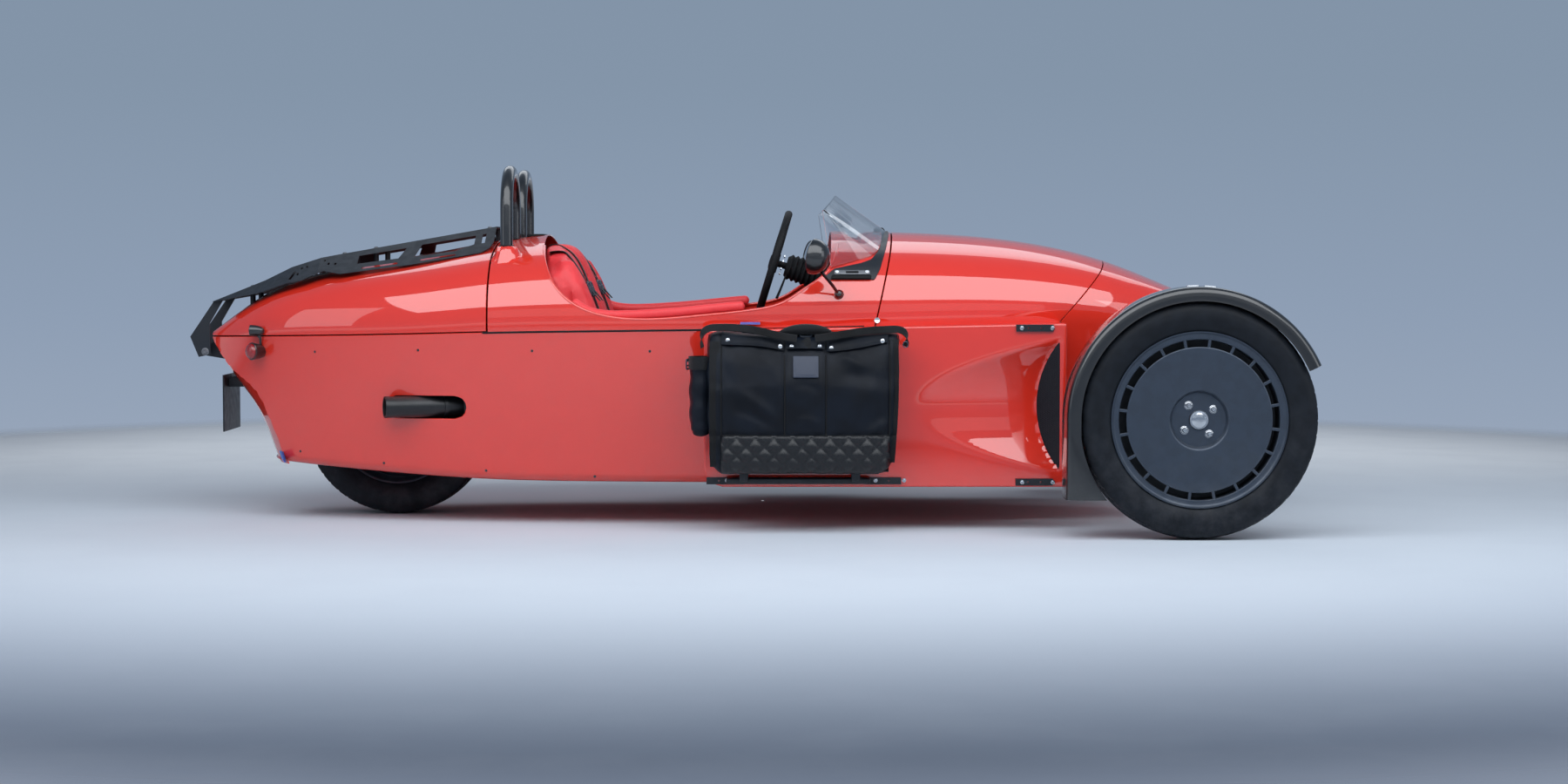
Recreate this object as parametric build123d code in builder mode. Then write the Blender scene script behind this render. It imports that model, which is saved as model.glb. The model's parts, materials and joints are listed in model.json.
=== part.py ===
from build123d import *
from collections import namedtuple
import math
import os

# Three wheeled open two-seater. Millimetres, +X to the front, +Z up, +Y to the left side.
# The origin is on the ground, on the centre plane, halfway along the whole length.

# ---------------------------------------------------------------- driving dimensions
WALL = 4.0                  # skin of every body panel
SEAT_GAP = 0.3              # distance of a piece from what carries it
SHUT_GAP = 6.0              # gap round the tail lid and between loose panels
RUN = 0.05                  # radial play of a shaft in its bearing

FRONT_AXLE_X = 1438.5
FRONT_TYRE_R = 367.0
FRONT_TYRE_W = 130.0
FRONT_WHEEL_Y = 857.0       # middle plane of a front wheel
KINGPIN_Y = 800.0
KINGPIN_HALF = 132.0        # hub centre to each ball joint, up and down
REAR_AXLE_X = -1120.0
REAR_TYRE_R = 312.0
REAR_TYRE_W = 195.0

TAIL_X = -1732.0            # rear tip of the body
NOSE_X = 1467.0             # front edge of the nose cowl
HOOP_X = -720.0
HOOP_Y = 237.0
HOOP_HALF = 131.0
HOOP_TOP = 1160.0
HOOP_TUBE_R = 20.5

BLADE_Y = 600.0             # outer face of the flat side panels
BLADE_REAR_X = -77.0
BLADE_FRONT_X = 1066.0
BLADE_LOW = 136.0
BLADE_T = 14.0

LID_X = -768.0              # shut line between tail lid and cockpit cowl
LID_PIVOT_X = -1756.0
LID_PIVOT_Z = 545.0

ARM_X, ARM_DROP, ARM_T = 110.0, 60.0, 14.0    # steering arm: reach, drop under hub, thickness
ROD_R, ROD_EYE_R, ROD_EYE_HALF = 8.0, 13.0, 9.5
ROD_DRIFT_GAP = 5.0         # the open rod end stays this far under its arm
RACK_X = FRONT_AXLE_X - ARM_X
RACK_Z = FRONT_TYRE_R - ARM_DROP - ARM_T / 2 - ROD_DRIFT_GAP - ROD_EYE_HALF

# Stations of the body: place, half width and height of the chine, top of the upper
# body on the centre line, half width and height of the flat bottom.
STATION_COLUMNS = ("x", "chine_half", "chine_z", "top_z", "floor_half", "floor_z")
STATIONS = [
    (TAIL_X, 80.0, 593.0, 612.0, 60.0, 215.0),
    (-1581.0, 215.0, 598.0, 722.0, 160.0, 200.0),
    (-1356.0, 345.0, 604.0, 808.0, 275.0, 182.0),
    (-1037.0, 447.0, 612.0, 865.0, 370.0, 160.0),
    (LID_X, 500.0, 620.0, 914.0, 420.0, 147.0),
    (-376.0, 548.0, 627.0, 944.0, 452.0, 142.0),
    (100.0, 556.0, 634.0, 946.0, 458.0, 140.0),
    (530.0, 520.0, 643.0, 940.0, 430.0, 142.0),
    (1055.0, 420.0, 648.0, 893.0, 345.0, 160.0),
    (1250.0, 372.0, 649.0, 843.0, 305.0, 180.0),
    (NOSE_X, 300.0, 650.0, 757.0, 250.0, 215.0),
]
SHOULDER_SIDE = 0.72        # shoulder of a section, as a share of its half width
SHOULDER_UP = 0.80          # and of its rise above the chine
BILGE_R = 34.0              # round between side and floor


# ---------------------------------------------------------------- shared forms
def upper_face(x, half, low, top):
    """Section of the upper body: crown arc, two side arcs tangent to it, flat base."""
    side, up = SHOULDER_SIDE * half, low + SHOULDER_UP * (top - low)
    with BuildSketch(Plane.YZ.offset(x)) as section:
        with BuildLine():
            crown = ThreePointArc((-side, up), (0, top), (side, up))
            TangentArc((side, up), (half, low), tangent=crown % 1)
            TangentArc((-side, up), (-half, low), tangent=(crown % 0) * -1)
            Line((half, low), (-half, low))
        make_face()
    return section.sketch


def lower_face(x, half, high, floor_half, floor_z):
    """Section of the lower hull: straight sides, flat floor and rounded bilges."""
    with BuildSketch(Plane.YZ.offset(x)) as section:
        with BuildLine():
            FilletPolyline((half, high), (floor_half, floor_z), (-floor_half, floor_z),
                           (-half, high), radius=(BILGE_R, BILGE_R))
            Line((half, high), (-half, high))
        make_face()
    return section.sketch


def upper_loft(rows, inset, raise_base, trim_rear=0.0, trim_front=0.0):
    """Upper body over the given stations, drawn in by an inset all round."""
    faces = []
    for index, (x, half, low, top, _, _) in enumerate(rows):
        shift = trim_rear if index == 0 else 0.0
        shift -= trim_front if index == len(rows) - 1 else 0.0
        faces.append(upper_face(x + shift, half - inset, low + raise_base, top - inset))
    with BuildPart() as body:
        loft(sections=faces)
    return body.part


def lower_loft(rows, inset, lower_top):
    """Lower hull over the given stations, drawn in by an inset all round."""
    faces = []
    for x, half, low, _, floor_half, floor_z in rows:
        faces.append(lower_face(x, half - inset, low - lower_top, floor_half - inset,
                                floor_z + inset))
    with BuildPart() as body:
        loft(sections=faces)
    return body.part


def at_station(x, column):
    """Value of a station column at any x, in straight steps between the stations."""
    place = STATION_COLUMNS.index(column)
    for near, far in zip(STATIONS, STATIONS[1:]):
        if near[0] <= x <= far[0]:
            share = (x - near[0]) / (far[0] - near[0])
            return near[place] + share * (far[place] - near[place])
    return STATIONS[-1][place] if x > STATIONS[-1][0] else STATIONS[0][place]


def hull_half(x, z):
    """Half width of the lower hull's outside at any x and z."""
    low, high = at_station(x, "floor_z"), at_station(x, "chine_z")
    share = (z - low) / (high - low)
    inner, outer = at_station(x, "floor_half"), at_station(x, "chine_half")
    return inner + share * (outer - inner)


def skin_half(x, z):
    """Half width of the upper body's outside at any x and z below the shoulder."""
    half, low, top = (at_station(x, name) for name in ("chine_half", "chine_z", "top_z"))
    side, up = SHOULDER_SIDE * half, low + SHOULDER_UP * (top - low)
    rise = top - up
    slope = 2 * math.atan2(rise, side)
    normal = (math.sin(slope), math.cos(slope))
    chord = (half - side, low - up)
    radius = -(chord[0] ** 2 + chord[1] ** 2) / (2 * (chord[0] * normal[0] + chord[1] * normal[1]))
    centre = (side - radius * normal[0], up - radius * normal[1])
    return centre[0] + math.sqrt(max(radius ** 2 - (z - centre[1]) ** 2, 0))


def mirrored(piece, to_left):
    """The piece as made for the right side, or its mirror image on the left side."""
    return piece.mirror(Plane.XZ) if to_left else piece


SIDES = (("right", -1, False), ("left", 1, True))
OVER = 2000.0               # reach of a cutting prism past the body
os.makedirs("parts", exist_ok=True)


def write(part, name):
    part.label = name
    export_step(part, f"parts/{name}.step")


# ---------------------------------------------------------------- upper skins
TAIL_ROWS = STATIONS[:5]
FRONT_ROWS = STATIONS[4:]
upper_tail = upper_loft(TAIL_ROWS, 0, SHUT_GAP)
upper_tail_in = upper_loft(TAIL_ROWS, WALL, -WALL, 3 * WALL)
upper_front = upper_loft(FRONT_ROWS, 0, SEAT_GAP)
upper_front_in = upper_loft(FRONT_ROWS, WALL, -WALL, 0, 2 * WALL)
upper_clear = upper_loft(FRONT_ROWS, -SEAT_GAP, 0)
lower_outer = lower_loft(STATIONS, 0, 0)
lower_inner = lower_loft(STATIONS, WALL, -WALL)
lower_clear = lower_loft(STATIONS, -SEAT_GAP, 0)
upper_inside = upper_loft(FRONT_ROWS, WALL + SEAT_GAP, -WALL)
lower_inside = lower_loft(STATIONS, WALL + SEAT_GAP, -WALL)

SCREEN_LINE = ((461.0, 640.0), (532.0, 950.0))      # shut line behind the bonnet
NOSE_LINE = ((1047.0, 640.0), (1242.0, 852.0))      # shut line before the bonnet
SKY = 1200.0

with BuildPart() as tail_lid:
    add(upper_tail)
    add(upper_tail_in, mode=Mode.SUBTRACT)
    with Locations((LID_X, 0, 700)):
        Box(2 * SHUT_GAP, OVER, 800, mode=Mode.SUBTRACT)
write(tail_lid.part, "tail_lid")

# Cockpit edge in side view, from the head fairing down to the sill and up to the scuttle.
COCKPIT_EDGE = [(-612, SKY), (-612, 930), (-599, 872), (-556, 770), (-474, 701), (-376, 671),
                (-100, 674), (65, 691), (176, 718), (245, 762), (303, 803), (322, 825),
                (352, 1000), (352, SKY)]
BOSS_R = 31.0
BOSS_TOP = 893.0
BOSS_LONG = 110.0

with BuildPart() as cowl_skin:
    add(upper_front)
    for hoop_y in (-HOOP_Y, HOOP_Y):
        outer_y = hoop_y + math.copysign(HOOP_HALF, hoop_y)
        with BuildSketch(Plane.XY.offset(BOSS_TOP - BOSS_LONG)):
            with Locations((HOOP_X, outer_y)):
                Circle(BOSS_R)
        extrude(amount=BOSS_LONG)
    add(upper_front_in, mode=Mode.SUBTRACT)
    with BuildSketch(Plane.XZ) as cowl_side:
        with BuildLine():
            Polyline((LID_X + 1, 500), (SCREEN_LINE[0][0] - 30, 500), SCREEN_LINE[0],
                     SCREEN_LINE[1], (SCREEN_LINE[1][0], SKY), (LID_X + 1, SKY), close=True)
        make_face()
    extrude(amount=OVER, both=True, mode=Mode.INTERSECT)
    with BuildSketch(Plane.XZ):
        with BuildLine():
            Polyline(*COCKPIT_EDGE, close=True)
        make_face()
    extrude(amount=OVER, both=True, mode=Mode.SUBTRACT)
    for hoop_y in (-HOOP_Y, HOOP_Y):
        with BuildSketch(Plane.XY.offset(700)):
            with Locations((HOOP_X, hoop_y - HOOP_HALF), (HOOP_X, hoop_y + HOOP_HALF)):
                Circle(HOOP_TUBE_R + SEAT_GAP)
        extrude(amount=400, mode=Mode.SUBTRACT)
write(cowl_skin.part, "cockpit_cowl")

with BuildPart() as bonnet:
    add(upper_front)
    add(upper_front_in, mode=Mode.SUBTRACT)
    with BuildSketch(Plane.XZ):
        with BuildLine():
            Polyline((SCREEN_LINE[0][0] + SHUT_GAP - 30, 500),
                     (SCREEN_LINE[0][0] + SHUT_GAP, SCREEN_LINE[0][1]),
                     (SCREEN_LINE[1][0] + SHUT_GAP, SCREEN_LINE[1][1]),
                     (SCREEN_LINE[1][0] + SHUT_GAP, SKY), (NOSE_LINE[1][0], SKY),
                     NOSE_LINE[1], NOSE_LINE[0], (NOSE_LINE[0][0], 500), close=True)
        make_face()
    extrude(amount=OVER, both=True, mode=Mode.INTERSECT)
write(bonnet.part, "bonnet")

with BuildPart() as nose:
    add(upper_front)
    add(upper_front_in, mode=Mode.SUBTRACT)
    with BuildSketch(Plane.XZ):
        with BuildLine():
            Polyline((NOSE_LINE[0][0] + SHUT_GAP, 500),
                     (NOSE_LINE[0][0] + SHUT_GAP, NOSE_LINE[0][1]),
                     (NOSE_LINE[1][0] + SHUT_GAP, NOSE_LINE[1][1]),
                     (NOSE_LINE[1][0] + SHUT_GAP, SKY), (NOSE_X + 50, SKY),
                     (NOSE_X + 50, 500), close=True)
        make_face()
    extrude(amount=OVER, both=True, mode=Mode.INTERSECT)
write(nose.part, "nose_cowl")

# ---------------------------------------------------------------- lower hull
HULL_END_X = 1400.0
TRANSOM = [(TAIL_X, 593.0), (-1676.0, 497.0), (-1619.0, 420.0), (-1561.0, 345.0), (-1465.0, 180.0)]
WHEEL_SLOT_HALF = REAR_TYRE_W / 2 + 32.0
WHEEL_SLOT_R = REAR_TYRE_R + 45.0
EXHAUST_X = -975.0
EXHAUST_Z = 379.0
EXHAUST_R = 32.0
EXHAUST_LONG = 215.0

with BuildPart() as hull:
    add(lower_inner)
    with BuildSketch(Plane.XZ):
        with BuildLine():
            inner_curve = [(x + 1.2 * WALL, z) for x, z in TRANSOM]
            Polyline((inner_curve[0][0], SKY), inner_curve[0], *inner_curve[1:],
                     (inner_curve[-1][0], 100), (HULL_END_X + 20, 100), (HULL_END_X + 20, SKY),
                     close=True)
        make_face()
    extrude(amount=OVER, both=True, mode=Mode.INTERSECT)
hull_space = hull.part

with BuildPart() as hull:
    add(lower_outer)
    with BuildSketch(Plane.XZ):
        with BuildLine():
            Polyline((TRANSOM[0][0], SKY), TRANSOM[0], *TRANSOM[1:],
                     (TRANSOM[-1][0], 100), (HULL_END_X, 100), (HULL_END_X, SKY), close=True)
        make_face()
    extrude(amount=OVER, both=True, mode=Mode.INTERSECT)
    add(hull_space, mode=Mode.SUBTRACT)
    with BuildSketch(Plane.XZ):
        with Locations((REAR_AXLE_X, REAR_TYRE_R)):
            Circle(WHEEL_SLOT_R)
    extrude(amount=WHEEL_SLOT_HALF, both=True, mode=Mode.SUBTRACT)
    with BuildSketch(Plane.XZ):
        with Locations((EXHAUST_X, EXHAUST_Z)):
            SlotOverall(EXHAUST_LONG + 2 * EXHAUST_R - 14, 2 * EXHAUST_R + 12)
    extrude(amount=OVER, mode=Mode.SUBTRACT)
    with Locations((RACK_X, 0, RACK_Z)):
        Cylinder(ROD_R + ROD_DRIFT_GAP + 1, OVER, rotation=(90, 0, 0), mode=Mode.SUBTRACT)
write(hull.part, "lower_hull")

# ---------------------------------------------------------------- bulkheads
BULKHEAD_T = 5.0
BULKHEAD_X = HOOP_X + HOOP_TUBE_R + SEAT_GAP
FIREWALL_X = 640.0

with BuildPart() as bulkheads:
    for space in (upper_inside, lower_inside):
        for wall_x in (BULKHEAD_X, FIREWALL_X):
            with BuildPart(mode=Mode.PRIVATE) as slab:
                with Locations((wall_x + BULKHEAD_T / 2, 0, 500)):
                    Box(BULKHEAD_T, OVER, OVER)
                add(space, mode=Mode.INTERSECT)
                if space is upper_inside:
                    add(lower_clear, mode=Mode.SUBTRACT)
            add(slab.part)
write(bulkheads.part, "bulkheads")

# ---------------------------------------------------------------- roll hoops
HOOP_FOOT_Z = 640.0
with BuildPart() as roll_hoops:
    for hoop_y in (-HOOP_Y, HOOP_Y):
        with BuildLine() as hoop_path:
            spring = HOOP_TOP - HOOP_TUBE_R - HOOP_HALF
            Line((HOOP_X, hoop_y - HOOP_HALF, HOOP_FOOT_Z), (HOOP_X, hoop_y - HOOP_HALF, spring))
            ThreePointArc((HOOP_X, hoop_y - HOOP_HALF, spring),
                          (HOOP_X, hoop_y, spring + HOOP_HALF),
                          (HOOP_X, hoop_y + HOOP_HALF, spring))
            Line((HOOP_X, hoop_y + HOOP_HALF, spring), (HOOP_X, hoop_y + HOOP_HALF, HOOP_FOOT_Z))
        with BuildSketch(Plane((HOOP_X, hoop_y - HOOP_HALF, HOOP_FOOT_Z), z_dir=(0, 0, 1))):
            Circle(HOOP_TUBE_R)
        sweep(path=hoop_path.line)
write(roll_hoops.part, "roll_hoops")

# ---------------------------------------------------------------- side blades with outlet vents
BLADE_TOP = [(BLADE_REAR_X, 630.0), (BLADE_FRONT_X, 652.0)]
BLADE_CORNER_R = 55.0
SCOOP_R = 338.0
SCOOP_REAR_X, SCOOP_FRONT_X = 600.0, 1045.0
SCOOP_DEPTH = 70.0                 # depth of the scoop at its front end
SCOOP_Z = 392.0
POD_DEPTH = 80.0                   # box behind the scoop
VENT_REAR_X = 977.0
VENT_T = 3.0
VENT_SLOTS = 15
FLANGE_DROP, FLANGE_T, FLANGE_LOW = 8.0, 4.0, 46.0
scoop_slope = SCOOP_DEPTH / (SCOOP_FRONT_X - SCOOP_REAR_X)
face_plane = Plane((0, -BLADE_Y, 0), x_dir=(1, 0, 0), z_dir=(0, -1, 0))
scoop_start = Vector(SCOOP_REAR_X - 300, -BLADE_Y - SCOOP_R - 300 * scoop_slope, SCOOP_Z)
scoop_plane = Plane(scoop_start, z_dir=Vector(1, scoop_slope, 0))

with BuildPart() as scoop_tool:
    with BuildSketch(scoop_plane):
        Circle(SCOOP_R)
    extrude(amount=900)
    with Locations((SCOOP_FRONT_X + 500, 0, SCOOP_Z)):
        Box(1000, 4 * OVER, 1000, mode=Mode.SUBTRACT)

vent_inner_y = -BLADE_Y + scoop_slope * (VENT_REAR_X - SCOOP_REAR_X)
vent_line = Vector(SCOOP_FRONT_X - VENT_REAR_X, -BLADE_Y - vent_inner_y)
vent_length = vent_line.length

with BuildPart() as blade_skin:
    with BuildSketch(face_plane):
        with BuildLine():
            FilletPolyline(BLADE_TOP[0], BLADE_TOP[1], (BLADE_FRONT_X, BLADE_LOW),
                           (BLADE_REAR_X, BLADE_LOW),
                           radius=(4, 4, 12, BLADE_CORNER_R), close=True)
        make_face()
    extrude(amount=-BLADE_T)
    with BuildSketch(face_plane):
        with BuildLine():
            Polyline((SCOOP_REAR_X + 50, SCOOP_Z - 90), (SCOOP_REAR_X + 50, SCOOP_Z + 90),
                     (SCOOP_FRONT_X - 60, BLADE_TOP[1][1] - 20),
                     (SCOOP_FRONT_X + 14, BLADE_TOP[1][1] - 20),
                     (SCOOP_FRONT_X + 14, BLADE_LOW + 20), (SCOOP_FRONT_X - 60, BLADE_LOW + 20),
                     close=True)
        make_face()
    extrude(amount=-POD_DEPTH)
    add(scoop_tool.part, mode=Mode.SUBTRACT)
    with BuildSketch(Plane.XY.offset(SCOOP_Z - 165)):
        with BuildLine():
            Polyline((VENT_REAR_X + 12, vent_inner_y + 4), (SCOOP_FRONT_X - 4, -BLADE_Y + 12),
                     (SCOOP_FRONT_X - 4, -BLADE_Y + POD_DEPTH + 10),
                     (VENT_REAR_X + 12, -BLADE_Y + POD_DEPTH + 10), close=True)
        make_face()
    extrude(amount=330, mode=Mode.SUBTRACT)

vent_plane = Plane((VENT_REAR_X, vent_inner_y, SCOOP_Z), x_dir=(vent_line.X, vent_line.Y, 0),
                   z_dir=(vent_line.Y, -vent_line.X, 0))
with BuildPart() as vent:
    with BuildSketch(vent_plane):
        with Locations((vent_length / 2 - 1, 0)):
            Rectangle(vent_length + 10, 2 * SCOOP_R)
    extrude(amount=VENT_T, both=True)
    add(scoop_tool.part, mode=Mode.INTERSECT)
    slot_pitch = 24.0
    with BuildSketch(vent_plane):
        with GridLocations(0, slot_pitch, 1, VENT_SLOTS):
            with Locations((vent_length / 2 + 4, 0)):
                Rectangle(vent_length - 22, slot_pitch - 6)
    extrude(amount=4 * VENT_T, both=True, mode=Mode.SUBTRACT)

with BuildPart() as blade:
    add(blade_skin.part)
    with BuildSketch(Plane.XZ.offset(BLADE_Y - BLADE_T / 2)):
        with BuildLine():
            Polyline((BLADE_TOP[0][0] + 8, BLADE_TOP[0][1] - FLANGE_DROP),
                     (BLADE_TOP[1][0] - 8, BLADE_TOP[1][1] - FLANGE_DROP),
                     (BLADE_TOP[1][0] - 8, BLADE_TOP[1][1] - FLANGE_DROP - FLANGE_T),
                     (BLADE_TOP[0][0] + 8, BLADE_TOP[0][1] - FLANGE_DROP - FLANGE_T), close=True)
        make_face()
        with BuildLine():
            Polyline((BLADE_REAR_X + BLADE_CORNER_R, BLADE_LOW + FLANGE_LOW),
                     (BLADE_FRONT_X - 12, BLADE_LOW + FLANGE_LOW),
                     (BLADE_FRONT_X - 12, BLADE_LOW + FLANGE_LOW + FLANGE_T),
                     (BLADE_REAR_X + BLADE_CORNER_R, BLADE_LOW + FLANGE_LOW + FLANGE_T), close=True)
        make_face()
    extrude(amount=-(BLADE_Y - BLADE_T / 2) + 100)
    add(lower_clear, mode=Mode.SUBTRACT)

blades = {"right": blade.part, "left": blade.part.mirror(Plane.XZ)}
for side, sign, to_left in SIDES:
    write(blades[side], f"blade_{side}")
with BuildPart() as vent_grilles:
    add(vent.part)
    add(vent.part.mirror(Plane.XZ))
write(vent_grilles.part, "vent_grilles")

# ---------------------------------------------------------------- front wheels
HUB_Z = FRONT_TYRE_R
RIM_R = 262.0               # bead seat
RIM_LIP_R = 270.0
SLOT_OUT_R, SLOT_IN_R = 244.0, 222.5
SPOKES = 20
SPOKE_W = 9.0
SPOKE_PHASE = 2.0
BARREL_HALF = 52.0
COVER_OUT = 48.0            # outer face of the flat cover, from the middle plane
COVER_T = 4.0
RECESS_R, RECESS_OUT = 82.0, 32.0
CAP_R = 28.0
STUB_R = 20.0
STUB_END = 20.0             # end of the stub axle, outside the middle plane
DISC_R, DISC_OUT, DISC_T = 108.0, -28.0, 10.0
CARRIER_END = -45.0
LIP_T = 4.0


def wheel_plane(y_plane, hub_z, axle_x):
    """Sketch plane through the axle: radius, then distance outwards on the right side."""
    return Plane((axle_x, -y_plane, hub_z), x_dir=(0, 0, 1), z_dir=(1, 0, 0))


front_plane = wheel_plane(FRONT_WHEEL_Y, HUB_Z, FRONT_AXLE_X)
front_axis = Axis((FRONT_AXLE_X, 0, HUB_Z), (0, 1, 0))
half_w = FRONT_TYRE_W / 2
with BuildPart() as front_tyre:
    with BuildSketch(front_plane):
        with BuildLine():
            bead = (RIM_R + SEAT_GAP, BARREL_HALF - 8)
            bulge = (FRONT_TYRE_R - 55, half_w)
            edge = (FRONT_TYRE_R - 10, half_w - 13)
            Line((bead[0], -bead[1]), bead)
            ThreePointArc(bead, bulge, edge)
            ThreePointArc(edge, (FRONT_TYRE_R, 0), (edge[0], -edge[1]))
            ThreePointArc((edge[0], -edge[1]), (bulge[0], -bulge[1]), (bead[0], -bead[1]))
        make_face()
    revolve(axis=front_axis)

with BuildPart() as front_rim:
    with BuildSketch(front_plane):
        with BuildLine():
            Polyline((RIM_R - 10, -BARREL_HALF - LIP_T), (RIM_LIP_R, -BARREL_HALF - LIP_T),
                     (RIM_LIP_R, -BARREL_HALF), (RIM_R, -BARREL_HALF), (RIM_R, BARREL_HALF),
                     (RIM_LIP_R, BARREL_HALF), (RIM_LIP_R, BARREL_HALF + LIP_T),
                     (SLOT_OUT_R + 4, BARREL_HALF + LIP_T), (SLOT_OUT_R, COVER_OUT),
                     (SLOT_IN_R, COVER_OUT), (RECESS_R + 12, COVER_OUT - 2),
                     (RECESS_R, RECESS_OUT), (CAP_R, RECESS_OUT), (CAP_R - 3, RECESS_OUT + 12),
                     (0, RECESS_OUT + 14), (0, STUB_END + 1), (STUB_R + RUN, STUB_END + 1),
                     (STUB_R + RUN, DISC_OUT - DISC_T), (DISC_R, DISC_OUT - DISC_T),
                     (DISC_R, DISC_OUT), (58, DISC_OUT), (58, RECESS_OUT - 10),
                     (RECESS_R + COVER_T, RECESS_OUT - 10),
                     (RECESS_R + COVER_T + 12, COVER_OUT - 2 - COVER_T),
                     (SLOT_OUT_R, COVER_OUT - COVER_T), (RIM_R - 10, COVER_OUT - COVER_T),
                     close=True)
        make_face()
    revolve(axis=front_axis)
    cover_plane = Plane((FRONT_AXLE_X, -FRONT_WHEEL_Y - COVER_OUT - 8, HUB_Z),
                        x_dir=(1, 0, 0), z_dir=(0, -1, 0))
    with BuildSketch(cover_plane) as slots:
        Circle(SLOT_OUT_R)
        Circle(SLOT_IN_R, mode=Mode.SUBTRACT)
        with PolarLocations((SLOT_OUT_R + SLOT_IN_R) / 2, SPOKES, start_angle=90 + SPOKE_PHASE):
            Rectangle(SLOT_OUT_R, SPOKE_W, mode=Mode.SUBTRACT)
    extrude(amount=-(COVER_T + 16), mode=Mode.SUBTRACT)

for side, sign, to_left in SIDES:
    write(mirrored(front_tyre.part, to_left), f"tyre_front_{side}")
    write(mirrored(front_rim.part, to_left), f"rim_front_{side}")

# ---------------------------------------------------------------- knuckles and mudguards
INBOARD = FRONT_WHEEL_Y + CARRIER_END      # outer face of the hub carrier
CARRIER_IN = 790.0
CARRIER_R = 46.0
PIN_R = 8.0
PIN_END = KINGPIN_HALF + 14.0
EYE_R, EYE_T = 18.0, 20.0
ARM_Y = 786.0
UPRIGHT_W = 40.0
CALIPER_X0, CALIPER_X1 = 58.0, 134.0
CALIPER_HALF = 46.0
DISC_CLEAR = 6.0
MUD_R, MUD_T = 402.0, 3.0
MUD_IN, MUD_OUT = 780.0, 925.0
MUD_LIP_R = 362.0
MUD_FRONT_DEG = 24.5
MUD_LOW_Z = 124.0
MUD_EDGE_R = 18.0
STAY_R = 6.0
STAY_DEGREES = (58.0, 126.0, 175.0)
STAY_IN_R, STAY_IN_Y, STAY_OUT_Y = 40.0, 779.0, 784.0


def ball(angle_deg, radius):
    """X and Z at a radius and angle above straight ahead, about the front hub."""
    turn = math.radians(angle_deg)
    return FRONT_AXLE_X + radius * math.cos(turn), HUB_Z + radius * math.sin(turn)


with BuildPart() as upright:
    with BuildSketch(Plane((FRONT_AXLE_X, -CARRIER_IN, HUB_Z), x_dir=(1, 0, 0), z_dir=(0, -1, 0))):
        Circle(CARRIER_R)
        Rectangle(UPRIGHT_W, 2 * (KINGPIN_HALF - 18))
    extrude(amount=INBOARD - CARRIER_IN)
    with BuildSketch(Plane((FRONT_AXLE_X, -INBOARD, HUB_Z), x_dir=(1, 0, 0), z_dir=(0, -1, 0))):
        Circle(STUB_R)
    extrude(amount=FRONT_WHEEL_Y + STUB_END - INBOARD)
    with Locations((FRONT_AXLE_X, -KINGPIN_Y, HUB_Z)):
        Cylinder(PIN_R, 2 * PIN_END)
    with BuildSketch(Plane.XY.offset(HUB_Z - ARM_DROP - ARM_T / 2)):
        with BuildLine():
            Polyline((FRONT_AXLE_X, -CARRIER_IN), (FRONT_AXLE_X, -INBOARD),
                     (FRONT_AXLE_X - ARM_X, -ARM_Y - 10), (FRONT_AXLE_X - ARM_X, -ARM_Y + 10),
                     close=True)
        make_face()
        with Locations((FRONT_AXLE_X - ARM_X, -ARM_Y)):
            Circle(14)
    extrude(amount=ARM_T)
    middle_x = FRONT_AXLE_X + (CALIPER_X0 + CALIPER_X1) / 2
    disc_y = FRONT_WHEEL_Y + DISC_OUT - DISC_T / 2
    inner_y, outer_y = CARRIER_IN + 4, disc_y + DISC_T / 2 + DISC_CLEAR + 14
    with Locations((middle_x, -(inner_y + outer_y) / 2, HUB_Z)):
        Box(CALIPER_X1 - CALIPER_X0, outer_y - inner_y, 2 * CALIPER_HALF)
    with Locations((FRONT_AXLE_X + DISC_R + DISC_CLEAR - 60, -disc_y, HUB_Z)):
        Box(120, DISC_T + 2 * DISC_CLEAR, 2 * CALIPER_HALF + 2, mode=Mode.SUBTRACT)
    with Locations((FRONT_AXLE_X + 52, -(inner_y + INBOARD) / 2, HUB_Z)):
        Box(40, INBOARD - inner_y, 44)

front = math.radians(MUD_FRONT_DEG)
tip_plane = Plane((FRONT_AXLE_X, 0, HUB_Z), x_dir=(math.cos(front), 0, math.sin(front)),
                  z_dir=(math.sin(front), 0, -math.cos(front)))


def mudguard_section():
    """Top skin with a rounded outer edge and a side band: radius, then distance out."""
    FilletPolyline((MUD_R, MUD_IN), (MUD_R, MUD_OUT), (MUD_LIP_R, MUD_OUT),
                   (MUD_LIP_R, MUD_OUT - MUD_T), (MUD_R - MUD_T, MUD_OUT - MUD_T),
                   (MUD_R - MUD_T, MUD_IN),
                   radius=(0, MUD_EDGE_R, 0, 0, MUD_EDGE_R - MUD_T, 0), close=True)


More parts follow.
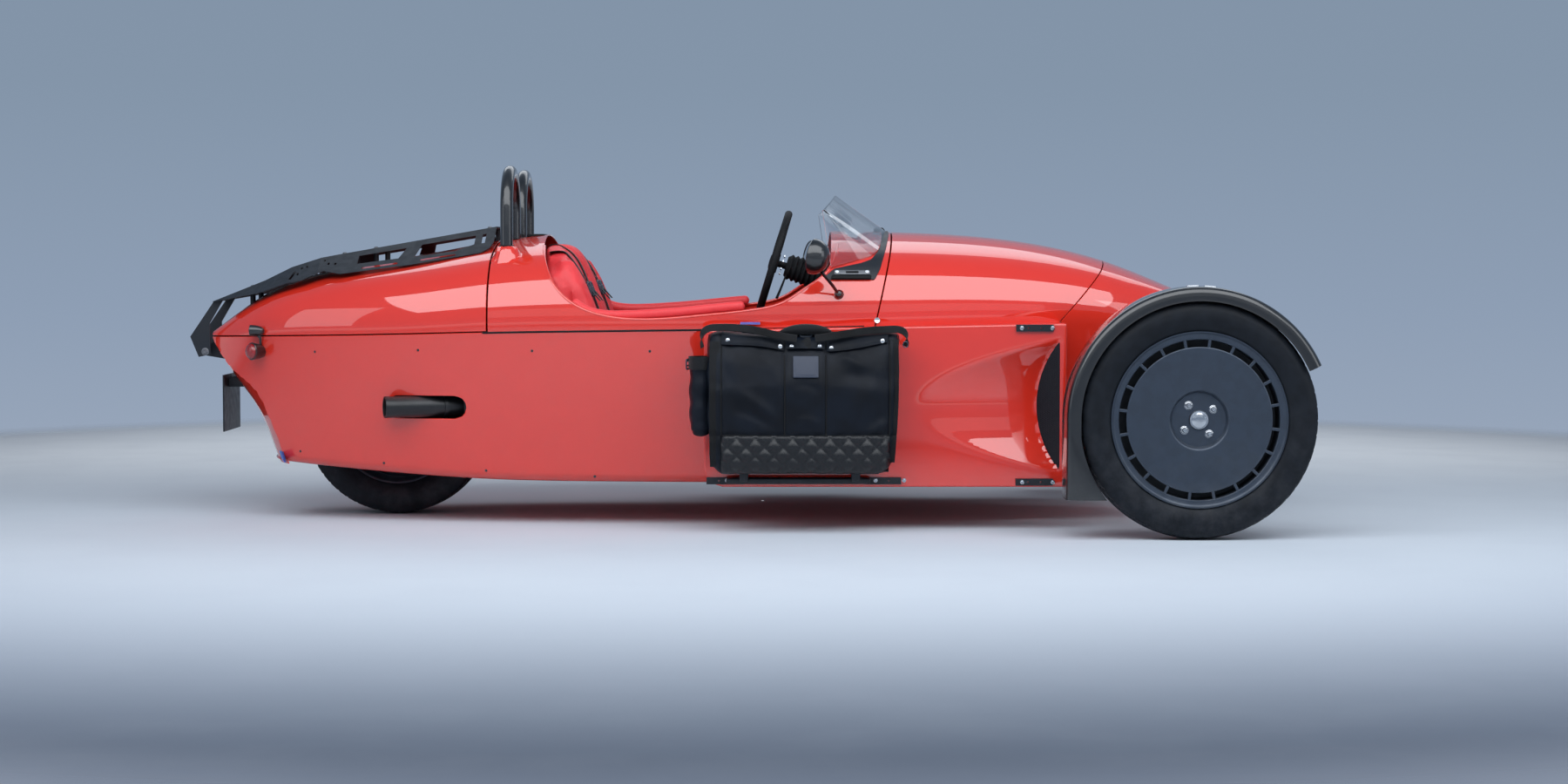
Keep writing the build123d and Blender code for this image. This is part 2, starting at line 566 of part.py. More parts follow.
with BuildPart() as mudguard:
    with BuildSketch(tip_plane):
        with BuildLine():
            mudguard_section()
        make_face()
    revolve(axis=Axis((FRONT_AXLE_X, 0, HUB_Z), (0, -1, 0)), revolution_arc=180 - MUD_FRONT_DEG)
    rear_drop = Plane((FRONT_AXLE_X, 0, HUB_Z), x_dir=(-1, 0, 0), z_dir=(0, 0, 1))
    with BuildSketch(rear_drop):
        with BuildLine():
            mudguard_section()
        make_face()
    extrude(amount=-(HUB_Z - MUD_LOW_Z))
    side_plane = Plane((0, -MUD_OUT + MUD_T, 0), x_dir=(1, 0, 0), z_dir=(0, -1, 0))
    with BuildSketch(side_plane):
        with BuildLine():
            back_x = FRONT_AXLE_X - MUD_R + MUD_EDGE_R
            foot_x = FRONT_AXLE_X - math.sqrt(MUD_R ** 2 - (HUB_Z - MUD_LOW_Z) ** 2) + 20
            Polyline((back_x, HUB_Z), (FRONT_AXLE_X - MUD_LIP_R, HUB_Z), (foot_x, MUD_LOW_Z),
                     (back_x, MUD_LOW_Z), close=True)
        make_face()
        with Locations((FRONT_AXLE_X, HUB_Z)):
            Circle(MUD_LIP_R, mode=Mode.SUBTRACT)
    extrude(amount=MUD_T)
    with BuildSketch(Plane((FRONT_AXLE_X, -CARRIER_IN + SEAT_GAP + 8, HUB_Z), x_dir=(1, 0, 0),
                           z_dir=(0, -1, 0))):
        Circle(CARRIER_R - 2)
    extrude(amount=8)
    for degrees_up in STAY_DEGREES:
        inner_x, inner_z = ball(degrees_up, STAY_IN_R)
        outer_x, outer_z = ball(degrees_up, MUD_R - MUD_T / 2)
        start = Vector(inner_x, -STAY_IN_Y, inner_z)
        run = Vector(outer_x, -STAY_OUT_Y, outer_z) - start
        with BuildSketch(Plane(start, z_dir=run)):
            Circle(STAY_R)
        extrude(amount=run.length)

for side, sign, to_left in SIDES:
    write(mirrored(upright.part, to_left), f"upright_{side}")
    write(mirrored(mudguard.part, to_left), f"mudguard_{side}")

# ---------------------------------------------------------------- rear wheel and swing arm
REAR_RIM_R = 203.0
REAR_BARREL_HALF = 78.0
REAR_DISC_OUT = 60.0
AXLE_R = 14.0
SWING_IN_Y, SWING_T = 106.0, 14.0
SWING_X = BULKHEAD_X - SEAT_GAP - 27.0
SWING_TUBE_R = 27.0
REAR_SLOTS = 12
rear_wheel_plane = wheel_plane(0, REAR_TYRE_R, REAR_AXLE_X)
rear_axis = Axis((REAR_AXLE_X, 0, REAR_TYRE_R), (0, 1, 0))
rear_half = REAR_TYRE_W / 2
with BuildPart() as tyre_rear:
    with BuildSketch(rear_wheel_plane):
        with BuildLine():
            bead = (REAR_RIM_R + SEAT_GAP, REAR_BARREL_HALF - 14)
            bulge = (REAR_TYRE_R - 56, rear_half)
            edge = (REAR_TYRE_R - 6, rear_half - 12)
            Line((bead[0], -bead[1]), bead)
            ThreePointArc(bead, bulge, edge)
            ThreePointArc(edge, (REAR_TYRE_R, 0), (edge[0], -edge[1]))
            ThreePointArc((edge[0], -edge[1]), (bulge[0], -bulge[1]), (bead[0], -bead[1]))
        make_face()
    revolve(axis=rear_axis)
write(tyre_rear.part, "tyre_rear")

with BuildPart() as rim_rear:
    with BuildSketch(rear_wheel_plane):
        with BuildLine():
            outer = REAR_BARREL_HALF
            Polyline((REAR_RIM_R - 10, -outer - LIP_T), (REAR_RIM_R + 7, -outer - LIP_T),
                     (REAR_RIM_R + 7, -outer), (REAR_RIM_R, -outer), (REAR_RIM_R, outer),
                     (REAR_RIM_R + 7, outer), (REAR_RIM_R + 7, outer + LIP_T),
                     (REAR_RIM_R - 10, outer + LIP_T), (REAR_RIM_R - 10, 8), (52, 8),
                     (44, 70), (AXLE_R + RUN, 70), (AXLE_R + RUN, -70), (44, -70), (52, -2),
                     (REAR_RIM_R - 10, -2), close=True)
        make_face()
    revolve(axis=rear_axis)
    with BuildSketch(Plane((REAR_AXLE_X, 40, REAR_TYRE_R), x_dir=(1, 0, 0), z_dir=(0, -1, 0))):
        with PolarLocations(150, REAR_SLOTS):
            SlotOverall(60, 26)
    extrude(amount=80, mode=Mode.SUBTRACT)
write(rim_rear.part, "rim_rear")

with BuildPart() as swing_arm:
    with Locations((REAR_AXLE_X, 0, REAR_TYRE_R)):
        Cylinder(AXLE_R, 2 * (SWING_IN_Y + SWING_T), rotation=(90, 0, 0))
    with BuildSketch(Plane.XZ) as arm_side:
        with BuildLine():
            Polyline((REAR_AXLE_X, REAR_TYRE_R + 30), (SWING_X, REAR_TYRE_R + 22),
                     (SWING_X, REAR_TYRE_R - 22), (REAR_AXLE_X, REAR_TYRE_R - 30), close=True)
        make_face()
        with Locations((REAR_AXLE_X, REAR_TYRE_R)):
            Circle(34)
    extrude(amount=SWING_IN_Y + SWING_T, both=True)
    extrude(arm_side.sketch, amount=SWING_IN_Y, both=True, mode=Mode.SUBTRACT)
    with Locations((REAR_AXLE_X, 0, REAR_TYRE_R)):
        Cylinder(AXLE_R, 2 * (SWING_IN_Y + SWING_T), rotation=(90, 0, 0))
    with Locations((SWING_X, 0, REAR_TYRE_R)):
        Cylinder(SWING_TUBE_R, 400, rotation=(90, 0, 0))
write(swing_arm.part, "swing_arm")

# ---------------------------------------------------------------- front frame and suspension
FRAME_T = 12.0
GRILLE_HALF, GRILLE_LOW, GRILLE_HIGH = 190.0, 290.0, 600.0
GRILLE_BARS = 9
RACK_TUBE_R, RACK_HOLD_Y = 22.0, 200.0
LEG_R = 11.0
Wishbone = namedtuple("Wishbone", "up front_x rear_x lug_up")     # up: 1 over the hub, -1 under it
WISHBONES = (Wishbone(1, 1378.0, 1215.0, 105.0), Wishbone(-1, 1378.0, 1195.0, -110.0))
LUG_X, LUG_Z = 36.0, 34.0
LUG_BITE = 9.0              # lugs are drawn this deep, then cut to the hull's side
DAMPER_R = 24.0

frame_half, frame_top = at_station(HULL_END_X, "chine_half"), at_station(HULL_END_X, "chine_z")
with BuildPart() as front_frame:
    frame_face = lower_face(HULL_END_X + SEAT_GAP, frame_half, frame_top,
                            at_station(HULL_END_X, "floor_half"), at_station(HULL_END_X, "floor_z"))
    extrude(frame_face, amount=FRAME_T)
    with BuildSketch(Plane.YZ.offset(HULL_END_X)):
        with Locations((0, (GRILLE_LOW + GRILLE_HIGH) / 2)):
            RectangleRounded(2 * GRILLE_HALF, GRILLE_HIGH - GRILLE_LOW, 50)
    extrude(amount=4 * FRAME_T, mode=Mode.SUBTRACT)
    bar_pitch = (GRILLE_HIGH - GRILLE_LOW) / (GRILLE_BARS + 1)
    for index in range(GRILLE_BARS):
        with Locations((HULL_END_X + SEAT_GAP + FRAME_T / 2, 0, GRILLE_LOW + (index + 1) * bar_pitch)):
            Box(FRAME_T, 2 * GRILLE_HALF + 4, 7)
    for sign in (-1, 1):
        with Locations(((RACK_X + HULL_END_X + FRAME_T) / 2, sign * RACK_HOLD_Y, RACK_Z)):
            Box(HULL_END_X + FRAME_T - RACK_X, 12, 40)
    with Locations((RACK_X, 0, RACK_Z)):
        Cylinder(RACK_TUBE_R, 2 * RACK_HOLD_Y + 40, rotation=(90, 0, 0))
        Cylinder(ROD_R + RUN, 3 * RACK_HOLD_Y, rotation=(90, 0, 0), mode=Mode.SUBTRACT)
write(front_frame.part, "front_frame")

with BuildPart() as wishbones:
    for arm in WISHBONES:
        eye_z = HUB_Z + arm.up * KINGPIN_HALF
        with Locations((FRONT_AXLE_X, -KINGPIN_Y, eye_z)):
            Cylinder(EYE_R, EYE_T)
        for lug_x in (arm.front_x, arm.rear_x):
            lug_z = HUB_Z + arm.lug_up
            wide = hull_half(lug_x - LUG_X / 2, lug_z + LUG_Z / 2) - LUG_BITE
            with Locations((lug_x, -wide - 14, lug_z)):
                Box(LUG_X, 28, LUG_Z)
            start = Vector(FRONT_AXLE_X, -KINGPIN_Y + 10, eye_z)
            run = Vector(lug_x, -wide - 14, lug_z) - start
            with BuildSketch(Plane(start, z_dir=run)):
                Circle(LEG_R)
            extrude(amount=run.length)
        with Locations((FRONT_AXLE_X, -KINGPIN_Y, eye_z)):
            Cylinder(PIN_R + RUN, 3 * EYE_T, mode=Mode.SUBTRACT)
    damper_low = Vector(FRONT_AXLE_X - 20, -620, HUB_Z - 118)
    damper_x, damper_z = 1330.0, 590.0
    damper_wide = hull_half(damper_x - LUG_X / 2, damper_z + LUG_Z / 2) - LUG_BITE
    damper_high = Vector(damper_x, -damper_wide - 16, damper_z)
    run = damper_high - damper_low
    with BuildSketch(Plane(damper_low, z_dir=run)):
        Circle(9)
    extrude(amount=run.length)
    with BuildSketch(Plane(damper_low + run * 0.22, z_dir=run)):
        Circle(DAMPER_R)
    extrude(amount=run.length * 0.6)
    with Locations(damper_high):
        Box(LUG_X, 32, LUG_Z)
    add(lower_clear, mode=Mode.SUBTRACT)
with BuildPart() as suspension:
    add(wishbones.part)
    add(wishbones.part.mirror(Plane.XZ))
write(suspension.part, "suspension")

# ---------------------------------------------------------------- steering
COLUMN_TILT = 17.0
WHEEL_CENTRE = Vector(143.0, -300.0, 843.0)
WHEEL_RING_R, WHEEL_GRIP_R = 163.0, 12.5
COLUMN_R = 11.0
COLUMN_BACK = 3.0           # the column ends this far ahead of the wheel's middle plane
BOSS_HALF = 15.0
BELLOWS_FROM, BELLOWS_TO = 40.0, 170.0
BELLOWS_RIBS = 9
tilt = math.radians(COLUMN_TILT)
to_driver = Vector(-math.cos(tilt), 0, math.sin(tilt))
steer_plane = Plane(WHEEL_CENTRE, x_dir=(0, -1, 0), z_dir=to_driver)

with BuildPart(steer_plane) as steering_wheel:
    Torus(WHEEL_RING_R, WHEEL_GRIP_R)
    Cylinder(34, 2 * BOSS_HALF)
    for degrees_round in (0, 180, 270):
        with PolarLocations(WHEEL_RING_R / 2, 1, start_angle=degrees_round):
            Box(WHEEL_RING_R - 4, 26, 4)
    with Locations((0, 0, -BOSS_HALF / 2 - 1)):
        Cylinder(COLUMN_R + RUN, BOSS_HALF, mode=Mode.SUBTRACT)
write(steering_wheel.part, "steering_wheel")

column_reach = FIREWALL_X - SEAT_GAP - COLUMN_R * math.sin(tilt) - WHEEL_CENTRE.X
column_length = column_reach / math.cos(tilt) - COLUMN_BACK
with BuildPart() as column:
    with BuildSketch(Plane(WHEEL_CENTRE - to_driver * COLUMN_BACK, x_dir=(0, -1, 0), z_dir=to_driver * -1)):
        Circle(COLUMN_R)
    extrude(amount=column_length)
    bellows_plane = Plane(WHEEL_CENTRE, x_dir=(0, -1, 0), z_dir=(math.sin(tilt), 0, math.cos(tilt)))
    with BuildSketch(bellows_plane):
        with BuildLine():
            pitch = (BELLOWS_TO - BELLOWS_FROM) / BELLOWS_RIBS
            ridge = [(0, BELLOWS_FROM), (22, BELLOWS_FROM)]
            for index in range(BELLOWS_RIBS):
                ridge.append((36, BELLOWS_FROM + (index + 0.5) * pitch))
                ridge.append((28, BELLOWS_FROM + (index + 1) * pitch))
            ridge.append((0, BELLOWS_TO))
            Polyline(*ridge, close=True)
        make_face()
    revolve(axis=Axis(WHEEL_CENTRE, to_driver))
write(column.part, "steering_column")

with BuildPart() as track_rods:
    with Locations((RACK_X, 0, RACK_Z)):
        Cylinder(ROD_R, 2 * ARM_Y, rotation=(90, 0, 0))
    with Locations((RACK_X, -ARM_Y, RACK_Z), (RACK_X, ARM_Y, RACK_Z)):
        Cylinder(ROD_EYE_R, 2 * ROD_EYE_HALF)
write(track_rods.part, "track_rods")

# ---------------------------------------------------------------- engine
ENGINE_BOX = (760.0, 1200.0, 190.0, 230.0, 600.0)    # x from, x to, half width, z from, z to
ex0, ex1, ey, ez0, ez1 = ENGINE_BOX
SUMP_HALF = 100.0
with BuildPart() as engine:
    with Locations(((ex0 + ex1) / 2, 0, (ez0 + ez1) / 2)):
        Box(ex1 - ex0, 2 * ey, ez1 - ez0)
    sump_low = at_station((ex0 + ex1) / 2 + SUMP_HALF, "floor_z") + WALL + SEAT_GAP
    with Locations(((ex0 + ex1) / 2, 0, (ez0 + sump_low) / 2)):
        Box(2 * SUMP_HALF, 160, ez0 - sump_low)
write(engine.part, "engine_block")

# ---------------------------------------------------------------- dash, seats, pads
DASH_X, DASH_T, DASH_LOW = 376.0, 8.0, 642.0
with BuildPart() as dash:
    with Locations((DASH_X, 0, DASH_LOW + 500)):
        Box(DASH_T, OVER, 1000)
    add(upper_inside, mode=Mode.INTERSECT)
    with BuildSketch(Plane(WHEEL_CENTRE, z_dir=to_driver * -1)):
        Circle(44)
    extrude(amount=600, mode=Mode.SUBTRACT)
write(dash.part, "dashboard")

SEAT_Y, SEAT_W = 232.0, 440.0
FLOOR_TOP = 143.0           # soft pieces are drawn to here, then cut to the floor
TRIM_GAP = 10.0             # trimmed pieces stay this far inside the outer skin
SEAT_BACK = [(-618, 905), (-596, 915), (-540, 905), (-508, 872), (-428, 690), (-352, 400),
             (-365, FLOOR_TOP), (-450, FLOOR_TOP), (-520, 420), (-600, 800)]
with BuildPart() as outside_part:
    with Locations((0, 0, SKY)):
        Box(2 * OVER, OVER, 2 * (SKY - 700.0))
    add(upper_loft(FRONT_ROWS, TRIM_GAP, -WALL), mode=Mode.SUBTRACT)
outside = outside_part.part
with BuildPart() as hull_liner_part:
    add(lower_outer)
    add(lower_inside, mode=Mode.SUBTRACT)
hull_liner = hull_liner_part.part

with BuildPart() as seat_backs:
    with BuildSketch(Plane.XZ):
        with BuildLine():
            Polyline(*SEAT_BACK, close=True)
        make_face()
    extrude(amount=SEAT_Y + SEAT_W / 2, both=True)
    Box(4 * OVER, 2 * (SEAT_Y - SEAT_W / 2), 4 * OVER, mode=Mode.SUBTRACT)
    add(outside, mode=Mode.SUBTRACT)
    add(hull_liner, mode=Mode.SUBTRACT)
write(seat_backs.part, "seat_backs")
with BuildPart() as seat_cushions:
    with BuildSketch(Plane.XZ):
        with BuildLine():
            Polyline((-355, FLOOR_TOP), (-345, 318), (20, 345), (60, 320), (60, FLOOR_TOP + 60),
                     (0, FLOOR_TOP), close=True)
        make_face()
    extrude(amount=SEAT_Y + SEAT_W / 2 - 28, both=True)
    Box(4 * OVER, 2 * (SEAT_Y - SEAT_W / 2), 4 * OVER, mode=Mode.SUBTRACT)
    add(hull_liner, mode=Mode.SUBTRACT)
write(seat_cushions.part, "seat_cushions")

SIDE_PAD = [(-500, 690), (-440, 662), (-376, 652), (60, 668), (60, 712), (-376, 694), (-430, 706),
            (-475, 735)]
PAD_T = 26.0
with BuildPart() as side_pads:
    with BuildSketch(Plane.XZ):
        with BuildLine():
            Polyline(*SIDE_PAD, close=True)
        make_face()
    extrude(amount=OVER, both=True)
    add(upper_inside, mode=Mode.INTERSECT)
    add(upper_loft(FRONT_ROWS, WALL + PAD_T, -WALL), mode=Mode.SUBTRACT)
write(side_pads.part, "side_pads")

# ---------------------------------------------------------------- panniers and their bars
BAR_T = 8.0
BAR_LONG, BAR_H = 118.0, 22.0
BAR_HOLE_R, BAR_HOLE_SPACE = 3.3, 40.0
BAR_PLACES = ((965.0, 638.0), (965.0, 152.0), (486.0, 156.0), (-10.0, 156.0))
PANNIER = (-94.0, 566.0, 180.0, 645.0, 165.0)     # x from, x to, z from, z to, depth
px0, px1, pz0, pz1, pannier_depth = PANNIER
pannier_y = BLADE_Y + SEAT_GAP
with BuildPart() as pannier_bars:
    for sign in (-1, 1):
        for bar_x, bar_z in BAR_PLACES:
            with Locations((bar_x, sign * (BLADE_Y + SEAT_GAP + BAR_T / 2), bar_z)):
                Box(BAR_LONG, BAR_T, BAR_H)
            for step in (-1, 1):
                hole_x = bar_x + step * BAR_HOLE_SPACE / 2
                with Locations((hole_x, sign * (BLADE_Y + SEAT_GAP + BAR_T / 2), bar_z)):
                    Cylinder(BAR_HOLE_R, 2 * BAR_T, rotation=(90, 0, 0), mode=Mode.SUBTRACT)
write(pannier_bars.part, "pannier_bars")
with BuildPart() as pannier:
    with Locations(((px0 + 75 + px1) / 2, -(pannier_y + pannier_depth / 2), (pz0 + pz1) / 2)):
        Box(px1 - px0 - 75, pannier_depth, pz1 - pz0)
    fillet(pannier.edges().filter_by(Axis.Z), radius=28)
    with Locations((px0 + 45, -(pannier_y + 60), 425)):
        Box(90, 110, 250)
for side, sign, to_left in SIDES:
    write(mirrored(pannier.part, to_left), f"pannier_{side}")

# ---------------------------------------------------------------- wind screens
SCREEN_T = 5.0
SCREEN_SLOPE = 1.39
SCREEN_SIDE_SLOPE = 0.09
SCREEN_FOOT = (501.0, 946.0)
SCREEN_SIDE_Y = 503.0
SCREEN_CORNER_R = 165.0
SCREEN_MIDDLE_Y = 55.0
SCREEN_LOW, SCREEN_TOP = 810.0, 1062.0
SCREEN_REAR_X = 100.0


def screen_strip(z, inner, thick):
    """Bent strip in plan: side run, corner arc and front run of one screen at a height."""
    front_x = SCREEN_FOOT[0] - SCREEN_SLOPE * (z - SCREEN_FOOT[1]) - inner
    side_y = SCREEN_SIDE_Y - SCREEN_SIDE_SLOPE * (z - SCREEN_LOW) - inner
    radius = SCREEN_CORNER_R - inner
    with BuildSketch(Plane.XY.offset(z)) as strip:
        with BuildLine():
            for depth in (0, thick):
                fx, sy, r = front_x - depth, side_y - depth, radius - depth
                Line((SCREEN_REAR_X, -sy), (fx - r, -sy))
                CenterArc((fx - r, -sy + r), r, -90, 90)
                Line((fx, -sy + r), (fx, -SCREEN_MIDDLE_Y))
            Line((SCREEN_REAR_X, -side_y), (SCREEN_REAR_X, -side_y + thick))
            Line((front_x, -SCREEN_MIDDLE_Y), (front_x - thick, -SCREEN_MIDDLE_Y))
        make_face()
    return strip.sketch


with BuildPart() as screen:
    loft(sections=[screen_strip(SCREEN_LOW, 0, SCREEN_T), screen_strip(SCREEN_TOP + 5, 0, SCREEN_T)])
    with BuildSketch(Plane.XZ):
        with BuildLine():
            Polyline((322, 800), (300, 1005), (338, SCREEN_TOP), (900, SCREEN_TOP), (900, 800),
                     close=True)
        make_face()
    extrude(amount=OVER, both=True, mode=Mode.INTERSECT)
    add(upper_clear, mode=Mode.SUBTRACT)
with BuildPart() as wind_screens:
    add(screen.part)
    add(screen.part.mirror(Plane.XZ))
write(wind_screens.part, "wind_screens")

# ---------------------------------------------------------------- mirrors
MIRROR_X, MIRROR_Y, MIRROR_Z, MIRROR_R = 258.0, 620.0, 862.0, 57.0
MIRROR_FOOT_X, MIRROR_FOOT_Z = 349.0, 743.0
with BuildPart() as mirror_piece:
    with BuildSketch(Plane((MIRROR_X, -MIRROR_Y, MIRROR_Z), x_dir=(1, 0, 0), z_dir=(0, -1, 0))):
        with BuildLine():
            Line((0, 0), (0, MIRROR_R))
            ThreePointArc((0, MIRROR_R), (34, 40), (54, 0))
            Line((54, 0), (0, 0))
        make_face()
    revolve(axis=Axis((MIRROR_X, -MIRROR_Y, MIRROR_Z), (1, 0, 0)))
    foot_y = skin_half(MIRROR_FOOT_X, MIRROR_FOOT_Z) + SEAT_GAP + 13
    foot = Vector(MIRROR_FOOT_X, -foot_y, MIRROR_FOOT_Z)
    run = Vector(MIRROR_X + 24, -MIRROR_Y, MIRROR_Z - 30) - foot
    with BuildSketch(Plane(foot, z_dir=run)):
        Circle(5)
    extrude(amount=run.length)
    with Locations(foot):
        Sphere(14)
    add(upper_clear, mode=Mode.SUBTRACT)
with BuildPart() as mirrors:
    add(mirror_piece.part)
    add(mirror_piece.part.mirror(Plane.XZ))
write(mirrors.part, "mirrors")

# ---------------------------------------------------------------- lamps
TAIL_LAMP = (-1568.0, 552.0, 29.0, 52.0)       # x, z, lens radius, body length
INDICATOR_Z = 624.0
LAMP_TIP_R = 3.0
HEADLAMP = (1490.0, 395.0, 590.0, 89.0, 120.0)  # x, y, z, radius, depth
lamp_x, lamp_z, lamp_r, lamp_long = TAIL_LAMP
lamp_y = hull_half(lamp_x + 30, lamp_z + lamp_r) + SEAT_GAP + lamp_r
with BuildPart() as tail_lamp:
    with BuildSketch(Plane((lamp_x, -lamp_y, lamp_z), x_dir=(1, 0, 0), z_dir=(0, -1, 0))):
        with BuildLine():
            Polyline((lamp_long, LAMP_TIP_R), (lamp_long, 0), (0, 0), (0, lamp_r),
                     (0.3 * lamp_long, lamp_r))
            ThreePointArc((0.3 * lamp_long, lamp_r), (lamp_long * 0.8, lamp_r * 0.62),
                          (lamp_long, LAMP_TIP_R))
        make_face()
    revolve(axis=Axis((0, -lamp_y, lamp_z), (1, 0, 0)))
    with Locations((lamp_x + 10, -lamp_y, (lamp_z + INDICATOR_Z) / 2)):
        Cylinder(5, INDICATOR_Z - lamp_z - 8)
    with BuildSketch(Plane((lamp_x, -lamp_y, INDICATOR_Z), x_dir=(1, 0, 0), z_dir=(0, -1, 0))):
        with BuildLine():
            Polyline((30, LAMP_TIP_R), (30, 0), (0, 0), (0, 15), (16, 15))
            ThreePointArc((16, 15), (26, 10), (30, LAMP_TIP_R))
        make_face()
    revolve(axis=Axis((0, -lamp_y, INDICATOR_Z), (1, 0, 0)))
    with Locations((lamp_x + 22, -lamp_y / 2, lamp_z)):
        Cylinder(9, lamp_y, rotation=(90, 0, 0))
    add(lower_clear, mode=Mode.SUBTRACT)
with BuildPart() as tail_lamps:
    add(tail_lamp.part)
    add(tail_lamp.part.mirror(Plane.XZ))
write(tail_lamps.part, "tail_lamps")
with BuildPart() as tail_lenses:
    for sign in (-1, 1):
        with Locations((lamp_x - SEAT_GAP - 3, sign * lamp_y, lamp_z)):
            Cylinder(lamp_r - 2, 6, rotation=(0, 90, 0))
write(tail_lenses.part, "tail_lenses")

head_x, head_y, head_z, head_r, head_deep = HEADLAMP
with BuildPart() as headlamp:
    with BuildSketch(Plane((head_x, -head_y, head_z), x_dir=(1, 0, 0), z_dir=(0, -1, 0))):
        with BuildLine():
            Line((0, 0), (0, head_r))
            ThreePointArc((0, head_r), (-head_deep * 0.7, head_r * 0.7), (-head_deep, 0))
            Line((-head_deep, 0), (0, 0))
        make_face()
    revolve(axis=Axis((head_x, -head_y, head_z), (1, 0, 0)))
    frame_side = at_station(HULL_END_X, "chine_half") - 8
    with Locations((HULL_END_X + 2 * SEAT_GAP + FRAME_T + 13, -(frame_side - 20 + head_y) / 2, head_z)):
        Box(26, head_y - frame_side + 50, 30)
with BuildPart() as headlamps:
    add(headlamp.part)
    add(headlamp.part.mirror(Plane.XZ))
write(headlamps.part, "headlamps")
with BuildPart() as headlamp_lenses:
    for sign in (-1, 1):
        with Locations((head_x + SEAT_GAP + 4, sign * head_y, head_z)):
            Cylinder(head_r - 4, 8, rotation=(0, 90, 0))
write(headlamp_lenses.part, "headlamp_lenses")

# ---------------------------------------------------------------- exhaust
PIPE_TIP = Vector(-1086.0, -428.0, EXHAUST_Z)
PIPE_IN = Vector(-860.0, -350.0, EXHAUST_Z)
PIPE_T = 3.0
DRUM_R = 68.0
with BuildPart() as exhaust:
    run = PIPE_IN - PIPE_TIP
    with BuildSketch(Plane(PIPE_TIP, z_dir=run)):
        Circle(EXHAUST_R)
    extrude(amount=run.length + 40)
    drum_end = BULKHEAD_X - SEAT_GAP
    with Locations(((PIPE_IN.X + drum_end) / 2, PIPE_IN.Y + 8, EXHAUST_Z)):
        Cylinder(DRUM_R, drum_end - PIPE_IN.X, rotation=(0, 90, 0))
    with BuildSketch(Plane(PIPE_TIP, z_dir=run)):
        Circle(EXHAUST_R - PIPE_T)
    extrude(amount=run.length, mode=Mode.SUBTRACT)
write(exhaust.part, "exhaust")

# ---------------------------------------------------------------- number plate
PLATE_X, PLATE_LOW, PLATE_HIGH, PLATE_HALF = -1690.0, 279.0, 468.0, 130.0
with BuildPart() as plate_holder:
    with Locations((PLATE_X, 0, (PLATE_LOW + PLATE_HIGH) / 2)):
        Box(5, 2 * PLATE_HALF, PLATE_HIGH - PLATE_LOW)
    for sign in (-1, 1):
        with BuildSketch(Plane.XZ.offset(sign * 40)):
            with BuildLine():
                Polyline((PLATE_X, 455), (PLATE_X, 425), (-1623.3, 425), (-1645.5, 455), close=True)
            make_face()
        extrude(amount=10)
write(plate_holder.part, "number_plate")

# ---------------------------------------------------------------- rear foot and luggage rack
FOOT_Y, FOOT_T = 92.0, 6.0
PIVOT_R = 7.0
with BuildPart() as rear_foot:
    for sign in (-1, 1):
        with BuildSketch(Plane.XZ.offset(sign * 45 - 4)):
            with BuildLine():
                Polyline((LID_PIVOT_X - 14, LID_PIVOT_Z - 14), (LID_PIVOT_X - 14, LID_PIVOT_Z + 14),
                         (TAIL_X - 6, 575), (-1722.5, 575), (-1694.5, 518), close=True)
            make_face()
        extrude(amount=8)
    with Locations((LID_PIVOT_X, 0, LID_PIVOT_Z)):
        Cylinder(PIVOT_R, 2 * (FOOT_Y + 8), rotation=(90, 0, 0))
write(rear_foot.part, "rear_foot")

RACK_T = 4.0
RACK_FOLD = math.radians(28.0)
RackRow = namedtuple("RackRow", "x top half side")
RACK_ROWS = [
    RackRow(-1728, 712, 110, 60),
    RackRow(-1547, 783, 127, 80),
    RackRow(-1456, 827, 136, 110),
    RackRow(-1357, 858, 146, 140),
    RackRow(-1297, 869, 150, 165),
    RackRow(-775, 961, 150, 170),
]
# side view of the sheets folded down: their lower edge, then their windows
RACK_EDGE = [(-1728, 711), (-1640, 727), (-1540, 744), (-1440, 767), (-1382, 795), (-1335, 815),
             (-1276, 805), (-1021, 838), (-818, 871), (-785, 890), (-772, 915)]
SIDE_WINDOWS = [
    [(-1226, 838), (-1088, 856), (-1068, 890), (-1226, 864)],
    [(-1035, 861), (-897, 881), (-840, 902), (-840, 931), (-1018, 901)],
    [(-817, 905), (-805, 907), (-805, 937), (-817, 935)],
    [(-1455, 786), (-1446, 786), (-1434, 812), (-1443, 812)],
    [(-1206, 821.5), (-1087, 837.5), (-1087, 843), (-1206, 827)],
    [(-1012, 848), (-896, 864.5), (-896, 870), (-1012, 853.5)],
]
SIDE_HOLES = [(-1418, 823), (-1399, 828), (-1427, 804), (-1341, 848), (-1295, 855), (-1325, 838),
              (-1301, 838)]
SIDE_HOLE_R = 4.0
DECK_WINDOWS = (-1201.0, -1041.0, -881.0)
DECK_WINDOW_LONG, DECK_WINDOW_WIDE, DECK_WINDOW_R = 106.0, 150.0, 8.0
RACK_POSTS = ((-1600.0, 70.0), (-1282.0, 130.0), (-1178.0, 130.0), (-800.0, 130.0))
POST_R = 9.0
POST_LONG = 100.0
tail_clear = upper_loft(TAIL_ROWS, -SEAT_GAP, SHUT_GAP)


def deck_top(x):
    """Height of the rack's flat top at any x between its ends."""
    for low, high in zip(RACK_ROWS, RACK_ROWS[1:]):
        if x <= high.x:
            return low.top + (high.top - low.top) * (x - low.x) / (high.x - low.x)


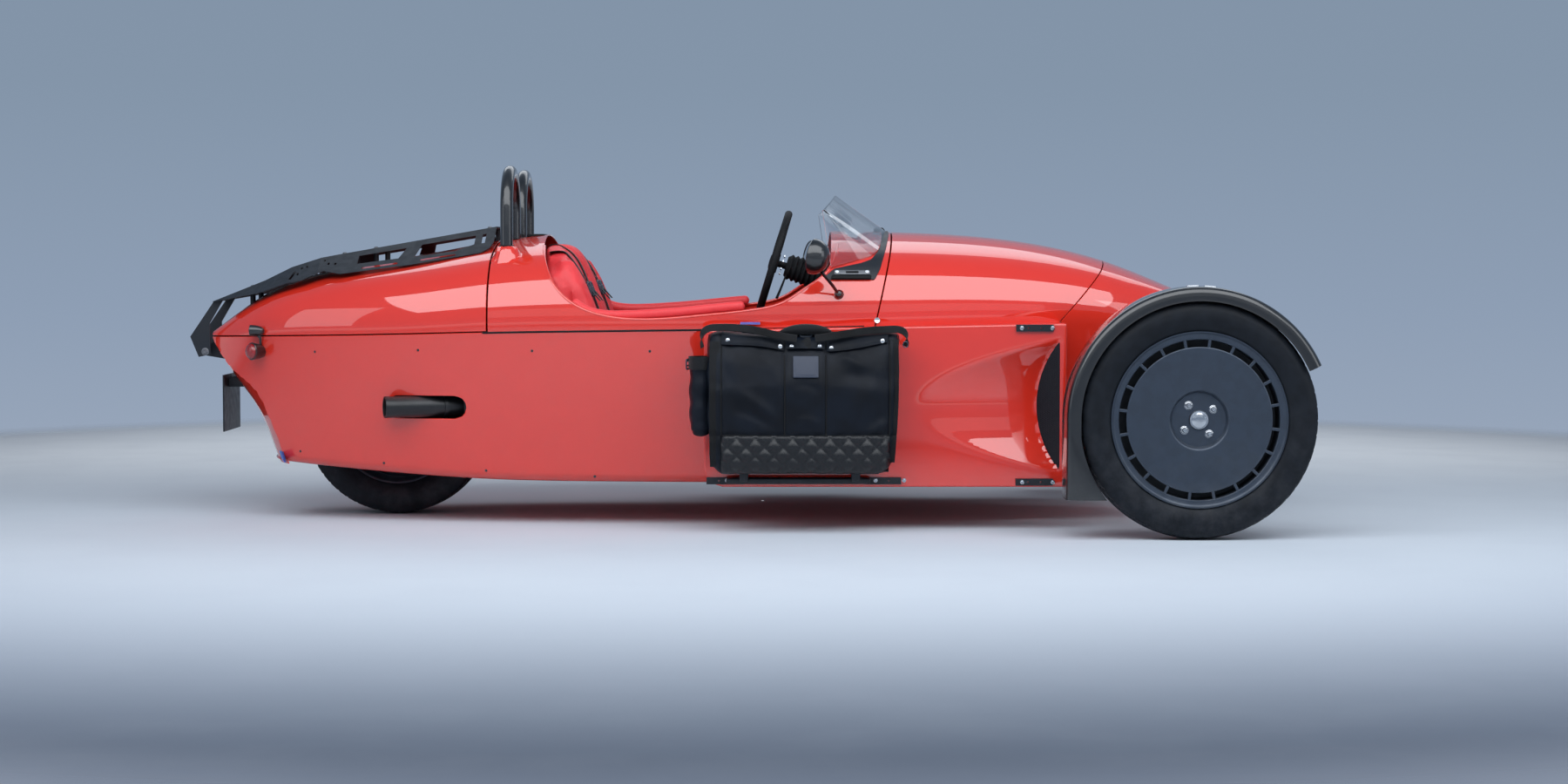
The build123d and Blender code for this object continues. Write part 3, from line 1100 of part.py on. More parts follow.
def rack_section(row):
    """Closed outline of the folded sheet, across the car at one row of the table."""
    out = Vector(math.cos(RACK_FOLD), -math.sin(RACK_FOLD))
    inward = Vector(-math.sin(RACK_FOLD), -math.cos(RACK_FOLD)) * RACK_T
    fold = Vector(row.half, row.top)
    tip = fold + out * row.side
    corner = Vector(row.half - RACK_T * math.tan(RACK_FOLD / 2), row.top - RACK_T)
    right = [fold, tip, tip + inward, corner]
    outline = [(p.X, p.Y) for p in right] + [(-p.X, p.Y) for p in reversed(right)]
    with BuildSketch(Plane((row.x, 0, 0), x_dir=(0, 1, 0), z_dir=(1, 0, 0))) as section:
        with BuildLine():
            Polyline(*outline, close=True)
        make_face()
    return section.sketch


with BuildPart() as rack:
    loft(sections=[rack_section(row) for row in RACK_ROWS], ruled=True)
    with BuildSketch(Plane.XZ):
        with BuildLine():
            Polyline(*RACK_EDGE, (RACK_EDGE[-1][0] + 50, 960), (RACK_EDGE[-1][0] + 50, 500),
                     (RACK_EDGE[0][0] - 50, 500), (RACK_EDGE[0][0] - 50, RACK_EDGE[0][1]), close=True)
        make_face()
    extrude(amount=OVER, both=True, mode=Mode.SUBTRACT)
    for window in SIDE_WINDOWS:
        with BuildSketch(Plane.XZ):
            with BuildLine():
                Polyline(*window, close=True)
            make_face()
        extrude(amount=OVER, both=True, mode=Mode.SUBTRACT)
    for hole_x, hole_z in SIDE_HOLES:
        with Locations((hole_x, 0, hole_z)):
            Cylinder(SIDE_HOLE_R, OVER, rotation=(90, 0, 0), mode=Mode.SUBTRACT)
    with BuildSketch(Plane.XY.offset(RACK_ROWS[0].top)):
        with Locations(*[(x, 0) for x in DECK_WINDOWS]):
            RectangleRounded(DECK_WINDOW_LONG, DECK_WINDOW_WIDE, DECK_WINDOW_R)
    extrude(amount=OVER, mode=Mode.SUBTRACT)
    for sign in (-1, 1):
        with BuildSketch(Plane.XZ.offset(sign * (FOOT_Y + FOOT_T / 2) - FOOT_T / 2)):
            with BuildLine():
                Polyline((LID_PIVOT_X - 22, LID_PIVOT_Z - 18), (-1805.5, 595), (-1726, 712),
                         (-1690, 725), (-1740, 640), (LID_PIVOT_X + 18, LID_PIVOT_Z - 10),
                         close=True)
            make_face()
            with Locations((LID_PIVOT_X, LID_PIVOT_Z)):
                Circle(PIVOT_R + RUN, mode=Mode.SUBTRACT)
        extrude(amount=FOOT_T)
        for post_x, post_y in RACK_POSTS:
            with Locations((post_x, sign * post_y, deck_top(post_x) - (RACK_T + POST_LONG) / 2)):
                Cylinder(POST_R, POST_LONG)
    add(tail_clear, mode=Mode.SUBTRACT)
write(rack.part, "luggage_rack")
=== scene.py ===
"""Looks of an open car with two front wheels and one rear wheel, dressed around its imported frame."""

import json
import math

import bmesh
import bpy
import numpy as np
from bpy.props import FloatProperty, FloatVectorProperty, IntProperty, PointerProperty
from mathutils.bvhtree import BVHTree
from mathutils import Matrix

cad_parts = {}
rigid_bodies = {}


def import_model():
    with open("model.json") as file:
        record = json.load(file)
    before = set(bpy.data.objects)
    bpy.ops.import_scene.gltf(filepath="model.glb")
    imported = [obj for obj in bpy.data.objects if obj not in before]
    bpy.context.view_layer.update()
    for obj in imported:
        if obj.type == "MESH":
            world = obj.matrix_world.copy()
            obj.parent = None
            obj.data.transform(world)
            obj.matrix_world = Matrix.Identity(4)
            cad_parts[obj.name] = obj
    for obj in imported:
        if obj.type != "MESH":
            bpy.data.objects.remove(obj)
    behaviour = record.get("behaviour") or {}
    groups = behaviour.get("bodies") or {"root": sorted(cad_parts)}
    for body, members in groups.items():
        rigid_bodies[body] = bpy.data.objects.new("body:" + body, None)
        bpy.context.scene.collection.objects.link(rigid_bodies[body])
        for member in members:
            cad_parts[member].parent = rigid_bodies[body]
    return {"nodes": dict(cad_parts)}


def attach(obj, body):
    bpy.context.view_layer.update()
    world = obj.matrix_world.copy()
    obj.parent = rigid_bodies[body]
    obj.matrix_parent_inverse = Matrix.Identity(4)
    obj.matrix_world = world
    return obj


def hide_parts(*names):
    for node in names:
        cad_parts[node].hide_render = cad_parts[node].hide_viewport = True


bl_info = {
    "name": "Three-wheeled open car",
    "version": (1, 0, 0),
    "blender": (4, 5, 0),
    "location": "View3D > Sidebar > Car",
    "description": "Builds the panels, wheels, trim and finishes of an open three-wheeled car",
    "category": "Object",
}

for leftover in list(bpy.data.objects):
    bpy.data.objects.remove(leftover)
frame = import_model()
NODES = frame["nodes"]

SIDES = (("right", -1), ("left", 1))
TINY = 1e-12


# ------------------------------------------------------------------ body form
# Stations of the body in metres: place, half width and height of the chine, top of the
# upper body on the centre line, half width and height of the flat bottom.
STATIONS = np.array([
    (-1.732, 0.08, 0.593, 0.612, 0.06, 0.215),
    (-1.581, 0.215, 0.598, 0.722, 0.16, 0.2),
    (-1.356, 0.345, 0.604, 0.808, 0.275, 0.182),
    (-1.037, 0.447, 0.612, 0.865, 0.37, 0.16),
    (-0.768, 0.5, 0.62, 0.914, 0.42, 0.147),
    (-0.376, 0.548, 0.627, 0.944, 0.452, 0.142),
    (0.1, 0.556, 0.634, 0.946, 0.458, 0.14),
    (0.53, 0.52, 0.643, 0.94, 0.43, 0.142),
    (1.055, 0.42, 0.648, 0.893, 0.345, 0.16),
    (1.25, 0.372, 0.649, 0.843, 0.305, 0.18),
    (1.467, 0.3, 0.65, 0.757, 0.25, 0.215),
])
TAIL_X, NOSE_X = STATIONS[0, 0], STATIONS[-1, 0]
SHOULDER_SIDE, SHOULDER_UP, SHOULDER_SHARE = 0.72, 0.8, 0.62
BILGE_R, BILGE_START, BILGE_END = 0.034, 0.45, 0.6
SHUT_GAP = 0.006
LID_X = -0.768
SCREEN_LINE = ((0.461, 0.64), (0.532, 0.95))
NOSE_LINE = ((1.047, 0.64), (1.242, 0.852))
HULL_END_X = 1.4
SIDE_END = ((-1.732, 0.593), (-1.658, 0.497), (-1.604, 0.457), (-1.558, 0.416), (-1.527, 0.357),
            (-1.478, 0.235), (-1.462, 0.18))
WALL_MID = ((-1.742, 0.593), (-1.7, 0.5), (-1.637, 0.411), (-1.582, 0.324), (-1.54, 0.215),
            (-1.526, 0.18))
COCKPIT_EDGE = ((-0.612, 1.2), (-0.612, 0.93), (-0.599, 0.872), (-0.556, 0.77),
                (-0.474, 0.701), (-0.376, 0.671), (-0.1, 0.674), (0.065, 0.691),
                (0.176, 0.718), (0.245, 0.762), (0.303, 0.803), (0.322, 0.825),
                (0.352, 1.0), (0.352, 1.2))
FRONT_HUB = (1.4385, 0.857, 0.367)
REAR_HUB = (-1.12, 0.0, 0.312)
BLADE_Y = 0.6


def unit(vectors):
    """Vectors brought to a length of 1."""
    return vectors / np.maximum(np.linalg.norm(vectors, axis=-1, keepdims=True), TINY)


def round_turns(steps):
    """Angles of evenly spaced places round a circle."""
    return np.linspace(0, 2 * math.pi, steps, endpoint=False)


def turned(u, v, turn):
    """Plane coordinates turned by an angle."""
    return u * math.cos(turn) - v * math.sin(turn), u * math.sin(turn) + v * math.cos(turn)


def stacked(x, y, z):
    """Coordinates, each a grid or one value, as a list of points."""
    return np.stack(np.broadcast_arrays(x, y, z), -1).reshape(-1, 3)


def spline(knots, values, at):
    """Natural cubic spline through values at knots, read at any place."""
    knots, values, at = (np.asarray(a, float) for a in (knots, values, at))
    step = np.diff(knots)
    rise = np.diff(values) / step
    count = len(knots)
    matrix, right = np.eye(count), np.zeros(count)
    inner = np.arange(1, count - 1)
    matrix[inner, inner - 1] = step[:-1]
    matrix[inner, inner] = 2 * (step[:-1] + step[1:])
    matrix[inner, inner + 1] = step[1:]
    right[inner] = 6 * np.diff(rise)
    bend = np.linalg.solve(matrix, right)
    cell = np.clip(np.searchsorted(knots, at) - 1, 0, count - 2)
    left, width = at - knots[cell], step[cell]
    slope = rise[cell] - width * (2 * bend[cell] + bend[cell + 1]) / 6
    third = (bend[cell + 1] - bend[cell]) / (6 * width)
    return values[cell] + left * (slope + left * (bend[cell] / 2 + left * third))


def stations(x):
    """The five station values at any x, each on a natural cubic spline along the body."""
    return [spline(STATIONS[:, 0], STATIONS[:, column], x) for column in range(1, 6)]


def upper_skin(x, around, lift=0.0):
    """Y and Z of the upper body. around runs from -1 at the right chine over 0 on top to 1.

    A crown arc passes through the top and both shoulders, and a side arc, tangent to it at
    the shoulder, ends on the chine. lift raises the chine line by that much.
    """
    half, low, top, _, _ = stations(x)
    low = low + lift
    side, up = SHOULDER_SIDE * half, low + SHOULDER_UP * (top - low)
    rise = top - up
    crown_r = (side ** 2 + rise ** 2) / (2 * rise)
    turn = 2 * np.arctan2(rise, side)
    normal_y, normal_z = np.sin(turn), np.cos(turn)
    chord_y, chord_z = half - side, low - up
    side_r = -(chord_y ** 2 + chord_z ** 2) / (2 * (chord_y * normal_y + chord_z * normal_z))
    centre_y, centre_z = side - side_r * normal_y, up - side_r * normal_z
    last = np.arctan2(half - centre_y, low - centre_z)
    share = np.abs(around)
    crown_turn = turn * np.minimum(share / SHOULDER_SHARE, 1)
    side_turn = turn + (last - turn) * np.clip((share - SHOULDER_SHARE) / (1 - SHOULDER_SHARE), 0, 1)
    on_crown = share <= SHOULDER_SHARE
    y = np.where(on_crown, crown_r * np.sin(crown_turn), centre_y + side_r * np.sin(side_turn))
    z = np.where(on_crown, top - crown_r + crown_r * np.cos(crown_turn),
                 centre_z + side_r * np.cos(side_turn))
    return np.sign(around) * y, z


def skin_search(x, goes_on):
    """Y and Z of the upper body where goes_on(y, z) turns false, by bisection round the section."""
    low, high = np.zeros_like(x), np.ones_like(x)
    for _ in range(26):
        middle = (low + high) / 2
        further = goes_on(*upper_skin(x, middle))
        low, high = np.where(further, middle, low), np.where(further, high, middle)
    return upper_skin(x, low)


def skin_half(x, z):
    """Half width of the upper body at any place along and height."""
    x, z = np.broadcast_arrays(np.asarray(x, float), np.asarray(z, float))
    return skin_search(x, lambda _, height: height > z)[0]


def skin_top(x, y):
    """Height of the upper body over any point."""
    x, y = np.broadcast_arrays(np.asarray(x, float), np.abs(np.asarray(y, float)))
    return skin_search(x, lambda half, _: half < y)[1]


def hull_side(x, z, ends=(-np.inf, np.inf)):
    """Half width of the lower hull's straight side at a height, whose share of it is held between ends."""
    half, high, _, floor_half, floor_z = stations(x)
    return floor_half + np.clip((z - floor_z) / (high - floor_z), *ends) * (half - floor_half)


def lower_skin(x, around):
    """Y and Z of the lower hull. around runs from -1 at the right chine under the floor to 1.

    Straight side, rounded bilge and flat floor, with the round tangent to both.
    """
    half, high, _, floor_half, floor_z = stations(x)
    run_y, run_z = half - floor_half, high - floor_z
    length = np.hypot(run_y, run_z)
    run_y, run_z = run_y / length, run_z / length
    corner = np.arccos(-run_y)
    reach = BILGE_R / np.tan(corner / 2)
    share = 1 - np.abs(around)
    on_side = np.clip(share / BILGE_START, 0, 1)
    on_bilge = np.clip((share - BILGE_START) / (BILGE_END - BILGE_START), 0, 1)
    on_floor = np.clip((share - BILGE_END) / (1 - BILGE_END), 0, 1)
    side_y = half - run_y * on_side * (length - reach)
    side_z = high - run_z * on_side * (length - reach)
    angle = np.arctan2(-run_y, run_z) - (np.pi - corner) * on_bilge
    centre_y = floor_half + run_y * reach - BILGE_R * run_z
    centre_z = floor_z + run_z * reach + BILGE_R * run_y
    bilge_y = centre_y + BILGE_R * np.cos(angle)
    bilge_z = centre_z + BILGE_R * np.sin(angle)
    floor_y = (floor_half - reach) * (1 - on_floor)
    y, z = (np.where(share <= BILGE_START, side, np.where(share <= BILGE_END, bilge, floor))
            for side, bilge, floor in ((side_y, bilge_y, floor_y), (side_z, bilge_z, floor_z)))
    return np.sign(around) * y, z


# ------------------------------------------------------------------ mesh tools
def grid_faces(rows, columns, close_rows=False, close_columns=False):
    """Quads of a grid whose points are stored row by row, closed round either way."""
    row = np.arange(rows if close_rows else rows - 1)[:, None]
    column = np.arange(columns if close_columns else columns - 1)[None, :]
    next_row, next_column = (row + 1) % rows, (column + 1) % columns
    corners = (row * columns + column, row * columns + next_column,
               next_row * columns + next_column, next_row * columns + column)
    return np.stack([np.broadcast_to(c, (len(row), column.shape[1])).ravel() for c in corners], 1)


def blocks_of(faces):
    """Faces as a list of blocks, each with one number of corners."""
    return faces if isinstance(faces, list) else [faces]


def triangles(faces):
    """Each quad as two triangles."""
    return faces if faces.shape[1] == 3 else np.vstack([faces[:, [0, 1, 2]], faces[:, [0, 2, 3]]])


def clip(points, faces, keep):
    """Surface cut along keep = 0: a triangle is kept where keep is above 0, or cut across."""
    tris = triangles(faces)
    inside = keep[tris] > 0
    count = inside.sum(1)
    parts = [tris[count == 3]]
    cut = (count == 1) | (count == 2)
    odd = np.where(count[cut, None] == 1, inside[cut], ~inside[cut]).argmax(1)
    split = tris[cut][np.arange(cut.sum())[:, None], (odd[:, None] + np.arange(3)) % 3]
    edges = np.vstack([split[:, [0, 1]], split[:, [0, 2]]])
    ordered = np.sort(edges, 1)
    unique, where = np.unique(ordered, axis=0, return_inverse=True)
    near, far = keep[unique[:, 0]], keep[unique[:, 1]]
    share = (near / (near - far))[:, None]
    fresh = points[unique[:, 0]] * (1 - share) + points[unique[:, 1]] * share
    where = where.ravel() + len(points)
    first, second = where[:len(split)], where[len(split):]
    single = count[cut] == 1
    parts.append(np.stack([split[single, 0], first[single], second[single]], 1))
    pair = ~single
    parts.append(np.stack([first[pair], split[pair, 1], split[pair, 2]], 1))
    parts.append(np.stack([first[pair], split[pair, 2], second[pair]], 1))
    return tidy(np.vstack([points, fresh]), np.vstack(parts))


def tidy(points, faces):
    """The same surface without unused points and without faces that have no area."""
    corners = points[faces]
    area = np.linalg.norm(np.cross(corners[:, 1] - corners[:, 0], corners[:, 2] - corners[:, 0]), axis=1)
    faces = faces[area > TINY]
    used, index = np.unique(faces, return_inverse=True)
    return points[used], index.reshape(faces.shape)


def outside(x, z, outline):
    """Distance of points in a plane from a closed outline, above 0 outside it."""
    near = np.asarray(outline, float)
    far = np.roll(near, -1, 0)
    best = np.full(np.shape(x), np.inf)
    crossed = np.zeros(np.shape(x), bool)
    for (ax, az), (bx, bz) in zip(near, far):
        run_x, run_z = bx - ax, bz - az
        share = np.clip(((x - ax) * run_x + (z - az) * run_z) / (run_x ** 2 + run_z ** 2), 0, 1)
        best = np.minimum(best, np.hypot(x - ax - share * run_x, z - az - share * run_z))
        spans = (az > z) != (bz > z)
        crossed ^= spans & (x < ax + (z - az) * run_x / np.where(run_z == 0, 1, run_z))
    return np.where(crossed, -best, best)


def slot_field(x, z, centre, length, width):
    """Distance from a level, round-ended slot, above 0 outside it."""
    beyond = np.maximum(np.abs(x - centre[0]) - (length - width) / 2, 0)
    return np.hypot(beyond, z - centre[1]) - width / 2


def point_normals(points, faces):
    """Unit normals at the points, from the areas of the faces around each."""
    normals = np.zeros_like(points)
    corners = points[faces]
    flat = np.cross(corners[:, 2] - corners[:, 0], corners[:, -1] - corners[:, 1])
    if faces.shape[1] == 3:
        flat = np.cross(corners[:, 1] - corners[:, 0], corners[:, 2] - corners[:, 0])
    for corner in range(faces.shape[1]):
        np.add.at(normals, faces[:, corner], flat)
    return unit(normals)


def shell(points, faces, thickness, lip=0.35):
    """A wall behind a surface: the skin, its copy set back along the normals, and a rounded rim.

    The rim's middle line stands proud of the edge by lip times the thickness.
    """
    normals = point_normals(points, faces)
    count = len(points)
    back = points - normals * thickness
    ring = np.vstack([faces[:, [i, (i + 1) % faces.shape[1]]] for i in range(faces.shape[1])])
    _, index, times = np.unique(np.sort(ring, 1), axis=0, return_index=True, return_counts=True)
    a, b = ring[index[times == 1]].T
    out = np.cross(points[b] - points[a], normals[a])
    spread = np.zeros_like(points)
    for end in (a, b):
        np.add.at(spread, end, out)
    proud = points - normals * thickness / 2 + unit(spread) * thickness * lip
    rim = np.vstack([np.stack([b, a, a + 2 * count, b + 2 * count], 1),
                     np.stack([b + 2 * count, a + 2 * count, a + count, b + count], 1)])
    return np.vstack([points, back, proud]), [faces, faces[:, ::-1] + count, rim]


def put(name, points, faces, body, slot, material, crease=35.0):
    """A finished piece: its mesh, smooth but for edges sharper than crease, on its body."""
    mesh = bpy.data.meshes.new(name)
    mesh.from_pydata(points.tolist(), [], [face for block in blocks_of(faces) for face in block.tolist()])
    mesh.validate()
    built = bmesh.new()
    built.from_mesh(mesh)
    loose = [v for v in built.verts if not v.link_faces]
    bmesh.ops.delete(built, geom=loose, context="VERTS")
    bmesh.ops.remove_doubles(built, verts=built.verts, dist=1e-6)
    bmesh.ops.recalc_face_normals(built, faces=built.faces)
    built.to_mesh(mesh)
    built.free()
    mesh.shade_smooth()
    mesh.set_sharp_from_angle(angle=math.radians(crease))
    mesh.materials.append(material)
    piece = bpy.data.objects.new(name, mesh)
    bpy.context.scene.collection.objects.link(piece)
    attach(piece, body)
    return piece


def gather(parts):
    """Several (points, faces) surfaces as one, with the faces renumbered."""
    points, faces, start = [], [], 0
    for some, blocks in parts:
        faces += [block + start for block in blocks_of(blocks)]
        points.append(some)
        start += len(some)
    return np.vstack(points), faces


def sided(points, faces, sign):
    """A piece drawn for the right side, or for the left its mirror image, with its faces turned to match."""
    if sign < 0:
        return points, faces
    return points * (1, -1, 1), [block[:, ::-1] for block in blocks_of(faces)]


def both(name, form, body, slot, material, crease=35.0):
    """A piece drawn for the right side, and its mirror image for the left, as (side, piece) pairs.

    * in the name and the body stands for the side.
    """
    return [(side, put(name.replace("*", side), *sided(*form, sign), body.replace("*", side), slot,
                       MATERIALS[material], crease)) for side, sign in SIDES]


def fan_caps(points, rows, columns):
    """Centre points and triangles that close the first and last ring of a tube of rings."""
    first, last = points[:columns], points[-columns:]
    middle = np.vstack([first.mean(0), last.mean(0)])
    ring = np.arange(columns)
    after = (ring + 1) % columns
    start, end = rows * columns, rows * columns + 1
    tip = np.stack([np.full(columns, start), after, ring], 1)
    tail = np.stack([np.full(columns, end), ring + (rows - 1) * columns, after + (rows - 1) * columns], 1)
    return middle, np.vstack([tip, tail])


def square_to(axis):
    """A direction square to an axis."""
    return unit(np.cross((0.0, 0, 1) if abs(axis[2]) < 0.9 else (1.0, 0, 0), axis))


def revolve(profile, centre, axis=(0, -1, 0), steps=96):
    """Profile of (radius, distance along the axis) turned about the axis through centre.

    The profile runs so that the outside lies on its left when the axis points up and the
    radius to the right. A first or last radius of 0 closes the piece there.
    """
    profile, axis = np.asarray(profile, float), unit(axis)
    across = square_to(axis)
    turns = round_turns(steps)[:, None]
    wheel = np.cos(turns) * across + np.sin(turns) * np.cross(axis, across)
    points = np.asarray(centre) + profile[None, :, :1] * wheel[:, None, :] + profile[None, :, 1:] * axis
    return points.reshape(-1, 3), grid_faces(steps, len(profile), close_rows=True)


def carried(path, rings, closed):
    """Rings that stand one at each point of a path, joined up, with caps on an open path's ends."""
    points, sides = rings.reshape(-1, 3), rings.shape[1]
    faces = grid_faces(len(path), sides, close_rows=closed, close_columns=True)
    if closed:
        return points, [faces]
    middle, caps = fan_caps(points, len(path), sides)
    return np.vstack([points, middle]), [faces, caps]


def tube(path, radius, sides=16, closed=False):
    """Round tube carried along a path of points, its ring turned least from point to point.

    radius is one value or one for each point.
    """
    path = np.asarray(path, float)
    count = len(path)
    run = np.roll(path, -1, 0) - np.roll(path, 1, 0)
    if not closed:
        run[0], run[-1] = path[1] - path[0], path[-1] - path[-2]
    run = unit(run)
    side = np.zeros_like(path)
    side[0] = square_to(run[0])
    for i in range(1, count):
        side[i] = unit(side[i - 1] - run[i] * (side[i - 1] @ run[i]))
    angle = round_turns(sides)[None, :, None]
    radius = np.broadcast_to(np.asarray(radius, float), (count,))[:, None, None]
    ring = np.cos(angle) * side[:, None] + np.sin(angle) * np.cross(run, side)[:, None]
    return carried(path, path[:, None] + radius * ring, closed)


def smooth_line(points, steps):
    """Points along a smooth curve through a few given ones, by a cubic spline on chord length."""
    points = np.asarray(points, float)
    lengths = np.concatenate([[0], np.cumsum(np.linalg.norm(np.diff(points, axis=0), axis=1))])
    at = np.linspace(0, lengths[-1], steps)
    return np.stack([spline(lengths, points[:, i], at) for i in range(points.shape[1])], 1)


def rounded(corners, radii, steps=6):
    """Closed outline with each corner rounded by its own radius."""
    corners = np.asarray(corners, float)
    radii = np.broadcast_to(radii, len(corners))
    line = []
    for i, corner in enumerate(corners):
        if radii[i] <= 0:
            line.append(corner)
            continue
        back, ahead = corners[i - 1] - corner, corners[(i + 1) % len(corners)] - corner
        back, ahead = back / np.linalg.norm(back), ahead / np.linalg.norm(ahead)
        angle = math.acos(np.clip(back @ ahead, -1, 1))
        reach = radii[i] / math.tan(angle / 2)
        middle = corner + (back + ahead) / np.linalg.norm(back + ahead) * radii[i] / math.sin(angle / 2)
        start, end = corner + back * reach - middle, corner + ahead * reach - middle
        for share in np.linspace(0, 1, steps):
            spoke = start * (1 - share) + end * share
            line.append(middle + spoke / np.linalg.norm(spoke) * radii[i])
    return np.array(line)


def sweep(path, outline, side, swell=1.0, closed=False):
    """A flat outline (aside, up) carried along a path, with aside kept as near to side as can be.

    swell scales the outline, one value for each point. Both ends are capped.
    """
    path, outline = np.asarray(path, float), np.asarray(outline, float)
    count = len(path)
    run = unit(np.roll(path, -1, 0) - np.roll(path, 1, 0) if closed else np.gradient(path, axis=0))
    side = np.broadcast_to(np.asarray(side, float), path.shape)
    side = unit(side - run * (side * run).sum(1, keepdims=True))
    up = np.cross(run, side)
    swell = np.broadcast_to(np.asarray(swell, float), (count,))[:, None, None]
    spread = outline[None, :, :1] * side[:, None] + outline[None, :, 1:] * up[:, None]
    rings = path[:, None] + swell * spread
    return carried(path, rings, closed)


def band(width, thickness):
    """Outline of a flat band with softened edges, for sweep."""
    half, soft = width / 2, min(thickness / 2, 0.0012)
    return np.array([(-half, 0), (-half + soft, -thickness / 2), (half - soft, -thickness / 2), (half, 0),
                     (half - soft, thickness / 2), (-half + soft, thickness / 2)])


def oval(wide, high, steps):
    """Outline of an ellipse with the given half sizes, for sweep."""
    turn = round_turns(steps)
    return np.column_stack([wide * np.cos(turn), high * np.sin(turn)])


def slab(outline, low, high, edge, spread):
    """Soft block: an outline in side view (x, z) carried across from y low to high.

    Its outline draws in along a quarter round of the edge radius at both ends.
    """
    outline = np.asarray(outline, float)
    after = np.roll(outline, -1, 0)
    run = after - np.roll(outline, 1, 0)
    turn = np.sign((outline[:, 0] * after[:, 1] - after[:, 0] * outline[:, 1]).sum())
    inward = turn * np.stack([-run[:, 1], run[:, 0]], 1) / np.linalg.norm(run, axis=1, keepdims=True)
    bend = np.linspace(0, math.pi / 2, 6)
    draw = np.concatenate([edge * (1 - np.sin(bend)), np.zeros(spread), edge * (1 - np.sin(bend[::-1]))])
    across = np.concatenate([low + edge * (1 - np.cos(bend)),
                             np.linspace(low + edge, high - edge, spread + 2)[1:-1],
                             high - edge * (1 - np.cos(bend[::-1]))])
    drawn = outline + inward * draw[:, None, None]
    rings = np.stack([drawn[..., 0], across[:, None] + 0 * drawn[..., 0], drawn[..., 1]], -1)
    return carried(across, rings, False)


def read_mesh(piece):
    """Points and faces of an object with its modifiers worked out."""
    worked_out = piece.evaluated_get(bpy.context.evaluated_depsgraph_get())
    shown = worked_out.to_mesh()
    points = np.array([v.co for v in shown.vertices])
    faces = [list(p.vertices) + list(p.vertices)[:1] * (4 - len(p.vertices)) for p in shown.polygons]
    worked_out.to_mesh_clear()
    return points, np.array(faces)


def temporary(points, faces):
    """An object that only carries modifiers while a soft form is worked out."""
    mesh = bpy.data.meshes.new("soft_form")
    listed = [list(dict.fromkeys(face)) for block in blocks_of(faces) for face in block.tolist()]
    mesh.from_pydata(points.tolist(), [], listed)
    piece = bpy.data.objects.new("soft_form", mesh)
    bpy.context.scene.collection.objects.link(piece)
    return piece


CLOTH_FRAMES, CLOTH_PRESSURE, CLOTH_STIFFNESS = 20, 4.0, 12.0


def stuffed(points, faces, voxel, cap):
    """A closed form as stitched fabric holds it: remeshed, blown up by cloth, and smoothed once.

    No point moves further than cap.
    """
    piece = temporary(points, faces)
    remesh = piece.modifiers.new("remesh", "REMESH")
    remesh.mode, remesh.voxel_size = "VOXEL", voxel
    points, faces = read_mesh(piece)
    bpy.data.objects.remove(piece)
    piece = temporary(points, faces)
    cloth = piece.modifiers.new("cloth", "CLOTH")
    cloth.settings.use_pressure, cloth.settings.uniform_pressure_force = True, CLOTH_PRESSURE
    cloth.settings.effector_weights.gravity = 0.0
    cloth.settings.tension_stiffness = cloth.settings.compression_stiffness = CLOTH_STIFFNESS
    cloth.point_cache.frame_end = CLOTH_FRAMES
    for number in range(1, CLOTH_FRAMES + 1):
        bpy.context.scene.frame_set(number)
    blown = read_mesh(piece)[0] - points
    bpy.data.objects.remove(piece)
    bpy.context.scene.frame_set(1)
    far = np.linalg.norm(blown, axis=1, keepdims=True)
    points = points + blown * np.minimum(1, cap / np.maximum(far, TINY))
    piece = temporary(points, faces)
    piece.modifiers.new("smooth", "SUBSURF").levels = 1
    points, faces = read_mesh(piece)
    bpy.data.objects.remove(piece)
    return points, faces


def sunk(points, faces, depth):
    """A soft surface drawn in along its normals by depth(x, y, z, normals)."""
    normals = point_normals(points, faces)
    return points - normals * depth(*points.T, normals)[:, None], faces


def groove(distance, width, depth):
    """Depth of a stitched groove by the distance from its middle line."""
    return depth * np.exp(-(distance / width) ** 2)


def ease(value, low, high):
    """0 below low and 1 above high, with a smooth rise between."""
    share = np.clip((value - low) / (high - low), 0, 1)
    return share * share * (3 - 2 * share)


def box_form(low, high, radius=0.003, cuts=3):
    """Block whose edges and corners are rounded, from a grid on each side of a cube."""
    low, high = np.asarray(low, float), np.asarray(high, float)
    places = np.linspace(-1, 1, 2 * cuts + 2)
    places = np.sign(places) * np.abs(places) ** 0.6
    grid = np.stack(np.meshgrid(places, places, indexing="ij"), -1).reshape(-1, 2)
    parts = []
    base = grid_faces(len(places), len(places))
    for axis in range(3):
        for sign in (-1, 1):
            side = np.insert(grid, 0, sign, axis=1)
            parts.append((np.roll(side, axis, axis=1), base if sign < 0 else base[:, ::-1]))
    points, faces = gather(parts)
    half, middle = (high - low) / 2, (high + low) / 2
    edge = np.minimum(radius, half)
    core = np.clip(points * half, -(half - edge), half - edge)
    off = points * half - core
    return core + off / np.linalg.norm(off / edge, axis=1, keepdims=True) + middle, faces


def transom_x(y, z):
    """Where the body ends: the side's end at the corners, bowed out to the wall's middle line.

    The bow follows 1 - s**2, where s is the distance from the centre plane over the half width.
    """
    ends = []
    for line in (SIDE_END, WALL_MID):
        along, height = smooth_line(line, 60)[::-1].T
        ends.append(np.interp(z, height, along))
    across = np.clip(np.abs(y) / np.maximum(hull_side(ends[0], z, (0, 1)), 0.01), 0, 1)
    return ends[0] + (ends[1] - ends[0]) * (1 - across ** 2)


# ------------------------------------------------------------------ shader tools
def srgb(red, green, blue):
    """A colour picked on the screen, as the linear values that a shader takes."""
    return tuple((c / 12.92 if c <= 0.04045 else ((c + 0.055) / 1.055) ** 2.4)
                 for c in (red / 255, green / 255, blue / 255))


def feed(tree, socket, value):
    """An input set to a value or a colour, or linked to an output."""
    if isinstance(value, bpy.types.NodeSocket):
        tree.links.new(value, socket)
    elif socket.type == "RGBA":
        socket.default_value = (*value, 1.0)
    else:
        socket.default_value = value


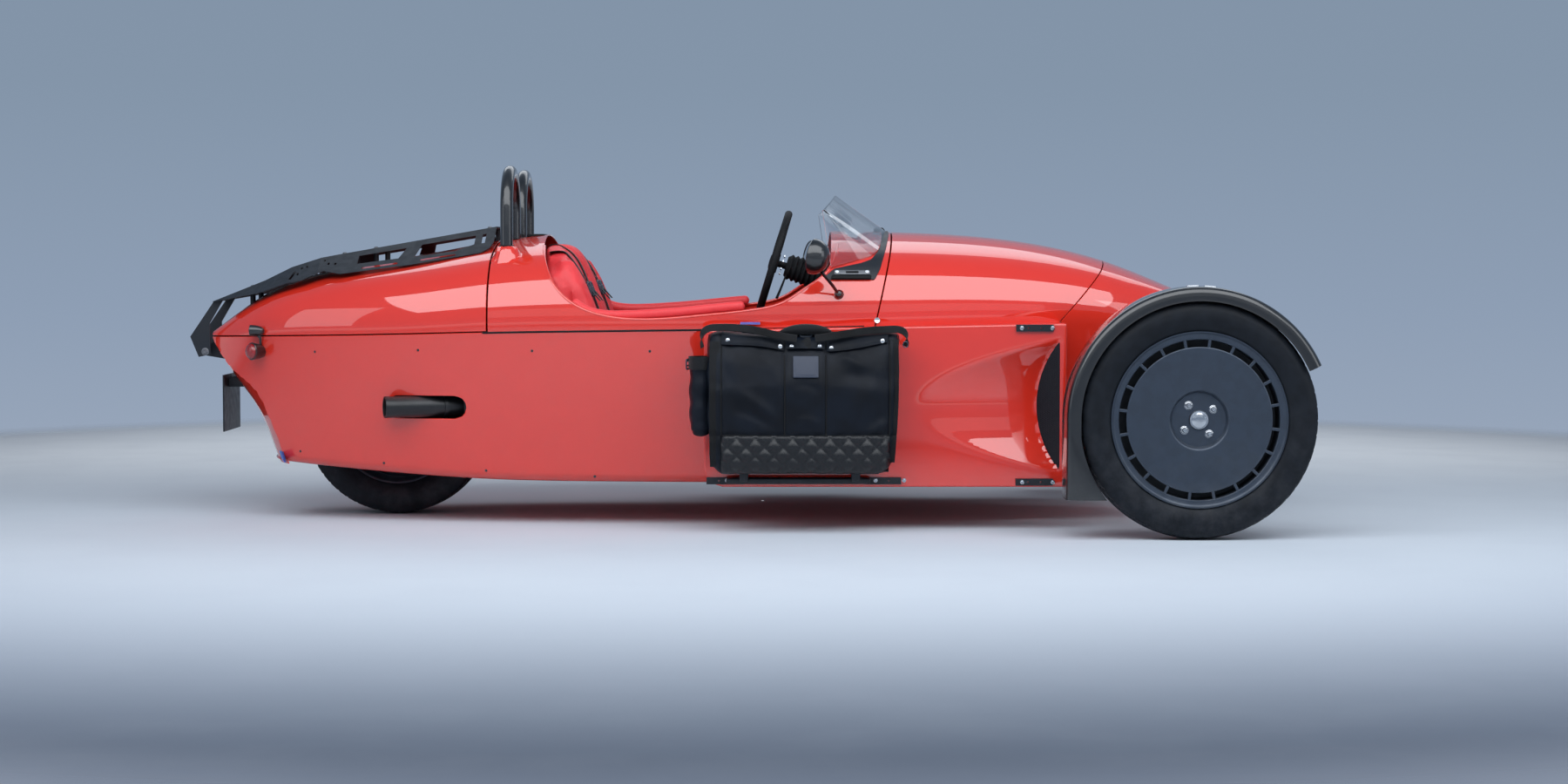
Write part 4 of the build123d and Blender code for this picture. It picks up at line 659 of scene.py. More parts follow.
def node(tree, kind, inputs=None, **settings):
    """A node in a tree, with its settings, and its inputs set to values or linked to sockets."""
    made = tree.nodes.new(kind)
    for name, value in settings.items():
        setattr(made, name, value)
    for name, value in (inputs or {}).items():
        feed(tree, made.inputs[name], value)
    return made


def group_tree(name, inputs, outputs):
    """An empty node group with named sockets, and its two end nodes."""
    tree = bpy.data.node_groups.new(name, "ShaderNodeTree")
    for label, kind, value in inputs:
        socket = tree.interface.new_socket(label, in_out="INPUT", socket_type=kind)
        if value is not None:
            socket.default_value = value
    for label, kind in outputs:
        tree.interface.new_socket(label, in_out="OUTPUT", socket_type=kind)
    return tree, tree.nodes.new("NodeGroupInput"), tree.nodes.new("NodeGroupOutput")


def math_node(tree, operation, first, second=0.5, clamp=False):
    """Result socket of one sum."""
    step = node(tree, "ShaderNodeMath", {0: first, 1: second}, operation=operation, use_clamp=clamp)
    return step.outputs[0]


def ramp(tree, value, low, high):
    """A value stretched so that low gives 0 and high gives 1, smoothly."""
    made = node(tree, "ShaderNodeMapRange", {"Value": value, "From Min": low, "From Max": high},
                interpolation_type="SMOOTHSTEP")
    return made.outputs["Result"]


def mix_colour(tree, share, first, second):
    """Colour socket between two colours or colour sockets."""
    return node(tree, "ShaderNodeMix", {0: share, 6: first, 7: second}, data_type="RGBA").outputs[2]


def make_grain_group():
    """Fine cast or moulded grain: two sizes of noise, put out as a height and a mask."""
    tree, start, end = group_tree(
        "fine_grain",
        [("Vector", "NodeSocketVector", None), ("Scale", "NodeSocketFloat", 400.0)],
        [("Height", "NodeSocketFloat"), ("Mask", "NodeSocketFloat")])
    place_in = start.outputs["Vector"]
    scale = start.outputs["Scale"]
    fine = node(tree, "ShaderNodeTexNoise",
                {"Vector": place_in, "Scale": scale, "Detail": 4.0, "Roughness": 0.6})
    wide_scale = math_node(tree, "MULTIPLY", scale, 0.05)
    wide = node(tree, "ShaderNodeTexNoise", {"Vector": place_in, "Scale": wide_scale, "Detail": 3.0})
    tree.links.new(fine.outputs["Fac"], end.inputs["Height"])
    tree.links.new(ramp(tree, wide.outputs["Fac"], 0.35, 0.65), end.inputs["Mask"])
    return tree


def make_dust_group():
    """Dust that settles on faces that look up and in low places, broken up by noise."""
    tree, start, end = group_tree(
        "settled_dust",
        [("Vector", "NodeSocketVector", None), ("Amount", "NodeSocketFloat", 0.1),
         ("Low", "NodeSocketFloat", 0.0), ("High", "NodeSocketFloat", 0.35)],
        [("Mask", "NodeSocketFloat")])
    place_in = start.outputs["Vector"]
    place = node(tree, "ShaderNodeSeparateXYZ", {"Vector": place_in})
    facing = node(tree, "ShaderNodeSeparateXYZ",
                  {"Vector": tree.nodes.new("ShaderNodeNewGeometry").outputs["Normal"]})
    upward = ramp(tree, facing.outputs["Z"], 0.3, 1.0)
    height = node(tree, "ShaderNodeMapRange", {"Value": place.outputs["Z"], "From Min": start.outputs["High"],
                                               "From Max": start.outputs["Low"]})
    patches = node(tree, "ShaderNodeTexNoise", {"Vector": place_in, "Scale": 14.0, "Detail": 8.0,
                                                "Roughness": 0.65})
    both = math_node(tree, "ADD", math_node(tree, "MULTIPLY", upward, 0.5), height.outputs["Result"], True)
    broken = math_node(tree, "MULTIPLY", both, ramp(tree, patches.outputs["Fac"], 0.35, 0.7))
    tree.links.new(math_node(tree, "MULTIPLY", broken, start.outputs["Amount"], True), end.inputs["Mask"])
    return tree


def make_weave_group():
    """Plain weave: over and under threads from two sets of waves, as a height and a thread mask."""
    tree, start, end = group_tree(
        "plain_weave",
        [("Vector", "NodeSocketVector", None), ("Threads", "NodeSocketFloat", 900.0)],
        [("Height", "NodeSocketFloat"), ("Mask", "NodeSocketFloat")])
    place_in = start.outputs["Vector"]
    place = node(tree, "ShaderNodeSeparateXYZ", {"Vector": place_in})
    threads = start.outputs["Threads"]
    level = math_node(tree, "ADD", place.outputs["X"], place.outputs["Y"])
    along = math_node(tree, "MULTIPLY", level, threads)
    up = math_node(tree, "MULTIPLY", place.outputs["Z"], threads)
    waves = [math_node(tree, "SINE", way) for way in (along, up)]
    warp, weft = (math_node(tree, "ABSOLUTE", wave) for wave in waves)
    over = math_node(tree, "GREATER_THAN", math_node(tree, "MULTIPLY", *waves), 0.0)
    swap = node(tree, "ShaderNodeMix", {0: over, 2: warp, 3: weft})
    tree.links.new(swap.outputs[0], end.inputs["Height"])
    fuzz = node(tree, "ShaderNodeTexNoise", {"Vector": place_in, "Scale": 9.0, "Detail": 6.0})
    tree.links.new(ramp(tree, fuzz.outputs["Fac"], 0.3, 0.7), end.inputs["Mask"])
    return tree


def make_hide_group():
    """Leather grain: small cells with creases between them, and wider soft wrinkles."""
    tree, start, end = group_tree(
        "hide_grain",
        [("Vector", "NodeSocketVector", None), ("Scale", "NodeSocketFloat", 420.0)],
        [("Height", "NodeSocketFloat"), ("Mask", "NodeSocketFloat")])
    place_in = start.outputs["Vector"]
    cells = node(tree, "ShaderNodeTexVoronoi", {"Vector": place_in, "Scale": start.outputs["Scale"]},
                 feature="DISTANCE_TO_EDGE")
    wrinkles = node(tree, "ShaderNodeTexNoise", {"Vector": place_in, "Scale": 60.0, "Detail": 5.0,
                                                 "Distortion": 0.6})
    creases = ramp(tree, cells.outputs["Distance"], 0.0, 0.25)
    height = math_node(tree, "ADD", math_node(tree, "MULTIPLY", creases, 0.6),
                       math_node(tree, "MULTIPLY", wrinkles.outputs["Fac"], 0.6))
    tree.links.new(height, end.inputs["Height"])
    tree.links.new(creases, end.inputs["Mask"])
    return tree


GROUP_MAKERS = {"fine_grain": make_grain_group, "settled_dust": make_dust_group,
                "plain_weave": make_weave_group, "hide_grain": make_hide_group}


def use_group(tree, name, **inputs):
    """A shared effect placed in a material, reading object coordinates."""
    if name not in bpy.data.node_groups:
        GROUP_MAKERS[name]()
    made = tree.nodes.new("ShaderNodeGroup")
    made.node_tree = bpy.data.node_groups[name]
    place = tree.nodes.new("ShaderNodeTexCoord")
    tree.links.new(place.outputs["Object"], made.inputs["Vector"])
    for label, value in inputs.items():
        made.inputs[label].default_value = value
    return made


def fresh_material(name, inputs):
    """A material with only its surface shader, and that shader's own settings."""
    material = bpy.data.materials.new(name)
    material.use_nodes = True
    tree = material.node_tree
    tree.nodes.clear()
    surface = node(tree, "ShaderNodeBsdfPrincipled", inputs)
    output = tree.nodes.new("ShaderNodeOutputMaterial")
    tree.links.new(surface.outputs[0], output.inputs["Surface"])
    return material, tree, surface


def bump(tree, surface, height, distance, strength=1.0):
    """Height turned into a bent normal on the surface shader."""
    made = node(tree, "ShaderNodeBump", {"Height": height, "Distance": distance, "Strength": strength})
    tree.links.new(made.outputs["Normal"], surface.inputs["Normal"])


def shade(tree, surface, colour, rough, colour_mask=None, colour_far=None, dust=None, dust_colour=None,
          rough_mask=None, rough_far=None):
    """Base colour and roughness, each varied by a mask, with dust over the colour."""
    shown = colour if colour_mask is None else mix_colour(tree, colour_mask, colour, colour_far)
    if dust is not None:
        shown = mix_colour(tree, dust, shown, dust_colour)
    feed(tree, surface.inputs["Base Color"], shown)
    if rough_mask is not None:
        rough = node(tree, "ShaderNodeMapRange",
                     {"Value": rough_mask, "To Min": rough, "To Max": rough_far}).outputs["Result"]
    feed(tree, surface.inputs["Roughness"], rough)


DUST = srgb(150, 148, 146)


def coral_paint(colours):
    """Solid coral coachwork paint under clear lacquer, with faint ripple and a trace of dust."""
    material, tree, surface = fresh_material("coral_paint", {
        "Coat Weight": 1.0, "Coat Roughness": 0.03, "Coat IOR": 1.9, "Specular IOR Level": 0.1})
    grain = use_group(tree, "fine_grain", Scale=260.0)
    dust = use_group(tree, "settled_dust", Amount=0.006, High=0.3)
    base = tuple(colours.paint)
    shade(tree, surface, base, 0.42, grain.outputs["Mask"], tuple(c * 0.985 for c in base),
          dust.outputs["Mask"], DUST)
    bump(tree, surface, grain.outputs["Height"], 0.00002)
    return material


def plain_paint(name, colour, rough, coat, grain_scale=300.0, depth=0.00003, dust=0.08, metal=0.0,
                rough_far=None, coat_rough=0.05):
    """A hard finish: paint, powder coat or bare metal, with grain and dust."""
    material, tree, surface = fresh_material(name, {
        "Metallic": metal, "Coat Weight": coat, "Coat Roughness": coat_rough})
    grain = use_group(tree, "fine_grain", Scale=grain_scale)
    film = use_group(tree, "settled_dust", Amount=dust)
    shade(tree, surface, colour, rough, grain.outputs["Mask"], tuple(c * 0.85 for c in colour),
          film.outputs["Mask"], DUST, grain.outputs["Mask"], rough_far or rough * 1.25)
    bump(tree, surface, grain.outputs["Height"], depth)
    return material


def rubber(name, colour, rough, dust):
    """Black rubber, a little grey with dust where it looks up or sits low."""
    material, tree, surface = fresh_material(name, {"Specular IOR Level": 0.2})
    grain = use_group(tree, "fine_grain", Scale=520.0)
    film = use_group(tree, "settled_dust", Amount=dust, High=0.5)
    shade(tree, surface, colour, rough, grain.outputs["Mask"], tuple(c * 1.5 for c in colour),
          film.outputs["Mask"], srgb(96, 98, 104), grain.outputs["Mask"], rough + 0.1)
    bump(tree, surface, grain.outputs["Height"], 0.00008)
    return material


def hide(name, colour, rough, scale=420.0):
    """Leather: grain cells, darker in the creases."""
    material, tree, surface = fresh_material(name, {})
    grain = use_group(tree, "hide_grain", Scale=scale)
    shade(tree, surface, tuple(c * 0.86 for c in colour), rough, grain.outputs["Mask"], colour,
          rough_mask=grain.outputs["Mask"], rough_far=rough - 0.12)
    bump(tree, surface, grain.outputs["Height"], 0.0004, 0.6)
    return material


def cloth(name, colour, far, rough, threads, depth=0.0003, sheen=0.15, coat=0.0):
    """Woven cloth or webbing: thread relief and a blotchy wax or wear pattern."""
    material, tree, surface = fresh_material(name, {
        "Sheen Weight": sheen, "Specular IOR Level": 0.16, "Coat Weight": coat, "Coat Roughness": 0.35})
    weave = use_group(tree, "plain_weave", Threads=threads)
    shade(tree, surface, colour, rough, weave.outputs["Mask"], far,
          rough_mask=weave.outputs["Mask"], rough_far=rough - 0.22)
    bump(tree, surface, weave.outputs["Height"], depth, 0.7)
    return material


def clear(name, colour, rough, index):
    """Clear or tinted glass or acrylic, faintly smeared."""
    material, tree, surface = fresh_material(name, {"Transmission Weight": 1.0, "IOR": index})
    grain = use_group(tree, "fine_grain", Scale=60.0)
    shade(tree, surface, colour, rough, rough_mask=grain.outputs["Mask"], rough_far=rough + 0.03)
    return material


def lens(name, colour):
    """Glossy moulded lamp lens, with a fine relief of cells."""
    material, tree, surface = fresh_material(name, {"Coat Weight": 1.0, "Transmission Weight": 0.25})
    grain = use_group(tree, "hide_grain", Scale=300.0)
    shade(tree, surface, colour, 0.08, grain.outputs["Mask"], tuple(c * 0.7 for c in colour))
    bump(tree, surface, grain.outputs["Height"], 0.0003)
    return material


def make_materials(colours):
    """Every finish of the car by name."""
    return {
        "paint": coral_paint(colours),
        "gloss_black": plain_paint("gloss_black", tuple(colours.black), 0.3, 1.0, depth=0.00002, dust=0.06),
        "satin_black": plain_paint("satin_black", srgb(17, 23, 32), 0.42, 0.05, 700.0, 0.00006, 0.04,
                                   coat_rough=0.3),
        "wheel": plain_paint("wheel_grey", tuple(colours.wheel), 0.36, 0.3, 500.0, 0.00004, 0.12, 0.5,
                             coat_rough=0.25),
        "bright": plain_paint("bright_metal", srgb(205, 208, 212), 0.16, 0.0, 200.0, 0.00002, 0.04, 1.0),
        "dull_metal": plain_paint("dull_metal", srgb(128, 130, 134), 0.42, 0.0, 350.0, 0.0001, 0.2, 0.85),
        "engine": plain_paint("cast_metal", srgb(74, 76, 80), 0.5, 0.0, 300.0, 0.0004, 0.3, 0.6),
        "exhaust": plain_paint("exhaust_black", srgb(20, 21, 24), 0.34, 0.1, 600.0, 0.00008, 0.08,
                               coat_rough=0.3),
        "tyre": rubber("tyre_rubber", srgb(17, 21, 27), 0.5, dust=0.2),
        "rubber": rubber("black_rubber", srgb(18, 19, 21), 0.6, dust=0.1),
        "red_hide": hide("red_hide", tuple(colours.hide), 0.5),
        "patch": hide("patch_hide", srgb(46, 55, 74), 0.45, 420.0),
        "black_hide": hide("black_hide", srgb(12, 14, 19), 0.38, 380.0),
        "canvas": cloth("waxed_canvas", srgb(8, 12, 19), srgb(18, 24, 34), 0.5, 2600.0, 0.0002, 0.0, 0.03),
        "webbing": cloth("webbing", srgb(10, 11, 13), srgb(19, 21, 25), 0.7, 1800.0, 0.0004),
        "carpet": cloth("black_carpet", srgb(16, 16, 18), srgb(26, 26, 28), 0.95, 700.0, 0.001, 0.4),
        "clear": clear("clear_acrylic", (0.93, 0.95, 0.96), 0.02, 1.49),
        "lamp_glass": clear("lamp_glass", (0.9, 0.93, 0.95), 0.03, 1.5),
        "red_lens": lens("red_lens", srgb(178, 8, 16)),
        "amber_lens": lens("amber_lens", srgb(190, 86, 20)),
        "dial": plain_paint("dial_face", srgb(22, 23, 25), 0.6, 0.0, 500.0, 0.00003, 0.0),
        "dial_mark": plain_paint("dial_mark", srgb(160, 160, 156), 0.6, 0.0, 500.0, 0.00001, 0.0),
        "blue_film": plain_paint("blue_film", srgb(38, 112, 205), 0.4, 0.2, 500.0, 0.00003, 0.0),
        "mirror": plain_paint("mirror_glass", srgb(225, 228, 232), 0.03, 0.0, 100.0, 0.0, 0.0, 1.0),
    }


MATERIALS = {}


# ------------------------------------------------------------------ settings
class CarSizes(bpy.types.PropertyGroup):
    """Sizes that shape the dressed car."""

    panel: FloatProperty(name="Panel thickness", description="Wall of the body panels", default=0.0035,
                         unit="LENGTH")
    cell: FloatProperty(name="Surface cell", description="Size of a body panel's grid cell",
                        default=0.0135, unit="LENGTH")
    turns: IntProperty(name="Steps round a wheel", description="Segments of a rim", default=144)
    tread_blocks: IntProperty(name="Tread repeats", description="Tread repeats round a tyre", default=52)
    spokes: IntProperty(name="Spokes", description="Short spokes round a front wheel cover", default=20)
    quilt: FloatProperty(name="Quilting", description="Side of a quilted diamond", default=0.04,
                         unit="LENGTH")


class CarColours(bpy.types.PropertyGroup):
    """Colours that a buyer would choose."""

    paint: FloatVectorProperty(name="Paint", description="Body colour", subtype="COLOR", size=3,
                               default=srgb(228, 50, 34), min=0, max=1)
    black: FloatVectorProperty(name="Black", description="Gloss black of guards and hoops",
                               subtype="COLOR", size=3, default=srgb(13, 14, 17), min=0, max=1)
    hide: FloatVectorProperty(name="Hide", description="Colour of seats and sill pads",
                              subtype="COLOR", size=3, default=srgb(246, 62, 68), min=0, max=1)
    wheel: FloatVectorProperty(name="Wheels", description="Satin grey of the wheels",
                               subtype="COLOR", size=3, default=srgb(58, 68, 82), min=0, max=1)


# ------------------------------------------------------------------ camera, light and floor
CAMERA_PLACE = (0.1755, -9.0, 0.8806)
CAMERA_TILT = 3.027              # degrees below level
CAMERA_LENS = 61.28
FLOOR_R = 5.6


class CAR_OT_stage(bpy.types.Operator):
    """Camera, studio lamps, pale floor and grey-blue backdrop"""

    bl_idname = "car.stage"
    bl_label = "Stage"

    def execute(self, context):
        scene = context.scene
        scene.view_settings.view_transform = "Standard"
        lens_data = bpy.data.cameras.new("camera")
        lens_data.lens, lens_data.sensor_width, lens_data.sensor_fit = CAMERA_LENS, 36.0, "HORIZONTAL"
        camera = bpy.data.objects.new("camera", lens_data)
        camera.location = CAMERA_PLACE
        camera.rotation_euler = (math.radians(90 - CAMERA_TILT), 0, 0)
        scene.collection.objects.link(camera)
        scene.camera = camera
        for name, place, target, size, power in LAMPS:
            add_lamp(name, place, target, size, power)
        make_floor()
        make_world(scene)
        return {"FINISHED"}


LAMPS = (
    ("high", (0.2, -2.58, 3.04), (0.1, -0.3, 0.8), (7.2, 2.7), 172.0),
    ("front", (0.3, -4.6, 1.5), (0.1, 0.0, 0.6), (6.4, 1.0), 6.0),
    ("nose", (4.6, -2.6, 1.9), (0.8, 0.0, 0.6), (1.8, 2.4), 24.0),
    ("tail", (-4.4, -2.4, 1.8), (-0.8, 0.0, 0.6), (1.8, 2.4), 14.0),
    ("back", (0.2, 3.9, 3.9), (0.0, 2.6, 0.0), (7.0, 2.6), 70.0),
)


def add_lamp(name, place, target, size, power):
    """A soft box of the given size that looks at a target."""
    light = bpy.data.lights.new(name, "AREA")
    light.shape, light.size, light.size_y = "RECTANGLE", size[0], size[1]
    light.energy = power
    light.color = (0.93, 0.965, 1.0)
    lamp = bpy.data.objects.new(name, light)
    aim = np.asarray(target) - np.asarray(place)
    from_up = math.atan2(math.hypot(aim[0], aim[1]), -aim[2])
    lamp.location = place
    lamp.rotation_euler = (from_up, 0, math.atan2(aim[0], -aim[1]) + math.pi)
    bpy.context.scene.collection.objects.link(lamp)


def make_floor():
    """Pale round floor with a painted pool of light, paler behind the car and darker in front of it and
    further off, whose edge fades into the backdrop.
    """
    rings = np.concatenate([[0.001], np.linspace(0.2, 1, 24)]) * FLOOR_R
    points, faces = revolve(np.column_stack([rings, np.zeros_like(rings)]), (0.1, 0.4, -0.0005),
                            axis=(0, 0, 1), steps=96)
    mesh = bpy.data.meshes.new("floor")
    mesh.from_pydata(points.tolist(), [], faces[:, ::-1].tolist())
    floor = bpy.data.objects.new("floor", mesh)
    bpy.context.scene.collection.objects.link(floor)
    material = bpy.data.materials.new("floor")
    material.use_nodes = True
    tree = material.node_tree
    tree.nodes.clear()
    place = node(tree, "ShaderNodeTexCoord")
    away = node(tree, "ShaderNodeVectorMath", {0: place.outputs["Object"], 1: (0.1, 1.2, 0.0)},
                operation="DISTANCE")
    depth = node(tree, "ShaderNodeSeparateXYZ", {"Vector": place.outputs["Object"]})
    # Painted light: the floor is painted paler towards the back of the car, where the lamps light it most.
    pale = mix_colour(tree, ramp(tree, depth.outputs["Y"], 0.6, 2.8), srgb(206, 215, 226),
                      srgb(244, 249, 255))
    # Painted shade: the floor is painted darker with distance from a point behind the car, for the fall-off
    # of the lamps' light; far off this also meets the backdrop's tone.
    tone = mix_colour(tree, ramp(tree, away.outputs["Value"], 3.0, 6.3), pale, srgb(132, 144, 164))
    smudge = node(tree, "ShaderNodeTexNoise",
                  {"Vector": place.outputs["Object"], "Scale": 3.0, "Detail": 6.0})
    tone = mix_colour(tree, math_node(tree, "MULTIPLY", ramp(tree, smudge.outputs["Fac"], 0.4, 0.7), 0.1),
                      tone, srgb(188, 196, 210))
    solid = node(tree, "ShaderNodeBsdfDiffuse", {"Color": tone})
    clear_edge = node(tree, "ShaderNodeBsdfTransparent")
    reach = node(tree, "ShaderNodeVectorMath", {0: place.outputs["Object"], 1: (0.1, 0.4, 0.0)},
                 operation="DISTANCE")
    fade = ramp(tree, reach.outputs["Value"], FLOOR_R * 0.84, FLOOR_R * 0.98)
    mixed = node(tree, "ShaderNodeMixShader", {0: fade, 1: solid.outputs[0], 2: clear_edge.outputs[0]})
    output = node(tree, "ShaderNodeOutputMaterial", {"Surface": mixed.outputs[0]})
    output.is_active_output = True
    mesh.materials.append(material)


BACKDROP = ((-1.0, (118, 130, 150)), (-0.3, (118, 130, 150)), (-0.2, (138, 150, 170)),
            (-0.13, (196, 205, 220)), (-0.098, (222, 229, 239)), (-0.082, (206, 214, 227)),
            (-0.074, (152, 166, 186)), (-0.02, (142, 158, 180)), (0.06, (132, 149, 169)),
            (0.3, (124, 140, 160)), (1.0, (110, 126, 146)))


def make_world(scene):
    """Backdrop tones by the height of the line of sight, and an even light for the car."""
    world = bpy.data.worlds.new("studio")
    world.use_nodes = True
    tree = world.node_tree
    tree.nodes.clear()
    place = node(tree, "ShaderNodeTexCoord")
    height = node(tree, "ShaderNodeSeparateXYZ", {"Vector": place.outputs["Generated"]})
    share = node(tree, "ShaderNodeMapRange",
                 {"Value": height.outputs["Z"], "From Min": -1.0, "From Max": 1.0})
    tones = node(tree, "ShaderNodeValToRGB", {"Fac": share.outputs["Result"]})
    stops = tones.color_ramp.elements
    while len(stops) < len(BACKDROP):
        stops.new(0.5)
    for stop, (level, tone) in zip(stops, BACKDROP):
        stop.position = (level + 1) / 2
        stop.color = (*srgb(*tone), 1.0)
    seen = node(tree, "ShaderNodeBackground", {"Color": tones.outputs["Color"], "Strength": 1.0})
    lit = node(tree, "ShaderNodeBackground", {"Color": (0.78, 0.87, 1.0), "Strength": 0.22})
    ray = node(tree, "ShaderNodeLightPath")
    bounced = math_node(tree, "MAXIMUM", ray.outputs["Is Glossy Ray"], ray.outputs["Is Transmission Ray"])
    shown = math_node(tree, "MAXIMUM", ray.outputs["Is Camera Ray"], bounced)
    mixed = node(tree, "ShaderNodeMixShader", {0: shown, 1: lit.outputs[0], 2: seen.outputs[0]})
    node(tree, "ShaderNodeOutputWorld", {"Surface": mixed.outputs[0]})
    scene.world = world


# ------------------------------------------------------------------ body panels
def on_line(line, z):
    """X of a shut line at a height."""
    (x0, z0), (x1, z1) = line
    return x0 + (z - z0) * (x1 - x0) / (z1 - z0)


SECTION_LENGTH, MIDDLE_Z = 1.7, 0.8


def panel_grid(rear, front, cell, lift=0.0):
    """Grid of the upper skin between two ends, each a fixed x or a function of height.

    Places along are found by stepping to the end lines, which lean with the height.
    """
    around = np.linspace(-1, 1, max(int(SECTION_LENGTH / cell), 8))[None, :]
    ends = []
    for end in (rear, front):
        if np.isscalar(end):
            ends.append(np.full_like(around, end))
            continue
        x = np.full_like(around, end(MIDDLE_Z))
        for _ in range(8):
            x = end(upper_skin(x, around, lift)[1])
        ends.append(x)
    along = np.linspace(0, 1, max(int(abs((ends[1] - ends[0]).mean()) / cell), 4))[:, None]
    x = ends[0] * (1 - along) + ends[1] * along
    return stacked(x, *upper_skin(x, around, lift)), grid_faces(*x.shape)


def build_panel(name, node, points, faces, thickness, body="chassis"):
    """A painted panel: skin, back and rounded rim, standing for its CAD node."""
    piece = put(name, *shell(points, faces, thickness), body, "coral_paint", MATERIALS["paint"])
    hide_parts(node)


class CAR_OT_tail_lid(bpy.types.Operator):
    """Boat tail lid, closed at its tip, with its black seal on the chine"""

    bl_idname = "car.tail_lid"
    bl_label = "Tail lid"

    def execute(self, context):
        sizes = context.scene.car_sizes
        points, faces = panel_grid(TAIL_X, LID_X - SHUT_GAP, sizes.cell, SHUT_GAP)
        build_panel("tail_lid_skin", "tail_lid", points, faces, sizes.panel, body="tail")
        x = np.linspace(TAIL_X + 0.004, LID_X - 0.004, 80)
        half, low = stations(x)[:2]
        for side, sign in SIDES:
            line = np.column_stack([x, sign * (half - 0.01), low + SHUT_GAP / 2])
            put(f"tail_seal_{side}", *tube(line, 0.0028, 8), "chassis", "black_rubber", MATERIALS["rubber"])
        return {"FINISHED"}


HOOP_X, HOOP_Y, HOOP_HALF, HOOP_TOP, HOOP_TUBE_R = -0.72, 0.237, 0.131, 1.16, 0.0205
BOSS_R, BOSS_TOP = 0.031, 0.893
HOOP_LEGS = [(hoop_y + leg * HOOP_HALF, leg * hoop_y > 0) for hoop_y in (-HOOP_Y, HOOP_Y) for leg in (-1, 1)]


class CAR_OT_cowl(bpy.types.Operator):
    """Panel round the open cockpit, with the bosses that the roll hoops pass through"""

    bl_idname = "car.cowl"
    bl_label = "Cockpit cowl"

    def execute(self, context):
        sizes = context.scene.car_sizes
        points, faces = panel_grid(LID_X + 0.001, lambda z: on_line(SCREEN_LINE, z), sizes.cell * 0.8)
        edge = np.vstack([smooth_line(COCKPIT_EDGE[1:-2], 70), ((0.352, 1.2), (-0.612, 1.2))])
        keep = outside(points[:, 0], points[:, 2], edge) - 0.0005
        for y, _ in HOOP_LEGS:
            away = np.hypot(points[:, 0] - HOOP_X, points[:, 1] - y)
            keep = np.minimum(keep, away - HOOP_TUBE_R - 0.0015)
        points, faces = clip(points, faces, keep)
        build_panel("cockpit_cowl_skin", "cockpit_cowl", swell_bosses(points), faces, sizes.panel)
        x, z = smooth_line(COCKPIT_EDGE[1:-1], 110).T
        route = np.column_stack([x, skin_half(x, z) - 0.001, z])[z < stations(x)[2] - 0.035]
        for side, sign in SIDES:
            put(f"cockpit_roll_{side}", *tube(route * (1, sign, 1), 0.0055, 12), "chassis", "coral_paint",
                MATERIALS["paint"])
        return {"FINISHED"}


def swell_bosses(points):
    """Raises the skin to a short upright boss round each outer hoop leg.

    The rise falls off from the boss's top to nothing over a narrow fillet.
    """
    points = points.copy()
    for y in (y for y, outer in HOOP_LEGS if outer):
        away = np.hypot(points[:, 0] - HOOP_X, points[:, 1] - y)
        share = ease(BOSS_R + 0.01 - away, 0, 0.012)
        points[:, 2] += share * (np.maximum(points[:, 2], BOSS_TOP) - points[:, 2])
    return points


class CAR_OT_bonnet(bpy.types.Operator):
    """Lift-off bonnet between its two leaning shut lines"""

    bl_idname = "car.bonnet"
    bl_label = "Bonnet"

    def execute(self, context):
        sizes = context.scene.car_sizes
        points, faces = panel_grid(lambda z: on_line(SCREEN_LINE, z) + SHUT_GAP,
                                   lambda z: on_line(NOSE_LINE, z), sizes.cell)
        build_panel("bonnet_skin", "bonnet", points, faces, sizes.panel)
        return {"FINISHED"}


class CAR_OT_nose(bpy.types.Operator):
    """Nose cowl in front of the bonnet"""

    bl_idname = "car.nose"
    bl_label = "Nose cowl"

    def execute(self, context):
        sizes = context.scene.car_sizes
        points, faces = panel_grid(lambda z: on_line(NOSE_LINE, z) + SHUT_GAP, NOSE_X, sizes.cell)
        build_panel("nose_skin", "nose_cowl", points, faces, sizes.panel)
        return {"FINISHED"}


EXHAUST_PLACE = (-0.975, 0.379)
EXHAUST_SLOT = (0.265, 0.076)
WHEEL_SLOT_HALF, WHEEL_SLOT_R = 0.1295, 0.357


class CAR_OT_hull(bpy.types.Operator):
    """Lower hull: leaning sides, rounded bilges, open wheel slot and curved transom"""

    bl_idname = "car.hull"
    bl_label = "Lower hull"

    def execute(self, context):
        sizes = context.scene.car_sizes
        side = np.concatenate([np.linspace(0, 0.45, 30), np.linspace(0.45, 0.6, 10)[1:],
                               np.linspace(0.6, 1, 16)[1:]])
        around = np.concatenate([side - 1, (1 - side[::-1])[1:]])[None, :]
        x = np.linspace(TAIL_X, HULL_END_X, 130)[:, None]
        points = stacked(x, *lower_skin(x, around))
        faces = grid_faces(len(x), around.size)[:, ::-1]
        keep = points[:, 0] - transom_x(points[:, 1], points[:, 2])
        away = np.hypot(points[:, 0] - REAR_HUB[0], points[:, 2] - REAR_HUB[2]) - WHEEL_SLOT_R
        beside = np.abs(points[:, 1]) - WHEEL_SLOT_HALF
        keep = np.minimum(keep, np.maximum(away, beside))
        hole = slot_field(points[:, 0], points[:, 2], EXHAUST_PLACE, *EXHAUST_SLOT)
        keep = np.minimum(keep, np.where(points[:, 1] < 0, hole, 1.0))
        points, faces = clip(points, faces, keep)
        build_panel("hull_skin", "lower_hull", points, faces, sizes.panel)
        self.transom(sizes)
        return {"FINISHED"}

    def transom(self, sizes):
        """End wall between the hull's sides, bowed rearwards."""
        levels = smooth_line(SIDE_END, 44)
        half = hull_side(*levels.T, (0, 1))[:, None] - 0.003
        y, z = np.linspace(-1, 1, 34)[None, :] * half, levels[:, 1:]
        wall = shell(stacked(transom_x(y, z) + 0.005, y, z), grid_faces(44, 34), sizes.panel)
        put("transom_wall", *wall, "chassis", "coral_paint", MATERIALS["paint"])


